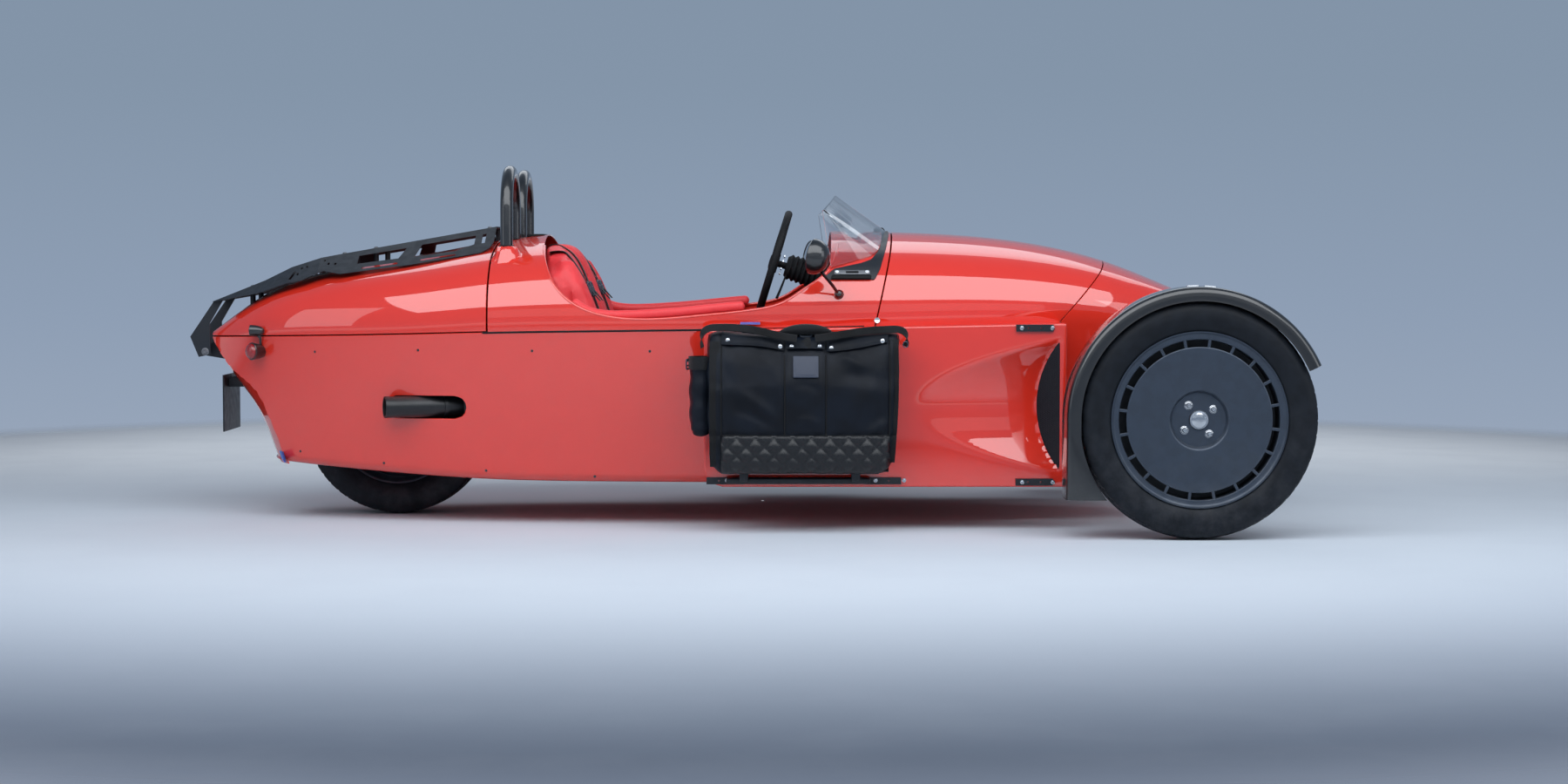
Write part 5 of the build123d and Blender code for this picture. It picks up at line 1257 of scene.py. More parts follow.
# ------------------------------------------------------------------ side blades
BLADE_REAR_X, BLADE_FRONT_X, BLADE_LOW, BLADE_T = -0.077, 1.066, 0.136, 0.014
BLADE_TOP = ((-0.077, 0.63), (1.066, 0.652))
BLADE_CORNER_R, BLADE_ROLL = 0.055, 0.005
SCOOP_R, SCOOP_REAR_X, SCOOP_FRONT_X, SCOOP_Z, SCOOP_DEPTH = 0.338, 0.6, 1.045, 0.392, 0.07
VENT_REAR_X = 0.977


def scoop_depth(x, z):
    """Depth of the scoop, a leaning cylinder sunk in the face, and of the slanted vent plate."""
    slope = SCOOP_DEPTH / (SCOOP_FRONT_X - SCOOP_REAR_X)
    rise = np.minimum(np.abs(z - SCOOP_Z), SCOOP_R * 0.999)
    scoop = slope * (x - SCOOP_REAR_X) - (SCOOP_R - np.sqrt(SCOOP_R ** 2 - rise ** 2))
    plate_slope = slope * (VENT_REAR_X - SCOOP_REAR_X) / (SCOOP_FRONT_X - VENT_REAR_X)
    return scoop, plate_slope * (SCOOP_FRONT_X - x)


def blade_top(x):
    """Height of a blade's top edge."""
    (x0, z0), (x1, z1) = BLADE_TOP
    return z0 + (x - x0) * (z1 - z0) / (x1 - x0)


class CAR_OT_blades(bpy.types.Operator):
    """Flat side blades with a hollow scoop that ends in a crescent outlet vent"""

    bl_idname = "car.blades"
    bl_label = "Side blades"

    def execute(self, context):
        roll = BLADE_ROLL
        up = np.linspace(0, 1, 52)[None, :]
        low_z = BLADE_LOW + up * (BLADE_TOP[0][1] - BLADE_LOW)
        dip = np.clip(BLADE_LOW + BLADE_CORNER_R - low_z, 0, BLADE_CORNER_R)
        rear = BLADE_REAR_X + BLADE_CORNER_R - np.sqrt(BLADE_CORNER_R ** 2 - dip ** 2) + roll
        x = rear + np.linspace(0, 1, 112)[:, None] * (BLADE_FRONT_X - roll - rear)
        z = BLADE_LOW + roll + up * (blade_top(x) - BLADE_LOW - 2 * roll)
        scoop, plate_depth = scoop_depth(x, z)
        sunk = np.minimum(scoop, plate_depth)
        depth = 0.5 * (sunk + np.sqrt(sunk ** 2 + 0.0025 ** 2))
        depth = np.where(x > SCOOP_FRONT_X + 0.004, 0.0, depth)
        face = np.stack([x, -BLADE_Y + depth, z], -1)
        field = np.maximum(plate_depth - scoop, -plate_depth).ravel()
        clipped, cut = clip(face.reshape(-1, 3), grid_faces(*x.shape), field)
        ring = np.concatenate([face[:-1, 0], face[-1, :-1], face[:0:-1, -1], face[0, :0:-1]])
        ring[:, 1] = -BLADE_Y
        run = np.roll(ring, -1, 0) - np.roll(ring, 1, 0)
        out = unit(np.stack([run[:, 2], np.zeros(len(run)), -run[:, 0]], 1))
        turns = np.linspace(0, math.pi / 2, 5)
        steps = [(roll * math.sin(t), roll * (1 - math.cos(t))) for t in turns]
        steps += [(roll, BLADE_T), (roll - 0.003, BLADE_T), (roll - 0.003, roll), (-0.004, 0.004)]
        rings = np.vstack([ring + out * offset + np.array((0, drop, 0)) for offset, drop in steps])
        border = grid_faces(len(steps), len(ring), close_columns=True)[:, ::-1]
        back = clipped + np.array((0, 0.003, 0))
        whole = gather([(clipped, cut), (rings, border), (back, cut[:, ::-1]), self.shelf()])
        for side, piece in both("blade_*_skin", whole, "chassis", "coral_paint", "paint", 40):
            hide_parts(f"blade_{side}")
        self.vents()
        return {"FINISHED"}

    def shelf(self):
        """Top shelf from the blade's rolled edge inward to the hull."""
        x = np.linspace(BLADE_REAR_X + 0.008, BLADE_FRONT_X - 0.006, 90)[:, None]
        z = blade_top(x) - 0.0005
        edge = BLADE_Y - 0.006
        y = -edge + np.linspace(0, 1, 8)[None, :] * (edge - hull_side(x, z) + 0.001)
        return shell(stacked(x, y, z - 0.0005), grid_faces(90, 8), 0.003, 0.0)

    def vents(self):
        """Expanded black mesh across the slanted mouth of each scoop, with a dark sheet just behind it as
        painted shade inside the scoop.
        """
        pitch_x, pitch_z = 0.005, 0.0066
        x = np.arange(VENT_REAR_X - 0.002, SCOOP_FRONT_X, pitch_x)
        z = np.arange(SCOOP_Z - 0.212, SCOOP_Z + 0.212, pitch_z)
        cell_x, cell_z = np.meshgrid(x, z, indexing="ij")
        cell_z = cell_z + (np.arange(len(x)) % 2)[:, None] * pitch_z / 2
        scoop, plate_depth = scoop_depth(cell_x, cell_z)
        open_cell = (scoop > plate_depth - 0.001) & (plate_depth > 0)
        cell_x, cell_z = cell_x[open_cell], cell_z[open_cell]
        turns = round_turns(6)
        outer = np.stack([np.cos(turns) * pitch_x * 0.7, np.sin(turns) * pitch_z * 0.6], 1)
        points = []
        for ring, sink in ((outer, 0.0), (outer * 0.72, -0.0002), (outer * 0.62, 0.0012)):
            at_x, at_z = cell_x[:, None] + ring[:, 0], cell_z[:, None] + ring[:, 1]
            points.append(np.stack([at_x, -BLADE_Y + scoop_depth(at_x, at_z)[1] + sink, at_z], -1))
        points = np.concatenate(points, 1)
        base = grid_faces(3, 6, close_columns=True)[:, ::-1]
        faces = base + points.shape[1] * np.arange(len(points))[:, None, None]
        points, faces = points.reshape(-1, 3), faces.reshape(-1, 4)
        # Painted shade: a dark sheet just behind the mesh stands for the shade in the duct behind the vent.
        dark_x, dark_z = np.meshgrid(np.linspace(VENT_REAR_X - 0.004, SCOOP_FRONT_X, 14),
                                     np.linspace(SCOOP_Z - 0.214, SCOOP_Z + 0.214, 70), indexing="ij")
        scoop, plate_depth = scoop_depth(dark_x, dark_z)
        painted_shade_sheet = clip(stacked(dark_x, -BLADE_Y + np.maximum(plate_depth, 0) + 0.004, dark_z),
                       grid_faces(14, 70), (scoop - plate_depth + 0.006).ravel())
        whole = gather([(points, faces), shell(*painted_shade_sheet, 0.0015)])
        right, _ = both("vent_mesh_*", whole, "chassis", "black_satin", "satin_black")
        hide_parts("vent_grilles")


class CAR_OT_hoops(bpy.types.Operator):
    """Two black roll hoops with rubber collars where they enter the body"""

    bl_idname = "car.hoops"
    bl_label = "Roll hoops"

    def execute(self, context):
        spring = HOOP_TOP - HOOP_TUBE_R - HOOP_HALF
        turns = np.linspace(math.pi, 0, 40)
        arch = np.column_stack([np.zeros(40), HOOP_HALF * np.cos(turns), spring + HOOP_HALF * np.sin(turns)])
        foot = np.linspace(0.66, spring, 8)[:-1]
        left = np.column_stack([np.zeros(7), np.full(7, -HOOP_HALF), foot])
        path = np.vstack([left, arch, (left * (1, -1, 1))[::-1]])
        parts = [tube(path + (HOOP_X, hoop_y, 0), HOOP_TUBE_R, 36) for hoop_y in (-HOOP_Y, HOOP_Y)]
        piece = put("roll_hoop_tubes", *gather(parts), "chassis", "black_paint", MATERIALS["gloss_black"])
        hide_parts("roll_hoops")
        profile = [(HOOP_TUBE_R, -0.004), (HOOP_TUBE_R + 0.006, -0.003), (HOOP_TUBE_R + 0.0062, 0.002),
                   (HOOP_TUBE_R + 0.003, 0.005), (HOOP_TUBE_R, 0.006)]
        collars = [revolve(profile, (HOOP_X, y, BOSS_TOP if outer else float(skin_top(HOOP_X, y))),
                           (0, 0, 1), 40)
                   for y, outer in HOOP_LEGS]
        put("hoop_collars", *gather(collars), "chassis", "black_rubber", MATERIALS["rubber"])
        return {"FINISHED"}


# ------------------------------------------------------------------ wheels
TYRE_SHAPES = {
    "front": dict(outer=0.367, half=0.065, bead_r=0.2625, bead_half=0.044, shoulder=0.357, edge_half=0.052),
    "rear": dict(outer=0.312, half=0.0975, bead_r=0.2035, bead_half=0.064, shoulder=0.306, edge_half=0.0855),
}


def arc_through(first, middle, last, steps):
    """Points on the arc through three points in a plane."""
    (ax, ay), (bx, by), (cx, cy) = first, middle, last
    double = 2 * (ax * (by - cy) + bx * (cy - ay) + cx * (ay - by))
    ux = ((ax ** 2 + ay ** 2) * (by - cy) + (bx ** 2 + by ** 2) * (cy - ay)
          + (cx ** 2 + cy ** 2) * (ay - by)) / double
    uy = ((ax ** 2 + ay ** 2) * (cx - bx) + (bx ** 2 + by ** 2) * (ax - cx)
          + (cx ** 2 + cy ** 2) * (bx - ax)) / double
    radius = math.hypot(ax - ux, ay - uy)
    begin, end = math.atan2(ay - uy, ax - ux), math.atan2(cy - uy, cx - ux)
    through = math.atan2(by - uy, bx - ux)
    turn = (end - begin) % (2 * math.pi)
    if (through - begin) % (2 * math.pi) > turn:
        turn -= 2 * math.pi
    angle = begin + np.linspace(0, 1, steps) * turn
    return np.column_stack([ux + radius * np.cos(angle), uy + radius * np.sin(angle)])


def about(hub, radius, turn, out=0.0):
    """Places at a radius and angle about a hub, moved outward on the right side."""
    return stacked(hub[0] + radius * np.cos(turn), hub[1] - out, hub[2] + radius * np.sin(turn))


def tyre_points(shape, hub, repeats, steps):
    """Tyre carcase with its tread: a ring of profiles whose crown is cut by grooves.

    The profile runs from the inner bead over the crown to the outer bead. Depth is taken
    off along the radius: straight grooves at fixed places across, and slanted sipes that
    repeat round the tyre and fade out at the shoulder.
    """
    bead = (shape["bead_r"], -shape["bead_half"])
    bulge = (shape["outer"] - 0.055, -shape["half"])
    edge = (shape["shoulder"], -shape["edge_half"])
    wall = arc_through(bead, bulge, edge, 15)
    crown = arc_through(edge, (shape["outer"], 0), (edge[0], -edge[1]), 45)[1:-1]
    profile = np.vstack([wall, crown, (wall * (1, -1))[::-1]])
    turns = round_turns(steps)[:, None]
    radius = profile[None, :, 0] + 0 * turns
    across = profile[None, :, 1] + 0 * turns
    share = np.abs(across) / shape["edge_half"]
    on_crown = (radius > shape["shoulder"] - 0.004) & (share < 1.02)
    groove = np.zeros_like(radius)
    for place in (0.18, 0.52):
        groove = np.maximum(groove, np.exp(-((share - place) / 0.045) ** 4))
    phase = turns * repeats / (2 * math.pi) + np.sign(across) * share * 0.8
    sipe = np.exp(-(((phase % 1) - 0.5) / 0.1) ** 4) * (share > 0.22) * (share < 0.98)
    half_phase = turns * repeats / math.pi + share * 1.1
    fine = np.exp(-(((half_phase % 1) - 0.5) / 0.09) ** 4) * (share > 0.58) * (share < 1.02)
    depth = np.maximum(np.maximum(groove, sipe * 0.8), fine * 0.5) * 0.005 * on_crown
    ridge = np.exp(-((radius - shape["bead_r"] - 0.01) / 0.0022) ** 2) * 0.0012
    ridge += np.exp(-((radius - shape["outer"] + 0.03) / 0.0016) ** 2) * 0.0009
    ridge *= share > 0.75
    points = about(hub, radius - depth, turns, -across - np.sign(across) * ridge)
    return points, grid_faces(*radius.shape, close_rows=True)


def bolt(centre, radius, height, axis=(0, -1, 0)):
    """Flanged bolt: washer rim, waisted head with six flats and a dished top."""
    size = (radius, height)
    flange = np.array([(0.0, 0), (1.35, 0), (1.35, 0.22), (1.18, 0.32), (1.02, 0.34)])
    head = np.array([(0.0, 0.3), (1, 0.3), (1, 0.86), (0.86, 1), (0.5, 0.98), (0.42, 0.82), (0.0, 0.8)])
    return gather([revolve(flange * size, centre, axis, 24), revolve(head * size, centre, axis, 6)])


def dome(centre, radius, height, axis=(0, -1, 0), steps=20):
    """Low domed head, as of a rivet or a snap."""
    turn = np.linspace(0, math.pi / 2, 7)
    profile = np.column_stack([radius * np.cos(turn), height * np.sin(turn)])
    profile[-1, 0] = 0.0
    return revolve(np.vstack([(0.0, -height * 0.3), (radius, -height * 0.3), profile]), centre, axis, steps)


class CAR_OT_front_wheels(bpy.types.Operator):
    """Front rims: flat cover, ring of short spokes, recessed hub, cap and four bolts"""

    bl_idname = "car.front_wheels"
    bl_label = "Front wheels"

    def execute(self, context):
        sizes = context.scene.car_sizes
        hub = (FRONT_HUB[0], -FRONT_HUB[1], FRONT_HUB[2])
        steps = sizes.turns
        rim = revolve([(0.252, -0.056), (0.268, -0.0565), (0.27, -0.0545), (0.269, -0.052),
                       (0.262, -0.05), (0.256, -0.03), (0.252, 0.0), (0.256, 0.03), (0.2625, 0.05),
                       (0.269, 0.052), (0.2702, 0.054), (0.269, 0.0565), (0.266, 0.0562),
                       (0.263, 0.052), (0.258, 0.0495), (0.247, 0.049), (0.245, 0.047),
                       (0.244, 0.04), (0.244, 0.025), (0.246, 0.01), (0.248, -0.05),
                       (0.252, -0.056)], hub, steps=steps)
        cover = revolve([(0.218, 0.038), (0.2215, 0.0395), (0.2228, 0.044), (0.2222, 0.0478),
                         (0.2195, 0.0488), (0.216, 0.048), (0.15, 0.0478), (0.096, 0.0468),
                         (0.0915, 0.046), (0.088, 0.043), (0.084, 0.035), (0.082, 0.032),
                         (0.07, 0.0318), (0.045, 0.0322), (0.032, 0.0335), (0.03, 0.033),
                         (0.03, 0.02), (0.21, 0.02), (0.215, 0.036), (0.218, 0.038)], hub, steps=steps)
        bars = []
        for index in range(sizes.spokes):
            turn = 2 * math.pi * (index + 0.5) / sizes.spokes + math.radians(2)
            points, faces = box_form((0.219, -0.0048, 0.039), (0.248, 0.0048, 0.0478), 0.002, 3)
            radius, aside, out = points.T
            x, z = turned(radius, aside, turn)
            bars.append((stacked(hub[0] + x, hub[1] - out, hub[2] + z), faces))
        barrel = revolve([(0.244, 0.025), (0.244, -0.03), (0.2, -0.032), (0.06, -0.03),
                          (0.06, 0.018), (0.21, 0.02)], hub, steps=96)
        cap = revolve([(0.029, 0.03), (0.0292, 0.0385), (0.028, 0.0402), (0.0255, 0.0405),
                       (0.0238, 0.0398), (0.0225, 0.04), (0.018, 0.0425), (0.01, 0.044),
                       (0.0, 0.0445)], hub, steps=64)
        bolts = []
        for place in about(hub, 0.054, np.radians(36 + 90 * np.arange(4)), 0.0318):
            bolts.append(revolve([(0.0125, -0.002), (0.0128, 0.0006), (0.0118, 0.0012)], place, steps=28))
            bolts.append(bolt(place, 0.0075, 0.011))
        body = "wheel_front_*"
        for side, piece in both("rim_front_*_form", gather([rim, cover] + bars), body, "wheel_grey",
                                "wheel", 32):
            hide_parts(f"rim_front_{side}")
        both("rim_front_*_well", barrel, body, "black_satin", "satin_black")
        both("cap_front_*", cap, body, "bare_metal", "bright")
        both("wheel_bolts_*", gather(bolts), body, "bare_metal", "bright")
        return {"FINISHED"}


class CAR_OT_tyres(bpy.types.Operator):
    """Two tall front tyres and a wide rear tyre, with grooves and sipes cut in the tread"""

    bl_idname = "car.tyres"
    bl_label = "Tyres"

    def execute(self, context):
        repeats = context.scene.car_sizes.tread_blocks
        for side, sign in SIDES:
            hub = (FRONT_HUB[0], sign * FRONT_HUB[1], FRONT_HUB[2])
            self.tyre(f"front_{side}", TYRE_SHAPES["front"], hub, repeats)
        self.tyre("rear", TYRE_SHAPES["rear"], REAR_HUB, repeats)
        return {"FINISHED"}

    def tyre(self, place, shape, hub, repeats):
        """One tyre, which stands for its CAD node."""
        form = tyre_points(shape, hub, repeats, repeats * 6)
        piece = put(f"tyre_{place}_tread", *form, f"wheel_{place}", "tyre_rubber", MATERIALS["tyre"], 50)
        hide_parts(f"tyre_{place}")


class CAR_OT_rear_wheel(bpy.types.Operator):
    """Rear rim: deep barrel, dished disc with round holes on both sides"""

    bl_idname = "car.rear_wheel"
    bl_label = "Rear wheel"

    def execute(self, context):
        steps = context.scene.car_sizes.turns
        barrel = revolve([(0.193, -0.0815), (0.2085, -0.082), (0.21, -0.08), (0.209, -0.078),
                          (0.203, -0.076), (0.196, -0.05), (0.193, 0.0), (0.196, 0.05),
                          (0.203, 0.076), (0.209, 0.078), (0.21, 0.08), (0.2085, 0.082),
                          (0.204, 0.0805), (0.2, 0.074), (0.1935, 0.06), (0.19, 0.01),
                          (0.19, -0.06), (0.193, -0.0815)], REAR_HUB, steps=steps)
        rings = np.concatenate([np.linspace(0.052, 0.066, 4), np.linspace(0.07, 0.188, 40), [0.1905]])
        radius, angle = np.meshgrid(rings, round_turns(144), indexing="ij")
        dish = 0.03 - 0.022 * ((radius - 0.052) / 0.14) ** 2
        keep = np.full(radius.size, 1.0)
        for turn in round_turns(10):
            away = np.hypot(radius * np.cos(angle) - 0.128 * math.cos(turn),
                            radius * np.sin(angle) - 0.128 * math.sin(turn)).ravel() - 0.022
            keep = np.minimum(keep, away)
        faces = grid_faces(*radius.shape, close_columns=True)[:, ::-1]
        disc = shell(*clip(about(REAR_HUB, radius, angle, dish), faces, keep), 0.006)
        hub = revolve([(0.0, 0.075), (0.03, 0.075), (0.034, 0.071), (0.04, 0.035), (0.054, 0.03),
                       (0.056, 0.02), (0.05, -0.02), (0.044, -0.068), (0.04, -0.072), (0.0, -0.072)],
                      REAR_HUB, steps=64)
        piece = put("rim_rear_form", *gather([barrel, disc, hub]), "wheel_rear", "wheel_grey",
                    MATERIALS["wheel"], crease=32)
        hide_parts("rim_rear")
        return {"FINISHED"}


# ------------------------------------------------------------------ mudguards
MUD_R, MUD_IN, MUD_OUT, MUD_LIP_R, MUD_T = 0.402, 0.78, 0.925, 0.362, 0.003
MUD_FRONT_DEG, MUD_LOW_Z = 24.5, 0.124


class CAR_OT_mudguards(bpy.types.Operator):
    """Black mudguards with a rolled inner edge, side band, straight rear drop and stays"""

    bl_idname = "car.mudguards"
    bl_label = "Mudguards"

    def section(self):
        """Radius and distance outward: crown, round shoulder and side band with a rolled hem."""
        turns = np.linspace(math.pi / 2, 0, 8)
        shoulder = (MUD_R - 0.02, MUD_OUT - 0.02) + 0.02 * np.column_stack([np.sin(turns), np.cos(turns)])
        crown = [(MUD_R - 0.004, MUD_IN), (MUD_R - 0.0008, MUD_IN + 0.004)]
        crown += [(MUD_R + 0.002 * math.sin(math.pi * s), MUD_IN + 0.004 + s * (MUD_OUT - MUD_IN - 0.03))
                  for s in np.linspace(0.05, 0.95, 12)]
        return np.vstack([crown, shoulder, [(MUD_R - 0.03, MUD_OUT + 0.0005), (MUD_LIP_R, MUD_OUT)]])

    def execute(self, context):
        radius, out = self.section().T
        turns = np.radians(np.linspace(MUD_FRONT_DEG, 180, 120))[:, None]
        hub_x, _, hub_z = hub = (FRONT_HUB[0], 0.0, FRONT_HUB[2])
        arch = about(hub, radius, turns, out)
        drop_z = np.linspace(hub_z, MUD_LOW_Z, 24)[1:, None]
        inner = hub_x - np.sqrt(np.maximum(MUD_LIP_R ** 2 - (hub_z - drop_z) ** 2, 0)) - 0.004
        hem = (np.clip((out - (MUD_OUT - 0.004)) / 0.0045, 0, 1)
               * np.clip((MUD_R - radius) / (MUD_R - MUD_LIP_R), 0, 1))
        drop = stacked(hub_x - radius + hem * np.maximum(inner - (hub_x - MUD_LIP_R), 0), -out, drop_z)
        guard = shell(np.vstack([arch, drop]), grid_faces(len(turns) + len(drop_z), len(out)), MUD_T)
        stays = []
        for turn in np.radians((58, 126, 175)):
            start, end = about(hub, 0.04, turn, 0.779), about(hub, 0.398, turn, 0.784)
            stays.append(tube(np.linspace(start[0], end[0], 12), 0.006, 14))
        hub_ring = revolve([(0.02, 0.0), (0.044, 0.0), (0.044, 0.008), (0.02, 0.008), (0.02, 0.0)],
                           (hub_x, -0.774, hub_z), steps=48)
        studs = []
        for turn in np.radians((92.0, 84.5)):
            points, faces = box_form((-0.019, -0.008, -0.001), (0.019, 0.008, 0.006), 0.004, 3)
            x, z = turned(points[:, 0], points[:, 2], turn - math.pi / 2)
            studs.append((stacked(x, points[:, 1], z) + about(hub, MUD_R + 0.0015, turn, 0.842), faces))
        for side, piece in both("mudguard_*_shell", gather([guard, *stays, hub_ring]), "knuckle_*",
                                "black_paint", "gloss_black", 40):
            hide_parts(f"mudguard_{side}")
        both("mudguard_*_studs", gather(studs), "knuckle_*", "bare_metal", "bright")
        return {"FINISHED"}


# ------------------------------------------------------------------ seats and trim
SEAT_Y, SEAT_HALF = 0.232, 0.216
SEAT_TREES = {}
SEAT_BACK = ((-0.612, 0.902), (-0.59, 0.911), (-0.55, 0.909), (-0.526, 0.893), (-0.507, 0.862),
             (-0.47, 0.78), (-0.434, 0.69), (-0.395, 0.545), (-0.358, 0.4), (-0.372, 0.2),
             (-0.44, 0.19), (-0.515, 0.42), (-0.565, 0.62), (-0.596, 0.8))
SEAT_CUSHION = ((-0.35, 0.15), (-0.343, 0.312), (-0.2, 0.324), (0.015, 0.34), (0.052, 0.318),
                (0.052, 0.21), (-0.004, 0.15))
CHANNELS = (-0.096, -0.048, 0.0, 0.048, 0.096)
BOLSTER_Y = 0.14
TRIM_GAP, CHINE_Z, LINING_LOW_Z = 0.012, 0.64, 0.2


def within_body(points, gap=TRIM_GAP):
    """Points drawn in so that they stay inside the body's outer skin by the gap."""
    x, y, z = points.T.copy()
    above = z > CHINE_Z
    most = hull_side(x, np.maximum(z, LINING_LOW_Z)) - gap
    most[above] = skin_half(x[above], np.minimum(z[above] + gap, skin_top(x[above], 0) - 0.002)) - gap * 0.5
    y = np.sign(y) * np.minimum(np.abs(y), most)
    z[above] = np.minimum(z[above], skin_top(x[above], y[above]) - gap)
    return np.stack([x, y, z], 1)


def trimmed(points, faces, front, end):
    """Seat upholstery: raised bolsters, stitched channels between them and a cross seam.

    front(normals) is how far a face belongs to the seating side, and end the place along it
    where the channels stop: (values along, limit).
    """
    normals = point_normals(points, faces)
    facing = ease(front(normals), 0.25, 0.65)
    aside = points[:, 1] + SEAT_Y
    along, limit = end(points)
    inner = 1 - ease(np.abs(aside), BOLSTER_Y - 0.02, BOLSTER_Y + 0.016)
    lines = sum(groove(aside - place, 0.005, 0.0065) for place in CHANNELS)
    pillow = -0.0035 * np.cos(2 * math.pi * aside / (CHANNELS[1] - CHANNELS[0])) * inner
    inside = ease(limit - along, 0.0, 0.012)
    depth = 0.012 * inner + (lines + pillow + 0.0035) * inner * inside
    depth += groove(along - limit, 0.0036, 0.006) * (1 - ease(np.abs(aside), BOLSTER_Y, BOLSTER_Y + 0.012))
    depth += groove(np.abs(aside) - BOLSTER_Y, 0.0036, 0.006)
    return points - normals * (depth * facing)[:, None], faces


class CAR_OT_seats(bpy.types.Operator):
    """Two leather seats with bolsters, stitched channels and piped edges"""

    bl_idname = "car.seats"
    bl_label = "Seats"

    def execute(self, context):
        low, high = -SEAT_Y - SEAT_HALF, -SEAT_Y + SEAT_HALF
        back = slab(rounded(SEAT_BACK, [0.012] * len(SEAT_BACK), 4), low, high, 0.04, 14)
        back = stuffed(within_body(back[0]), back[1], 0.014, 0.009)
        back = trimmed(*back, lambda n: n[:, 0] + 0.35 * n[:, 2], lambda p: (p[:, 2], 0.8))
        back = within_body(back[0], 0.006), back[1]
        cushion = slab(rounded(SEAT_CUSHION, [0.02] * len(SEAT_CUSHION), 4), low + 0.026, high - 0.026,
                       0.035, 14)
        cushion = stuffed(*cushion, 0.0145, 0.012)
        cushion = trimmed(*cushion, lambda n: n[:, 2], lambda p: (p[:, 0], 0.005))
        SEAT_TREES["seat"] = BVHTree.FromPolygons(*(v.tolist() for v in back))
        for part, form in (("back", back), ("cushion", cushion)):
            pieces = both(f"seat_{part}_*", form, "chassis", "red_trim", "red_hide", 80)
            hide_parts(f"seat_{part}s")
        return {"FINISHED"}


SILL_LINE = ((-0.5, 0.722), (-0.472, 0.702), (-0.436, 0.685), (-0.376, 0.676), (-0.26, 0.679),
             (-0.16, 0.686), (-0.05, 0.697), (0.052, 0.706))


class CAR_OT_sill_pads(bpy.types.Operator):
    """Padded leather rolls along both cockpit sills, drawn together at their ends"""

    bl_idname = "car.sill_pads"
    bl_label = "Sill pads"

    def execute(self, context):
        line = smooth_line(SILL_LINE, 150)
        share = np.linspace(0, 1, len(line))
        path = np.column_stack([line[:, 0], -(skin_half(line[:, 0], line[:, 1]) - 0.019), line[:, 1]])
        ends = np.minimum(share, 1 - share) * 0.56
        swell = np.sqrt(np.clip(1 - (1 - np.minimum(ends / 0.016, 1)) ** 2, 0.0016, 1))
        gathers = 0.01 * np.sin(share * 210) * np.exp(-ends / 0.02)
        sag = 0.012 * np.sin(share * 31 + 1.3) * np.sin(share * 13)
        form = sweep(path, oval(0.013, 0.0165, 28), (0, -1, 0), swell * (1 + gathers + sag))
        pieces = both("sill_pad_*", form, "chassis", "red_trim", "red_hide", 80)
        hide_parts("side_pads")
        return {"FINISHED"}


BELT_LINE = ((-0.604, 0.905), (-0.586, 0.921), (-0.556, 0.921), (-0.527, 0.906), (-0.505, 0.874),
             (-0.464, 0.795), (-0.42, 0.69), (-0.384, 0.56), (-0.346, 0.42), (-0.326, 0.35))


def slide_buckle(middle, along, across, size, metal=0.0035):
    """Webbing adjuster: a frame with a middle bar, round in section, lying in a plane."""
    middle, along, across = np.asarray(middle), unit(along), unit(across)
    half_long, half_wide = size[0] / 2, size[1] / 2
    frame_line = rounded([(-half_long, -half_wide), (half_long, -half_wide), (half_long, half_wide),
                          (-half_long, half_wide)], 0.006, 5)
    ring = middle + frame_line[:, :1] * along + frame_line[:, 1:] * across
    bars = [tube(ring, metal, 10, closed=True)]
    for place in (-0.15, 0.35):
        ends = [middle + along * place * size[0] + across * half_wide * s for s in (-1, 1)]
        bars.append(tube(np.linspace(*ends, 6), metal * 0.9, 10))
    return gather(bars)


class CAR_OT_belts(bpy.types.Operator):
    """Two shoulder straps on each seat, with slide adjusters, loose tails and a lap buckle"""

    bl_idname = "car.belts"
    bl_label = "Belts"

    def execute(self, context):
        line = smooth_line(BELT_LINE, 60)
        straps, metal = [], []
        for seat in (-SEAT_Y, SEAT_Y):
            for aside in (-0.07, 0.07):
                y = seat + aside * (1 - 0.35 * np.linspace(0, 1, len(line)))
                path = self.on_seat(np.column_stack([line[:, 0], y, line[:, 1]]))
                straps.append(sweep(path, band(0.044, 0.0024), (0, 1, 0)))
                run = unit(path[25] - path[19])
                lift = np.cross(run, (0, 1, 0))
                lift = lift * np.sign(lift[0])
                place = path[22] + lift * 0.006
                metal.append(slide_buckle(place, run, (0, 1, 0), (0.046, 0.056)))
                away = smooth_line([(0, 0), (0.022, 0.006), (0.048, 0.012)], 10)[:, 0]
                straps.append(sweep(place + np.outer(away, run + lift * 0.35), band(0.04, 0.0024), (0, 1, 0)))
            half = [(-0.33, -0.175, 0.3), (-0.296, -0.12, 0.348), (-0.27, -0.04, 0.366)]
            lap = half + [(-0.266, 0, 0.368)] + [(x, -y, z) for x, y, z in half[::-1]]
            lap = smooth_line(np.array(lap) + (0, seat, 0), 50)
            straps.append(sweep(lap, band(0.044, 0.0024), (0.94, 0, 0.34)))
            boss = revolve([(0.0, 0.0), (0.03, 0.0), (0.032, 0.004), (0.031, 0.012), (0.026, 0.016),
                            (0.01, 0.0175), (0.0, 0.0175)], (-0.267, seat, 0.366),
                           axis=(0.25, 0, 1), steps=40)
            metal.append(boss)
        put("belt_straps", *gather(straps), "chassis", "black_canvas", MATERIALS["webbing"], crease=60)
        put("belt_metal", *gather(metal), "chassis", "black_satin", MATERIALS["wheel"], crease=40)
        return {"FINISHED"}

    def on_seat(self, path):
        """The strap's line laid on the right seat's leather or its mirror image, then evened out."""
        laid = []
        for x, y, z in path:
            hit, normal, _, _ = SEAT_TREES["seat"].find_nearest((x, -abs(y), z))
            place = hit + normal * 0.0035
            laid.append((place.x, y, place.z))
        laid = np.array(laid)
        for _ in range(6):
            laid[1:-1] = (laid[:-2] + 2 * laid[1:-1] + laid[2:]) / 4
        return laid


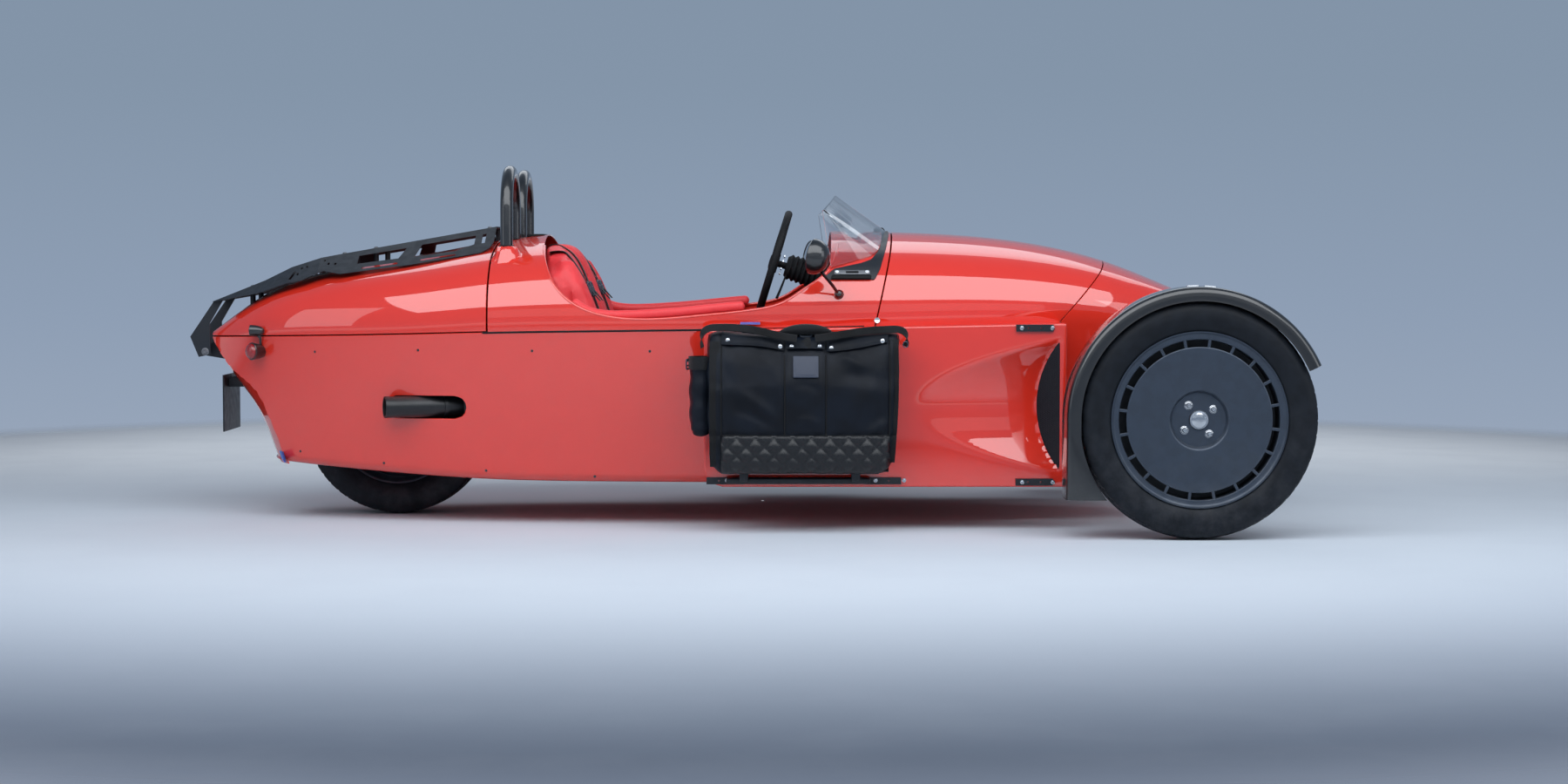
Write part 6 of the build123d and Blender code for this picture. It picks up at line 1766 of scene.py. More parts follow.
class CAR_OT_lining(bpy.types.Operator):
    """Carpet on the cockpit floor and inner walls"""

    bl_idname = "car.lining"
    bl_label = "Cockpit lining"

    def execute(self, context):
        x = np.linspace(-0.58, 0.66, 50)[:, None]
        points = stacked(x, *lower_skin(x, np.linspace(-0.97, 0.97, 60)[None, :]))
        faces = grid_faces(50, 60)
        inward = point_normals(points, faces)
        inward *= np.sign((inward * ((0, 0, 0.45) - points * (0, 1, 1))).sum(1, keepdims=True))
        put("cockpit_carpet", *shell(points + inward * 0.0085, faces, 0.003), "chassis", "black_canvas",
            MATERIALS["carpet"])
        return {"FINISHED"}


# ------------------------------------------------------------------ steering, dash and screens
WHEEL_CENTRE = np.array((0.143, -0.3, 0.843))
STEER_TILT = math.radians(17.0)
TO_DRIVER = np.array((-math.cos(STEER_TILT), 0, math.sin(STEER_TILT)))
STEER_UP = np.array((math.sin(STEER_TILT), 0, math.cos(STEER_TILT)))
DASH_FACE_X = 0.372


def on_wheel(points):
    """Points given as (right, up, towards the driver) of the steering wheel, in the car's frame."""
    points = np.asarray(points, float)
    return WHEEL_CENTRE + points[:, :1] * (0, -1, 0) + points[:, 1:2] * STEER_UP + points[:, 2:] * TO_DRIVER


def round_wheel(radius, turn, out):
    """Places at a radius and angle on the steering wheel, out towards the driver."""
    return on_wheel(stacked(radius * np.cos(turn), radius * np.sin(turn), out))


class CAR_OT_steering(bpy.types.Operator):
    """Wrapped steering wheel with three drilled spokes, ribbed bellows, column and stalk"""

    bl_idname = "car.steering"
    bl_label = "Steering"

    def execute(self, context):
        turn = round_turns(160)
        grip = 0.0125 + groove(np.sin(turn) - 0.35, 0.25, 0.0012)
        rim = tube(round_wheel(0.163, turn, 0), grip, 18, closed=True)
        seam = tube(round_wheel(0.1512, turn, 0.0012 * np.sin(turn * 60)), 0.0011, 6, closed=True)
        spokes = [self.spoke(turn) for turn in np.radians((0, 180, 270))]
        boss = revolve([(0.0, -0.015), (0.03, -0.015), (0.034, -0.011), (0.034, 0.004), (0.0335, 0.006),
                        (0.027, 0.007), (0.0262, 0.01), (0.025, 0.0135), (0.018, 0.0155), (0.0, 0.0165)],
                       WHEEL_CENTRE, axis=TO_DRIVER, steps=64)
        piece = put("steering_wheel_form", *gather([rim, seam, boss] + spokes), "steering_wheel",
                    "black_rubber", MATERIALS["rubber"], crease=45)
        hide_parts("steering_wheel")
        bolts = [bolt(place, 0.003, 0.003, TO_DRIVER)
                 for place in round_wheel(0.029, np.radians(np.arange(6) * 60 + 30), 0.0068)]
        bolts += [bolt(place, 0.0042, 0.005, TO_DRIVER)
                  for place in round_wheel(0.031, np.radians(np.arange(8) * 45 + 20), -0.03)]
        put("steering_bolts", *gather(bolts), "steering_wheel", "bare_metal", MATERIALS["bright"])
        self.column()
        return {"FINISHED"}

    def spoke(self, turn):
        """Flat spoke with three round holes, from the boss out to the rim."""
        along, across = np.meshgrid(np.linspace(0.026, 0.158, 44), np.linspace(-1, 1, 13), indexing="ij")
        half = 0.015 - 0.055 * (along - 0.026) * np.clip(1 - (along - 0.026) / 0.16, 0, 1) * 0.6
        u, v = along.ravel(), (across * half).ravel()
        keep = np.full(u.size, 1.0)
        for place, radius in ((0.06, 0.0072), (0.086, 0.0062), (0.11, 0.0052)):
            keep = np.minimum(keep, np.hypot(u - place, v) - radius)
        points, faces = clip(stacked(*turned(u, v, turn), 0.002), grid_faces(*along.shape), keep)
        return shell(on_wheel(points), faces, 0.0035)

    def column(self):
        """Column tube, bellows of soft ridges, its two clamp rings and the switch stalk."""
        start, long, count = 0.046, 0.114, 7
        ahead = np.linspace(start, start + long, 90)
        ridges = 0.5 + 0.5 * np.cos((ahead - start) / long * 2 * math.pi * count + math.pi)
        taper = 0.0385 + 0.006 * (ahead - start) / long
        bellows = [(0.0, 0.04), (0.03, 0.04), (0.0335, 0.0425)]
        bellows += list(zip(taper + 0.0062 * ridges ** 0.8 - 0.003, ahead))
        bellows += [(0.047, 0.164), (0.049, 0.1665), (0.049, 0.17), (0.0, 0.17)]
        tube_line = [(0.0, 0.003), (0.011, 0.003), (0.011, 0.04), (0.0, 0.04)]
        rod = [(0.0, 0.17), (0.011, 0.17), (0.011, 0.505), (0.0, 0.505)]
        flip = [[(r, -d) for r, d in reversed(line)] for line in (bellows, tube_line, rod)]
        forms = [revolve(line, WHEEL_CENTRE, axis=TO_DRIVER, steps=48) for line in flip]
        lever = smooth_line([(0.02, -0.02, -0.05), (0.06, -0.07, -0.046), (0.1, -0.106, -0.042)], 14)
        forms.append(tube(on_wheel(lever), np.linspace(0.0028, 0.0045, 14), 12))
        piece = put("steering_bellows", *gather(forms), "chassis", "black_rubber", MATERIALS["rubber"])
        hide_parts("steering_column")


DIALS = ((0.0, 0.825, 0.05), (0.112, 0.82, 0.036), (-0.096, 0.82, 0.03), (0.19, 0.8, 0.026))


class CAR_OT_dash(bpy.types.Operator):
    """Round dials with bright bezels, needles and ticks, and a row of toggle switches"""

    bl_idname = "car.dash"
    bl_label = "Dash"

    def execute(self, context):
        bezels, plates, marks = [], [], []
        axis = (-1, 0, 0)
        for y, z, radius in DIALS:
            place = (DASH_FACE_X, y, z)
            bezels.append(revolve([(radius - 0.004, 0.0), (radius, 0.0), (radius, 0.007),
                                   (radius - 0.0015, 0.01), (radius - 0.0045, 0.0095),
                                   (radius - 0.006, 0.006), (radius - 0.006, 0.0)], place, axis, 56))
            plates.append(revolve([(0.0, 0.0), (radius - 0.0055, 0.0), (radius - 0.0055, 0.0035),
                                   (0.0, 0.0035)], place, axis, 48))
            for turn in np.linspace(-120, 120, 19):
                marks.append(self.mark(place, turn, radius, (0.73, 0.87), 0.022, 0.0042, 0.0008))
            marks.append(self.mark(place, -95 + 40 * (radius < 0.04), radius, (-0.132, 0.66),
                                   0.045, 0.0055, 0.001))
        for index in range(5):
            place = (DASH_FACE_X, -0.06 + 0.03 * index, 0.748)
            bezels.append(revolve([(0.0, 0.0), (0.0085, 0.0), (0.0085, 0.004), (0.006, 0.0055),
                                   (0.0, 0.0055)], place, axis, 24))
            end = np.array(place) + (-0.022, 0, 0.006 if index % 2 else -0.006)
            bezels.append(tube(np.linspace(place, end, 6), np.linspace(0.0022, 0.0034, 6), 12))
        put("dial_bezels", *gather(bezels), "chassis", "bare_metal", MATERIALS["bright"])
        put("dial_faces", *gather(plates), "chassis", "black_satin", MATERIALS["dial"])
        put("dial_marks", *gather(marks), "chassis", "black_satin", MATERIALS["dial_mark"])
        return {"FINISHED"}

    def mark(self, place, degrees_round, radius, reach, width, lift, thickness):
        """Tick or needle of a dial: reach and width are shares of the dial's radius."""
        turn = math.radians(degrees_round)
        run = np.array((0, math.sin(turn), math.cos(turn))) * radius
        ends = [place - np.array((lift, 0, 0)) + run * share for share in reach]
        return sweep(ends, band(radius * width, thickness), (0, math.cos(turn), -math.sin(turn)))


SCREEN_T = 0.0045
SCREEN_TOP = ((0.2978, -0.484, 1.0057), (0.301, -0.484, 1.007), (0.345, -0.055, 1.06))
SCREEN_FOOT_X = (0.3256, 0.4646, 0.515)
BASE_PLATE = ((0.497, 0.975), (0.497, 0.93), (0.486, 0.885), (0.471, 0.866), (0.4546, 0.8484),
              (0.4235, 0.8373), (0.335, 0.8196), (0.3088, 0.799), (0.3065, 0.7866), (0.4633, 0.7866),
              (0.481, 0.8196), (0.4985, 0.8703), (0.52, 0.93), (0.531, 0.975))
BASE_RADII = (0, 0.03, 0.03, 0.01, 0.02, 0.03, 0.01, 0.004, 0.004, 0.006, 0.03, 0.03, 0.03, 0)
BEND_SHARE = 0.3                 # place across the screen where its side panel ends


def screen_surface(share, up):
    """Bent screen as a ruled surface: side panel, soft bend and front panel, by share across and height.

    Its foot follows the body's skin: along the side from the rear corner to the bend, then
    inward over the top to near the middle. Its top edge runs from the rear peak to the middle.
    """
    rear, bend = (np.array((x, -skin_half(x, z), z)) for x, z in zip(SCREEN_FOOT_X, (0.8225, 0.864)))
    inward = np.linspace(0, 1, 24)
    in_y = bend[1] + (SCREEN_TOP[2][1] - bend[1]) * inward
    in_x = SCREEN_FOOT_X[1] + (SCREEN_FOOT_X[2] - SCREEN_FOOT_X[1]) * inward ** 0.55
    front = np.column_stack([in_x, in_y, skin_top(in_x, in_y)])
    front[0] = bend
    side = rear + (bend - rear) * np.linspace(0, 1, 12)[:, None]
    side[:, 1] = -skin_half(side[:, 0], side[:, 2])
    foot = np.vstack([side[:-1], front])
    foot_share = np.concatenate([np.linspace(0, BEND_SHARE, 12)[:-1], BEND_SHARE + (1 - BEND_SHARE) * inward])
    peak, turn, middle = np.array(SCREEN_TOP)
    top_share = np.array((0.0, BEND_SHARE, 0.42, 0.7, 1.0))
    top = np.array((peak, turn, turn * 0.8 + middle * 0.2 + (0.007, 0, 0.006),
                    turn * 0.4 + middle * 0.6 + (0.008, 0, 0.006), middle))
    grid = np.stack([np.interp(share, foot_share, foot[:, axis]) * (1 - up)
                     + np.interp(share, top_share, top[:, axis]) * up for axis in range(3)], -1)
    for _ in range(5):
        grid[1:-1] = (grid[:-2] + 2 * grid[1:-1] + grid[2:]) / 4
    grid[..., 2] += 0.0015
    return grid


class CAR_OT_screens(bpy.types.Operator):
    """Two bent clear screens on black base plates, with alloy clamps and bolts"""

    bl_idname = "car.screens"
    bl_label = "Screens"

    def execute(self, context):
        share, up = np.meshgrid(np.linspace(0, 1, 68), np.linspace(0, 1, 24), indexing="ij")
        screen = shell(screen_surface(share, up).reshape(-1, 3), grid_faces(*share.shape), SCREEN_T)
        right, _ = both("wind_screen_*", screen, "chassis", "clear_acrylic", "clear", 40)
        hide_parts("wind_screens")
        clamp, heads, bar = self.clamp()
        both("screen_base_*", self.base(), "chassis", "black_satin", "satin_black")
        both("screen_clamp_*", clamp, "chassis", "bare_metal", "dull_metal")
        both("screen_bolts_*", heads, "chassis", "bare_metal", "bright")
        both("screen_bar_*", bar, "chassis", "black_rubber", "rubber")
        knob = revolve([(0.0, 0.0), (0.017, 0.0), (0.019, 0.004), (0.018, 0.011), (0.0125, 0.017),
                        (0.0, 0.019)],
                       (0.496, 0.0, float(skin_top(0.496, 0.0))), axis=(0, 0, 1), steps=36)
        put("screen_knob", *knob, "chassis", "black_rubber", MATERIALS["rubber"])
        return {"FINISHED"}

    def base(self):
        """Black plate that hugs the body under the screen: a side tongue and a strip over the top."""
        x, around = np.meshgrid(np.linspace(0.295, 0.545, 90), np.linspace(-0.99, -0.04, 130), indexing="ij")
        points = stacked(x, *upper_skin(x, around))
        keep = -outside(points[:, 0], points[:, 2], rounded(BASE_PLATE, BASE_RADII, 5))
        points, faces = clip(points, grid_faces(*x.shape), keep)
        normals = point_normals(points, faces)
        outward = normals * np.sign((normals * (points - (0.4, 0, 0.6))).sum(1, keepdims=True))
        if outward[0] @ normals[0] < 0:
            faces = faces[:, ::-1]
        return shell(points + outward * 0.0072, faces, 0.003, 0.2)

    def on_side(self, points, lift):
        """Points (along, up, out) laid on the body's side: out is measured from the skin."""
        x, z = points[:, 0], points[:, 1]
        return np.column_stack([x, -(skin_half(x, z) + lift + points[:, 2]), z])

    def clamp(self):
        """Alloy strip with its two bolts, and the black bar under it."""
        strip, strip_faces = box_form((0.335, 0.806, 0), (0.4495, 0.82, 0.006), 0.0025, 6)
        bar, bar_faces = box_form((0.326, 0.7925, 0), (0.453, 0.804, 0.011), 0.003, 6)
        slot = box_form((0.372, 0.8095, 0.0045), (0.413, 0.8165, 0.007), 0.0012, 3)
        heads = []
        for x in (0.344, 0.44):
            place = self.on_side(np.array([(x, 0.813, 0.0055)]), 0.007)[0]
            heads.append(bolt(place, 0.0048, 0.0055, (0, -1, 0.25)))
        dark = gather([(self.on_side(bar, 0.006), bar_faces), (self.on_side(slot[0], 0.007), slot[1])])
        return gather([(self.on_side(strip, 0.007), strip_faces)]), gather(heads), dark


MIRROR_CENTRE = np.array((0.272, -0.618, 0.862))


class CAR_OT_mirrors(bpy.types.Operator):
    """Egg-shaped mirror heads with glass, on thin stalks from a ball on the cowl"""

    bl_idname = "car.mirrors"
    bl_label = "Mirrors"

    def execute(self, context):
        share = np.linspace(0, 1, 26)
        profile = [(0.0, -0.008), (0.0495, -0.008), (0.0505, -0.0105), (0.0545, -0.0115), (0.0565, -0.009)]
        profile += [(0.0565 * math.sqrt(max(1 - s ** 2.1, 0)), -0.006 + 0.054 * s) for s in share]
        head = self.egg(profile)
        glass = self.egg([(0.0, -0.0092), (0.049, -0.0092), (0.049, -0.007), (0.0, -0.007)])
        foot = np.array((0.349, -(float(skin_half(0.349, 0.743)) + 0.012), 0.743))
        neck = MIRROR_CENTRE + (0.022, 0.0, -0.05)
        stalk = tube(smooth_line([neck, neck * 0.5 + foot * 0.5 + (0.002, -0.001, 0), foot], 14), 0.0052, 14)
        ball = revolve([(0.0, -0.013), (0.008, -0.0115), (0.0125, -0.005), (0.0132, 0.001), (0.0125, 0.006),
                        (0.008, 0.0115), (0.0, 0.013)], foot, axis=(0, -1, 0.2), steps=32)
        base = revolve([(0.0, -0.016), (0.017, -0.016), (0.0175, -0.011), (0.014, -0.007), (0.0, -0.006)],
                       foot, axis=(0, -1, 0.2), steps=32)
        right, _ = both("mirror_head_*", gather([head, stalk, ball, base]), "chassis", "black_satin",
                        "gloss_black")
        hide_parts("mirrors")
        both("mirror_glass_*", glass, "chassis", "bare_metal", "mirror")
        return {"FINISHED"}

    def egg(self, profile):
        """A round form narrowed towards its foot, turned a little to the driver and tipped back."""
        points, faces = revolve(profile, (0, 0, 0), axis=(1, 0, 0), steps=72)
        x, y, z = points.T
        y = y * (0.92 - 0.22 * np.clip(-z / 0.057, 0, 1) ** 1.5)
        x, z = turned(x, z, math.radians(-11))
        x, y = turned(x, y, math.radians(-20))
        return MIRROR_CENTRE + stacked(x, y, z), faces


# ------------------------------------------------------------------ panniers
BAG_OUTLINE = ((-0.03, 0.18), (-0.06, 0.212), (-0.072, 0.316), (-0.074, 0.45), (-0.078, 0.57),
               (-0.07, 0.622), (-0.04, 0.634), (0.1, 0.628), (0.19, 0.622), (0.25, 0.621),
               (0.31, 0.622), (0.42, 0.63), (0.52, 0.632), (0.548, 0.62), (0.546, 0.575),
               (0.54, 0.44), (0.53, 0.275), (0.508, 0.194), (0.478, 0.18))
BAG_FRONT_Y, BAG_BACK_Y = -0.757, -0.612
BAG_SEAMS_X, PLEATS_X, BAND_X = (-0.019, 0.503), (0.177, 0.305), (-0.056, -0.024)
BASE_SEAM_Z = 0.31
FOLDS = (((0.01, 0.455), (0.15, 0.345), 0.02, 0.0075), ((0.02, 0.395), (0.15, 0.322), 0.014, -0.005),
         ((0.345, 0.555), (0.42, 0.505), 0.016, 0.007), ((0.335, 0.5), (0.49, 0.47), 0.022, -0.0045),
         ((0.48, 0.56), (0.4, 0.38), 0.028, 0.0055), ((0.06, 0.56), (0.16, 0.5), 0.022, 0.005),
         ((0.2, 0.47), (0.29, 0.44), 0.016, -0.0035), ((0.215, 0.36), (0.285, 0.33), 0.014, 0.0035),
         ((0.5, 0.36), (0.42, 0.325), 0.016, 0.0045), ((-0.01, 0.54), (0.03, 0.34), 0.02, -0.0035))
HEM_LEFT = ((-0.018, 0.59), (0.06, 0.587), (0.11, 0.583), (0.174, 0.571))
HEM_MIDDLE = ((0.182, 0.577), (0.242, 0.578), (0.301, 0.576))
HEM_RIGHT = ((0.309, 0.569), (0.35, 0.571), (0.405, 0.579), (0.498, 0.597))
SNAPS = ((0.001, 0.604), (0.164, 0.585), (0.199, 0.584), (0.286, 0.585), (0.322, 0.58), (0.481, 0.602))
TOP_STRAPS = (((-0.078, 0.58, -0.7), (-0.082, 0.606, -0.704), (-0.072, 0.632, -0.706),
               (-0.03, 0.643, -0.708), (0.04, 0.641, -0.712), (0.11, 0.63, -0.722),
               (0.165, 0.617, -0.734), (0.215, 0.61, -0.746)),
              ((0.552, 0.584, -0.7), (0.5585, 0.606, -0.7), (0.55, 0.628, -0.704),
               (0.505, 0.637, -0.708), (0.445, 0.634, -0.712), (0.375, 0.625, -0.722),
               (0.318, 0.616, -0.734), (0.272, 0.61, -0.746)))
FLAP_TOP_Z = 0.6285
GUSSET_DEPTH = 0.09              # how far behind the front of the bag a point past its edge is laid
PATCH = ((0.205, 0.49), (0.281, 0.553))


class OnBag:
    """Lays points on the outer face of a bag, straight in from the side of the car."""

    def __init__(self, points, faces):
        self.tree = BVHTree.FromPolygons(points.tolist(), [f.tolist() for f in faces])

    def __call__(self, x, z, lift):
        x, z, lift = (np.asarray(v, float) for v in np.broadcast_arrays(x, z, lift))
        rows = []
        for px, pz, up in zip(x.ravel(), z.ravel(), lift.ravel()):
            hit = self.tree.ray_cast((px, -1.2, pz), (0, 1, 0))[0]
            rows.append((px, (hit.y if hit else BAG_FRONT_Y + GUSSET_DEPTH) - up, pz))
        return np.array(rows)


def fold(x, z, start, end, width, height):
    """Ridge of a fold along a line, which fades towards both of its ends."""
    (x0, z0), (x1, z1) = start, end
    long = math.hypot(x1 - x0, z1 - z0)
    along = ((x - x0) * (x1 - x0) + (z - z0) * (z1 - z0)) / long ** 2
    bend = 0.012 * np.sin(along * 2.6)
    aside = ((x - x0) * (z1 - z0) - (z - z0) * (x1 - x0)) / long + bend
    return height * np.exp(-(aside / width) ** 2) * np.exp(-((along - 0.5) / 0.42) ** 4)


def bag_relief(x, y, z, normals):
    """Depth of the sewn lines and the pull of the folds over the bag's outer face and gussets."""
    front = ease(-normals[:, 1], 0.3, 0.7)
    depth = sum(groove(x - place, 0.0055, 0.0065) for place in PLEATS_X) * ease(z, 0.305, 0.32)
    depth += groove(z - BASE_SEAM_Z, 0.006, 0.004)
    depth += sum(groove(x - place, 0.005, 0.0035) for place in BAG_SEAMS_X)
    depth = depth * front
    for start, end, width, height in FOLDS:
        depth = depth - fold(x, z, start, end, width, height) * front
    gusset = ease(np.abs(normals[:, 0]), 0.6, 0.9)
    depth += gusset * (0.006 * np.exp(-((y + 0.684) / 0.022) ** 2) + 0.0025 * np.sin(z * 47 + 9 * y))
    return depth


class CAR_OT_panniers(bpy.types.Operator):
    """Waxed canvas side bags: flap, snaps, pleats, quilted base, straps, buckle and side pocket"""

    bl_idname = "car.panniers"
    bl_label = "Panniers"

    def execute(self, context):
        points, faces = slab(rounded(BAG_OUTLINE, 0.016, 4), BAG_FRONT_Y, BAG_BACK_Y, 0.028, 12)
        lean = 1 - 0.36 * ease(points[:, 2], 0.5, 0.64)
        points[:, 1] = BAG_BACK_Y + (points[:, 1] - BAG_BACK_Y) * lean
        bag = sunk(*stuffed(points, faces, 0.0135, 0.01), bag_relief)
        on = OnBag(*bag)
        pocket = box_form((-0.116, -0.73, 0.302), (-0.052, -0.628, 0.545), 0.026, 6)
        pocket = stuffed(*pocket, 0.01, 0.006)
        pocket = sunk(*pocket, lambda x, y, z, _: 0.0022 * np.sin(z * 85 + 30 * y) * ease(z, 0.3, 0.36)
                      + groove(z - 0.318, 0.005, 0.003))
        parts = {
            "bag": (bag, "canvas"), "pocket": (pocket, "canvas"), "flaps": (self.flaps(on), "canvas"),
            "quilting": (self.quilting(on), "black_hide"), "patch": (self.patch(on), "patch"),
            "bands": (self.bands(on), "webbing"), "piping": (self.piping(on), "rubber"),
            "snaps": (self.snaps(on), "bright"), "buckles": (self.buckles(on), "wheel"),
            "rail": (self.rail(), "satin_black"),
        }
        slots = {"bright": "bare_metal", "wheel": "bare_metal", "satin_black": "black_satin"}
        for name, (form, material) in parts.items():
            soft = name in ("bag", "pocket", "quilting")
            for side, piece in both(f"pannier_{name}_*", form, "chassis", slots.get(material, "black_canvas"),
                                    material, 80 if soft else 35):
                if name == "bag":
                    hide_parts(f"pannier_{side}")
        return {"FINISHED"}

    def flap(self, on, hem, lift):
        """Part of the flap: from the bag's top down to its hem line, with a turned thicker edge."""
        hem_x, hem_z = np.transpose(hem)
        long = hem_x[-1] - hem_x[0]
        share = np.linspace(0, 1, max(int(long / 0.0055), 14))
        down = np.linspace(0, 1, 16)[:, None]
        x = hem_x[0] + long * share + 0 * down
        low = spline(hem_x, hem_z, x[0])
        z = FLAP_TOP_Z + (low - FLAP_TOP_Z) * down
        edge = np.minimum(np.minimum(share, 1 - share) * long, z - low)
        ripple = 0.0016 * np.sin(x * 61 + 1.2) * down + 0.0012 * np.sin(x * 140) * down ** 2
        points = on(x, z, lift + ripple - groove(edge - 0.008, 0.0022, 0.0012) + 0.003 * down ** 3)
        return shell(points, grid_faces(*x.shape), 0.0026, 0.2)

    def flaps(self, on):
        """The flap's two outer parts and its middle tab."""
        return gather([self.flap(on, HEM_LEFT, 0.0045), self.flap(on, HEM_RIGHT, 0.0045),
                       self.flap(on, HEM_MIDDLE, 0.008)])

    def quilting(self, on):
        """Padded base panel: diamonds of the quilt size, puffed between their stitched lines."""
        x, z = np.meshgrid(np.linspace(*BAG_SEAMS_X, 110), np.linspace(0.19, BASE_SEAM_Z - 0.001, 26),
                           indexing="ij")
        wide = bpy.context.scene.car_sizes.quilt * math.sqrt(2) * 1.02
        first, second = x / wide + z / (wide * 0.95), x / wide - z / (wide * 0.95)
        puff = (np.abs(np.sin(math.pi * first)) * np.abs(np.sin(math.pi * second))) ** 0.6
        return shell(on(x, z, 0.0008 + 0.01 * puff), grid_faces(*x.shape), 0.0014, 0.2)

    def patch(self, on):
        """Blank hide patch with a pressed stitch line round its edge."""
        (x0, z0), (x1, z1) = PATCH
        x, z = np.meshgrid(np.linspace(x0, x1, 40), np.linspace(z0, z1, 34), indexing="ij")
        edge = np.minimum(np.minimum(x - x0, x1 - x), np.minimum(z - z0, z1 - z))
        return shell(on(x, z, 0.004 - groove(edge - 0.0045, 0.0012, 0.0009) - 0.001 * (edge < 0.0005)),
                     grid_faces(*x.shape), 0.0028, 0.2)

    def strap(self, on, path, lift, width, thickness=0.0022):
        """Webbing laid down the bag along points (x, z)."""
        return sweep(on(*smooth_line(path, 46).T, lift), band(width, thickness), (1, 0, 0))

    def bands(self, on):
        """Webbing: the gusset band, top straps, buckle strap, pocket strap and grab loop."""
        middle = sum(BAND_X) / 2
        down = self.strap(on, [(middle, 0.6), (middle, 0.4), (middle + 0.002, 0.212)], 0.0012,
                          BAND_X[1] - BAND_X[0], 0.0018)
        right = self.strap(on, [(0.52, 0.606), (0.519, 0.4), (0.508, 0.225)], 0.0012, 0.022, 0.0018)
        buckle = self.strap(on, [(0.2435, 0.618), (0.244, 0.6), (0.2445, 0.578)], 0.0115, 0.028)
        tops = []
        for line in TOP_STRAPS:
            path = smooth_line(line, 70)[:, [0, 2, 1]]
            path[:, 1] = np.minimum(path[:, 1], on(path[:, 0], np.minimum(path[:, 2], 0.622), 0.008)[:, 1])
            tops.append(sweep(path, band(0.024, 0.0024), (0.0, -0.35, -0.94)))
        roll = smooth_line([(0.16, -0.69, 0.626), (0.2, -0.688, 0.634), (0.245, -0.687, 0.637),
                            (0.29, -0.688, 0.634), (0.326, -0.69, 0.626)], 40)
        lump = np.sqrt(np.clip(1 - np.linspace(-1, 1, 40) ** 2, 0.01, 1))
        tops.append(sweep(roll, oval(0.02, 0.0165, 24), (0, -1, 0), lump))
        turn = round_turns(59)
        around = stacked(-0.084 + 0.0375 * np.cos(turn), -0.679 + 0.056 * np.sin(turn), 0.532)
        girdle = sweep(around, band(0.04, 0.0026), (0, 0, 1), closed=True)
        return gather([down, right, buckle, girdle] + tops)

    def piping(self, on):
        """Bound edges: down both seams, across the top of the quilted base and along the bottom."""
        rear, front = BAG_SEAMS_X
        lines = [[(rear, 0.6), (rear, 0.4), (rear + 0.001, 0.2)],
                 [(front, 0.604), (front, 0.4), (front - 0.004, 0.204)],
                 [(rear, BASE_SEAM_Z), (0.242, BASE_SEAM_Z - 0.002), (front, BASE_SEAM_Z)],
                 [(rear, 0.2015), (0.242, 0.1995), (front - 0.004, 0.2035)]]
        lines += [[(place, 0.556), (place + 0.001, 0.43), (place, 0.308)] for place in PLEATS_X]
        return gather([tube(on(*smooth_line(line, 56).T, 0.0012), 0.0024, 8) for line in lines])

    def snaps(self, on):
        """Pressed snap heads with a raised rim."""
        profile = [(0.0, -0.004), (0.0072, -0.004), (0.0075, 0.0006), (0.0066, 0.0019), (0.0058, 0.0012),
                   (0.005, 0.0018), (0.0, 0.0026)]
        return gather([revolve(profile, on(x, z, 0.013 if 0.182 < x < 0.304 else 0.0092)[0],
                               (0, -1, 0.18), 24) for x, z in SNAPS])

    def buckles(self, on):
        """Bright frame buckle on the middle strap, small slides on the pocket strap and top strap."""
        top = np.array((0.2435, float(on(0.2435, 0.612, 0)[0, 1]) - 0.0165, 0.626))
        forms = [slide_buckle(top, (0, 0.35, 1), (1, 0, 0), (0.026, 0.036), 0.0027)]
        forms.append(slide_buckle((-0.124, -0.69, 0.528), (0, 0, 1), (0.3, 1, 0), (0.03, 0.03), 0.0026))
        turn = round_turns(32)
        ring = stacked(0.553 + 0.0075 * np.cos(turn), -0.712, 0.59 + 0.009 * np.sin(turn))
        forms.append(tube(ring, 0.0016, 8, closed=True))
        return gather(forms)

    def rail(self):
        """Carrier rail under the bag, with two hooks up to its base."""
        bar = box_form((-0.006, -0.664, 0.15), (0.446, -0.616, 0.17), 0.006, 5)
        hooks = [box_form((x - 0.014, -0.69, 0.16), (x + 0.014, -0.64, 0.2), 0.004, 4)
                 for x in (0.05, 0.4)]
        return gather([bar] + hooks)


# ------------------------------------------------------------------ lamps, exhaust and fixings
LAMP_PLACE, LAMP_FACING = np.array((-1.5665, -0.268, 0.552)), (-0.7, -0.71, 0.02)
SIGNAL_PLACE, SIGNAL_FACING = np.array((-1.5715, -0.262, 0.6205)), (-1, 0, 0.03)
HEADLAMP_PLACE, HEADLAMP_R = np.array((1.49, -0.395, 0.59)), 0.089
PIPE_TIP, PIPE_IN, PIPE_R = np.array((-1.106, -0.452, 0.3795)), np.array((-0.86, -0.366, 0.3795)), 0.0345
BAR_BOLTS = ((0.9238, 0.638), (1.0203, 0.638), (0.927, 0.152), (1.0235, 0.152), (-0.004, 0.158),
             (0.092, 0.158), (0.464, 0.158), (0.554, 0.158))
RIVETS = ((-1.346, 0.554), (-0.997, 0.563), (-0.626, 0.563), (-1.411, 0.224), (-1.123, 0.193),
          (-0.784, 0.174), (-0.432, 0.157), (-0.25, 0.563))
RACK_BOLTS = ((-1.6, 0.07), (-1.282, 0.13), (-1.178, 0.13), (-0.8, 0.13))
HINGE_X = -1.756
BAR_FACE_Y = -0.608


def node_tree(name):
    """Search tree of a carried node's surface."""
    mesh = NODES[name].data
    return BVHTree.FromPolygons([tuple(v.co) for v in mesh.vertices],
                                [tuple(p.vertices) for p in mesh.polygons])


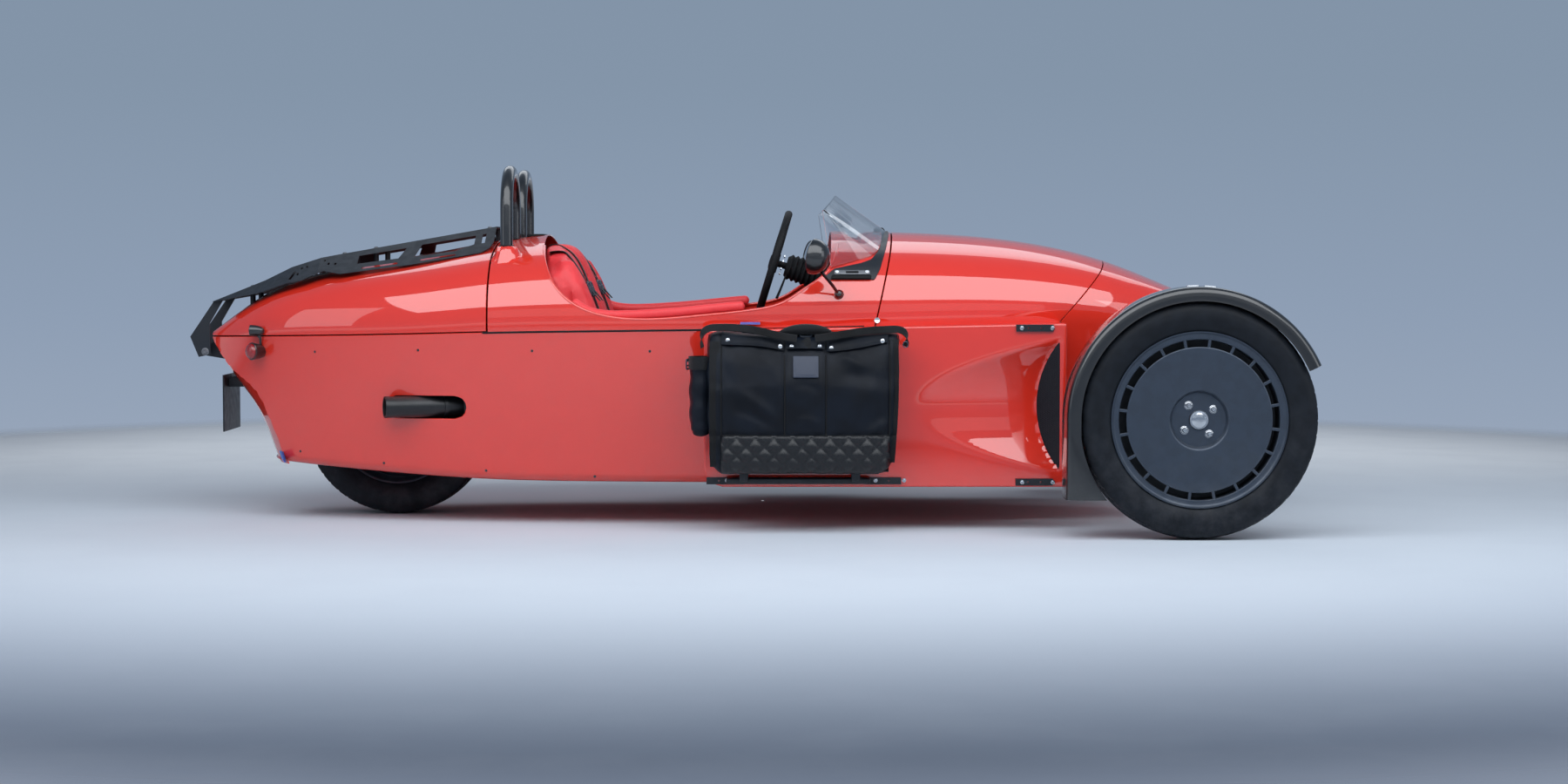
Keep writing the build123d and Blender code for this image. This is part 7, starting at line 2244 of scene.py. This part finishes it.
class CAR_OT_lamps(bpy.types.Operator):
    """Bullet tail lamps and signals, and round headlamps with fluted glass"""

    bl_idname = "car.lamps"
    bl_label = "Lamps"

    def execute(self, context):
        body = revolve([(0.0, -0.074), (0.004, -0.0725), (0.011, -0.062), (0.019, -0.044), (0.025, -0.024),
                        (0.0282, -0.008), (0.0292, -0.001), (0.0292, 0.0012), (0.0278, 0.003),
                        (0.0262, 0.003), (0.0258, 0.0)], LAMP_PLACE, LAMP_FACING, 48)
        lens = revolve([(0.0, -0.004), (0.0256, -0.004), (0.0256, 0.0022), (0.025, 0.0062), (0.0214, 0.012),
                        (0.013, 0.0168), (0.0, 0.0188)], LAMP_PLACE, LAMP_FACING, 48)
        signal = revolve([(0.0, -0.046), (0.005, -0.045), (0.0105, -0.04), (0.015, -0.03), (0.0174, -0.018),
                          (0.018, -0.008), (0.018, 0.0008), (0.017, 0.002), (0.016, 0.0004)],
                         SIGNAL_PLACE, SIGNAL_FACING, 40)
        amber = revolve([(0.0, -0.003), (0.016, -0.003), (0.0158, 0.0012), (0.011, 0.0042), (0.0, 0.0055)],
                        SIGNAL_PLACE, SIGNAL_FACING, 40)
        stem = tube(np.linspace(SIGNAL_PLACE + (0.03, 0, -0.01), LAMP_PLACE + (0.026, 0.018, 0.018), 8),
                    0.0038, 14)
        nut = tube(np.linspace(SIGNAL_PLACE + (0.029, 0, -0.016), SIGNAL_PLACE + (0.0285, 0.0015, -0.023), 4),
                   0.006, 6)
        foot = LAMP_PLACE - np.asarray(LAMP_FACING) * 0.045
        end = (foot[0] + 0.012, 0.004 - float(hull_side(foot[0], foot[2])), foot[2])
        arm = tube(np.linspace(foot, end, 6), 0.0075, 16)
        shells = gather([body, signal, stem, nut, arm])
        headlamp, glass, bowl = self.headlamp()
        for name, form, slot, material, replaced in (
                ("tail_lamp_*", shells, "black_satin", "gloss_black", "tail_lamps"),
                ("tail_lens_*", lens, "red_lens", "red_lens", "tail_lenses"),
                ("signal_lens_*", amber, "red_lens", "amber_lens", None),
                ("headlamp_*", headlamp, "black_satin", "gloss_black", "headlamps"),
                ("headlamp_glass_*", glass, "lamp_glass", "lamp_glass", "headlamp_lenses"),
                ("headlamp_bowl_*", bowl, "bare_metal", "bright", None)):
            right, _ = both(name, form, "chassis", slot, material)
            if replaced:
                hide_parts(replaced)
        return {"FINISHED"}

    def headlamp(self):
        """Shell with rim and stem, domed glass with flutes, and the bright bowl behind it."""
        r = HEADLAMP_R
        shell_line = [(0.0, -0.12), (0.012, -0.1195), (0.032, -0.113), (0.054, -0.096), (0.072, -0.068),
                      (0.0815, -0.036), (0.084, -0.01), (r, -0.008), (r, 0.0), (r - 0.0025, 0.004),
                      (r - 0.0075, 0.0045), (r - 0.0095, 0.001), (r - 0.0095, -0.006)]
        shell_form = revolve(shell_line, HEADLAMP_PLACE, (1, 0, 0), 72)
        place = HEADLAMP_PLACE + (-0.06, 0, -0.06)
        bend = [place, place + (-0.012, 0.01, -0.04), place + (-0.03, 0.05, -0.062)]
        stem = tube(smooth_line(bend, 12), 0.012, 16)
        lens_r, crown = r - 0.01, 0.0075
        lens_line = [(0.0, -0.006), (lens_r, -0.006)]
        lens_line += [(lens_r * math.sqrt(1 - s ** 2), crown * s) for s in np.linspace(0, 1, 16)[:-1]]
        glass, faces = revolve(lens_line + [(0.0, crown)], HEADLAMP_PLACE, (1, 0, 0), 96)
        x, y, z = (glass - HEADLAMP_PLACE).T
        flutes = 0.0007 * np.cos(y * 520) * ease(1 - np.hypot(y, z) / lens_r, 0.05, 0.2)
        glass[:, 0] += np.where(x > 0, flutes, 0)
        bowl = revolve([(0.0, -0.05), (0.03, -0.044), (0.056, -0.026), (r - 0.011, -0.0065),
                        (r - 0.013, -0.0065), (0.055, -0.028), (0.029, -0.047), (0.0, -0.053)],
                       HEADLAMP_PLACE, (1, 0, 0), 64)
        return gather([shell_form, stem]), (glass, faces), bowl


class CAR_OT_exhaust(bpy.types.Operator):
    """Black exhaust outlet with a rolled tip, standing a little out of its slot"""

    bl_idname = "car.exhaust"
    bl_label = "Exhaust"

    def execute(self, context):
        axis = unit(PIPE_TIP - PIPE_IN)
        long = math.dist(PIPE_TIP, PIPE_IN)
        profile = [(PIPE_R, -long), (PIPE_R, -0.01), (PIPE_R + 0.0008, -0.004), (PIPE_R + 0.0002, 0.0),
                   (PIPE_R - 0.0022, 0.0008), (PIPE_R - 0.0042, -0.0012), (PIPE_R - 0.0042, -0.07),
                   (0.0, -0.074), (0.0, -long)]
        pipe = revolve(profile, PIPE_TIP, axis, 64)
        rear, front = 0.058 - long, 0.07 - long
        ring = revolve([(PIPE_R, rear), (PIPE_R + 0.004, rear), (PIPE_R + 0.004, front), (PIPE_R, front)],
                       PIPE_TIP, axis, 48)
        drum = revolve([(0.0, -0.005), (0.045, -0.005), (0.062, 0.004), (0.068, 0.018), (0.068, 0.14),
                        (0.062, 0.15), (0.0, 0.155)], (-0.86, -0.342, 0.3795), (1, 0, 0), 48)
        piece = put("exhaust_outlet", *gather([pipe, ring, drum]), "chassis", "exhaust_black",
                    MATERIALS["exhaust"])
        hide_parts("exhaust")
        return {"FINISHED"}


class CAR_OT_fixings(bpy.types.Operator):
    """Bolts on bars and rack, hull rivets, bonnet latches, hoop pad and protective film"""

    bl_idname = "car.fixings"
    bl_label = "Fixings"

    def execute(self, context):
        bars, rack = node_tree("pannier_bars"), node_tree("luggage_rack")
        on_body, on_rack = [], []
        for x, z in BAR_BOLTS:
            hit = bars.ray_cast((x, -1.5, z), (0, 1, 0))[0]
            on_body.append(bolt((x, hit.y if hit else BAR_FACE_Y, z), 0.005, 0.003))
        for x, y in RACK_BOLTS:
            hit = rack.ray_cast((x, -y, 2.0), (0, 0, -1))[0]
            if hit:
                on_rack.append(bolt((x, -y, hit.z), 0.0065, 0.0045, (-0.17, 0, 1)))
        place = (HINGE_X, rack.ray_cast((HINGE_X, -1.5, 0.5545), (0, 1, 0))[0].y, 0.545)
        pivot = gather([bolt(place, 0.0085, 0.006), self.washer(place, 0.0125)])
        rivets = [dome((x, -float(hull_side(x, z)) - 0.003, z), 0.0045, 0.0022, (0, -1, -0.1), 14)
                  for x, z in RIVETS]
        latch = (0.471, -float(skin_half(0.471, 0.66)) - 0.004, 0.66)
        on_body.append(revolve([(0.0, -0.004), (0.0095, -0.004), (0.01, 0.0015), (0.0085, 0.0032),
                                (0.0035, 0.0026), (0.0, 0.0026)], latch, (0, -1, 0.25), 28))
        both("rack_pivot_*", pivot, "tail", "bare_metal", "dull_metal")
        both("bright_bolts_*", gather(on_body), "chassis", "bare_metal", "bright")
        both("rack_bolts_*", gather(on_rack), "tail", "bare_metal", "dull_metal")
        both("hull_rivets_*", gather(rivets), "chassis", "black_satin", "satin_black")
        top = float(skin_top(-0.654, 0.0))
        pad = box_form((-0.684, -0.07, top - 0.004), (-0.624, 0.07, top + 0.009), 0.005, 5)
        put("hoop_pad", *pad, "chassis", "black_rubber", MATERIALS["rubber"])
        self.seal()
        self.film()
        return {"FINISHED"}

    def seal(self):
        """Black bead in the joint between cowl and hull, from the tail lid to the blade."""
        x = np.linspace(-0.785, 0.43, 70)
        half, level = stations(x)[:2]
        bead = tube(np.column_stack([x, -(half + 0.003), level]), 0.0032, 10)
        both("chine_bead_*", bead, "chassis", "black_rubber", "rubber")

    def washer(self, place, radius):
        """Flat washer round the rack's hinge bolt."""
        return revolve([(radius * 0.4, -0.001), (radius, -0.001), (radius, 0.0012), (radius * 0.4, 0.0012),
                        (radius * 0.4, -0.001)], place, (0, -1, 0), 32)

    def film(self):
        """Two small pieces of protective film: low on the transom wall and on the blade's shoulder."""
        y, z = np.linspace(-0.262, -0.187, 10)[:, None], np.linspace(0.186, 0.22, 10)[None, :]
        low = shell(stacked(transom_x(y, z) - 0.0015, y, z), grid_faces(10, 10), 0.001)
        x, share = np.linspace(0.038, 0.1, 12)[:, None], np.linspace(0, 1, 5)[None, :]
        rail = shell(stacked(x, -0.568 - 0.034 * share, 0.656 - 0.006 * share), grid_faces(12, 5), 0.001)
        put("film_right", *gather([low, rail]), "chassis", "coral_paint", MATERIALS["blue_film"])


# ------------------------------------------------------------------ carried-over frame pieces
CARRIED = {
    "bulkheads": "satin_black", "front_frame": "satin_black", "suspension": "satin_black",
    "upright_left": "dull_metal", "upright_right": "dull_metal", "swing_arm": "satin_black",
    "track_rods": "dull_metal", "engine_block": "engine", "pannier_bars": "satin_black",
    "rear_foot": "satin_black", "number_plate": "satin_black", "luggage_rack": "satin_black",
    "dashboard": "satin_black",
}


class CAR_OT_frame_finish(bpy.types.Operator):
    """Finishes on the frame's own pieces that stay in view"""

    bl_idname = "car.frame_finish"
    bl_label = "Frame finishes"

    def execute(self, context):
        for name, finish in CARRIED.items():
            mesh = NODES[name].data
            mesh.materials.clear()
            mesh.materials.append(MATERIALS[finish])
        return {"FINISHED"}


class CAR_PT_panel(bpy.types.Panel):
    """Sizes, colours and build steps of the car"""

    bl_idname = "CAR_PT_panel"
    bl_label = "Three-wheeled car"
    bl_space_type = "VIEW_3D"
    bl_region_type = "UI"
    bl_category = "Car"

    def draw(self, context):
        for group in (context.scene.car_sizes, context.scene.car_colours):
            for name in group.bl_rna.properties.keys():
                if name not in ("rna_type", "name"):
                    self.layout.prop(group, name)
        for step in STEPS:
            self.layout.operator(step.bl_idname)


STEPS = (CAR_OT_stage, CAR_OT_frame_finish, CAR_OT_tail_lid, CAR_OT_cowl, CAR_OT_bonnet, CAR_OT_nose,
         CAR_OT_hull, CAR_OT_blades, CAR_OT_hoops, CAR_OT_front_wheels, CAR_OT_tyres, CAR_OT_rear_wheel,
         CAR_OT_mudguards, CAR_OT_seats, CAR_OT_sill_pads, CAR_OT_belts, CAR_OT_lining, CAR_OT_steering,
         CAR_OT_dash, CAR_OT_screens, CAR_OT_mirrors, CAR_OT_panniers, CAR_OT_lamps, CAR_OT_exhaust,
         CAR_OT_fixings)
CLASSES = (CarSizes, CarColours, *STEPS, CAR_PT_panel)


def register():
    for item in CLASSES:
        bpy.utils.register_class(item)
    bpy.types.Scene.car_sizes = PointerProperty(type=CarSizes)
    bpy.types.Scene.car_colours = PointerProperty(type=CarColours)


def unregister():
    del bpy.types.Scene.car_sizes, bpy.types.Scene.car_colours
    for item in reversed(CLASSES):
        bpy.utils.unregister_class(item)


def main():
    register()
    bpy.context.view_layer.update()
    MATERIALS.update(make_materials(bpy.context.scene.car_colours))
    for step in STEPS:
        area, name = step.bl_idname.split(".")
        getattr(getattr(bpy.ops, area), name)()


if __name__ == "__main__":
    main()
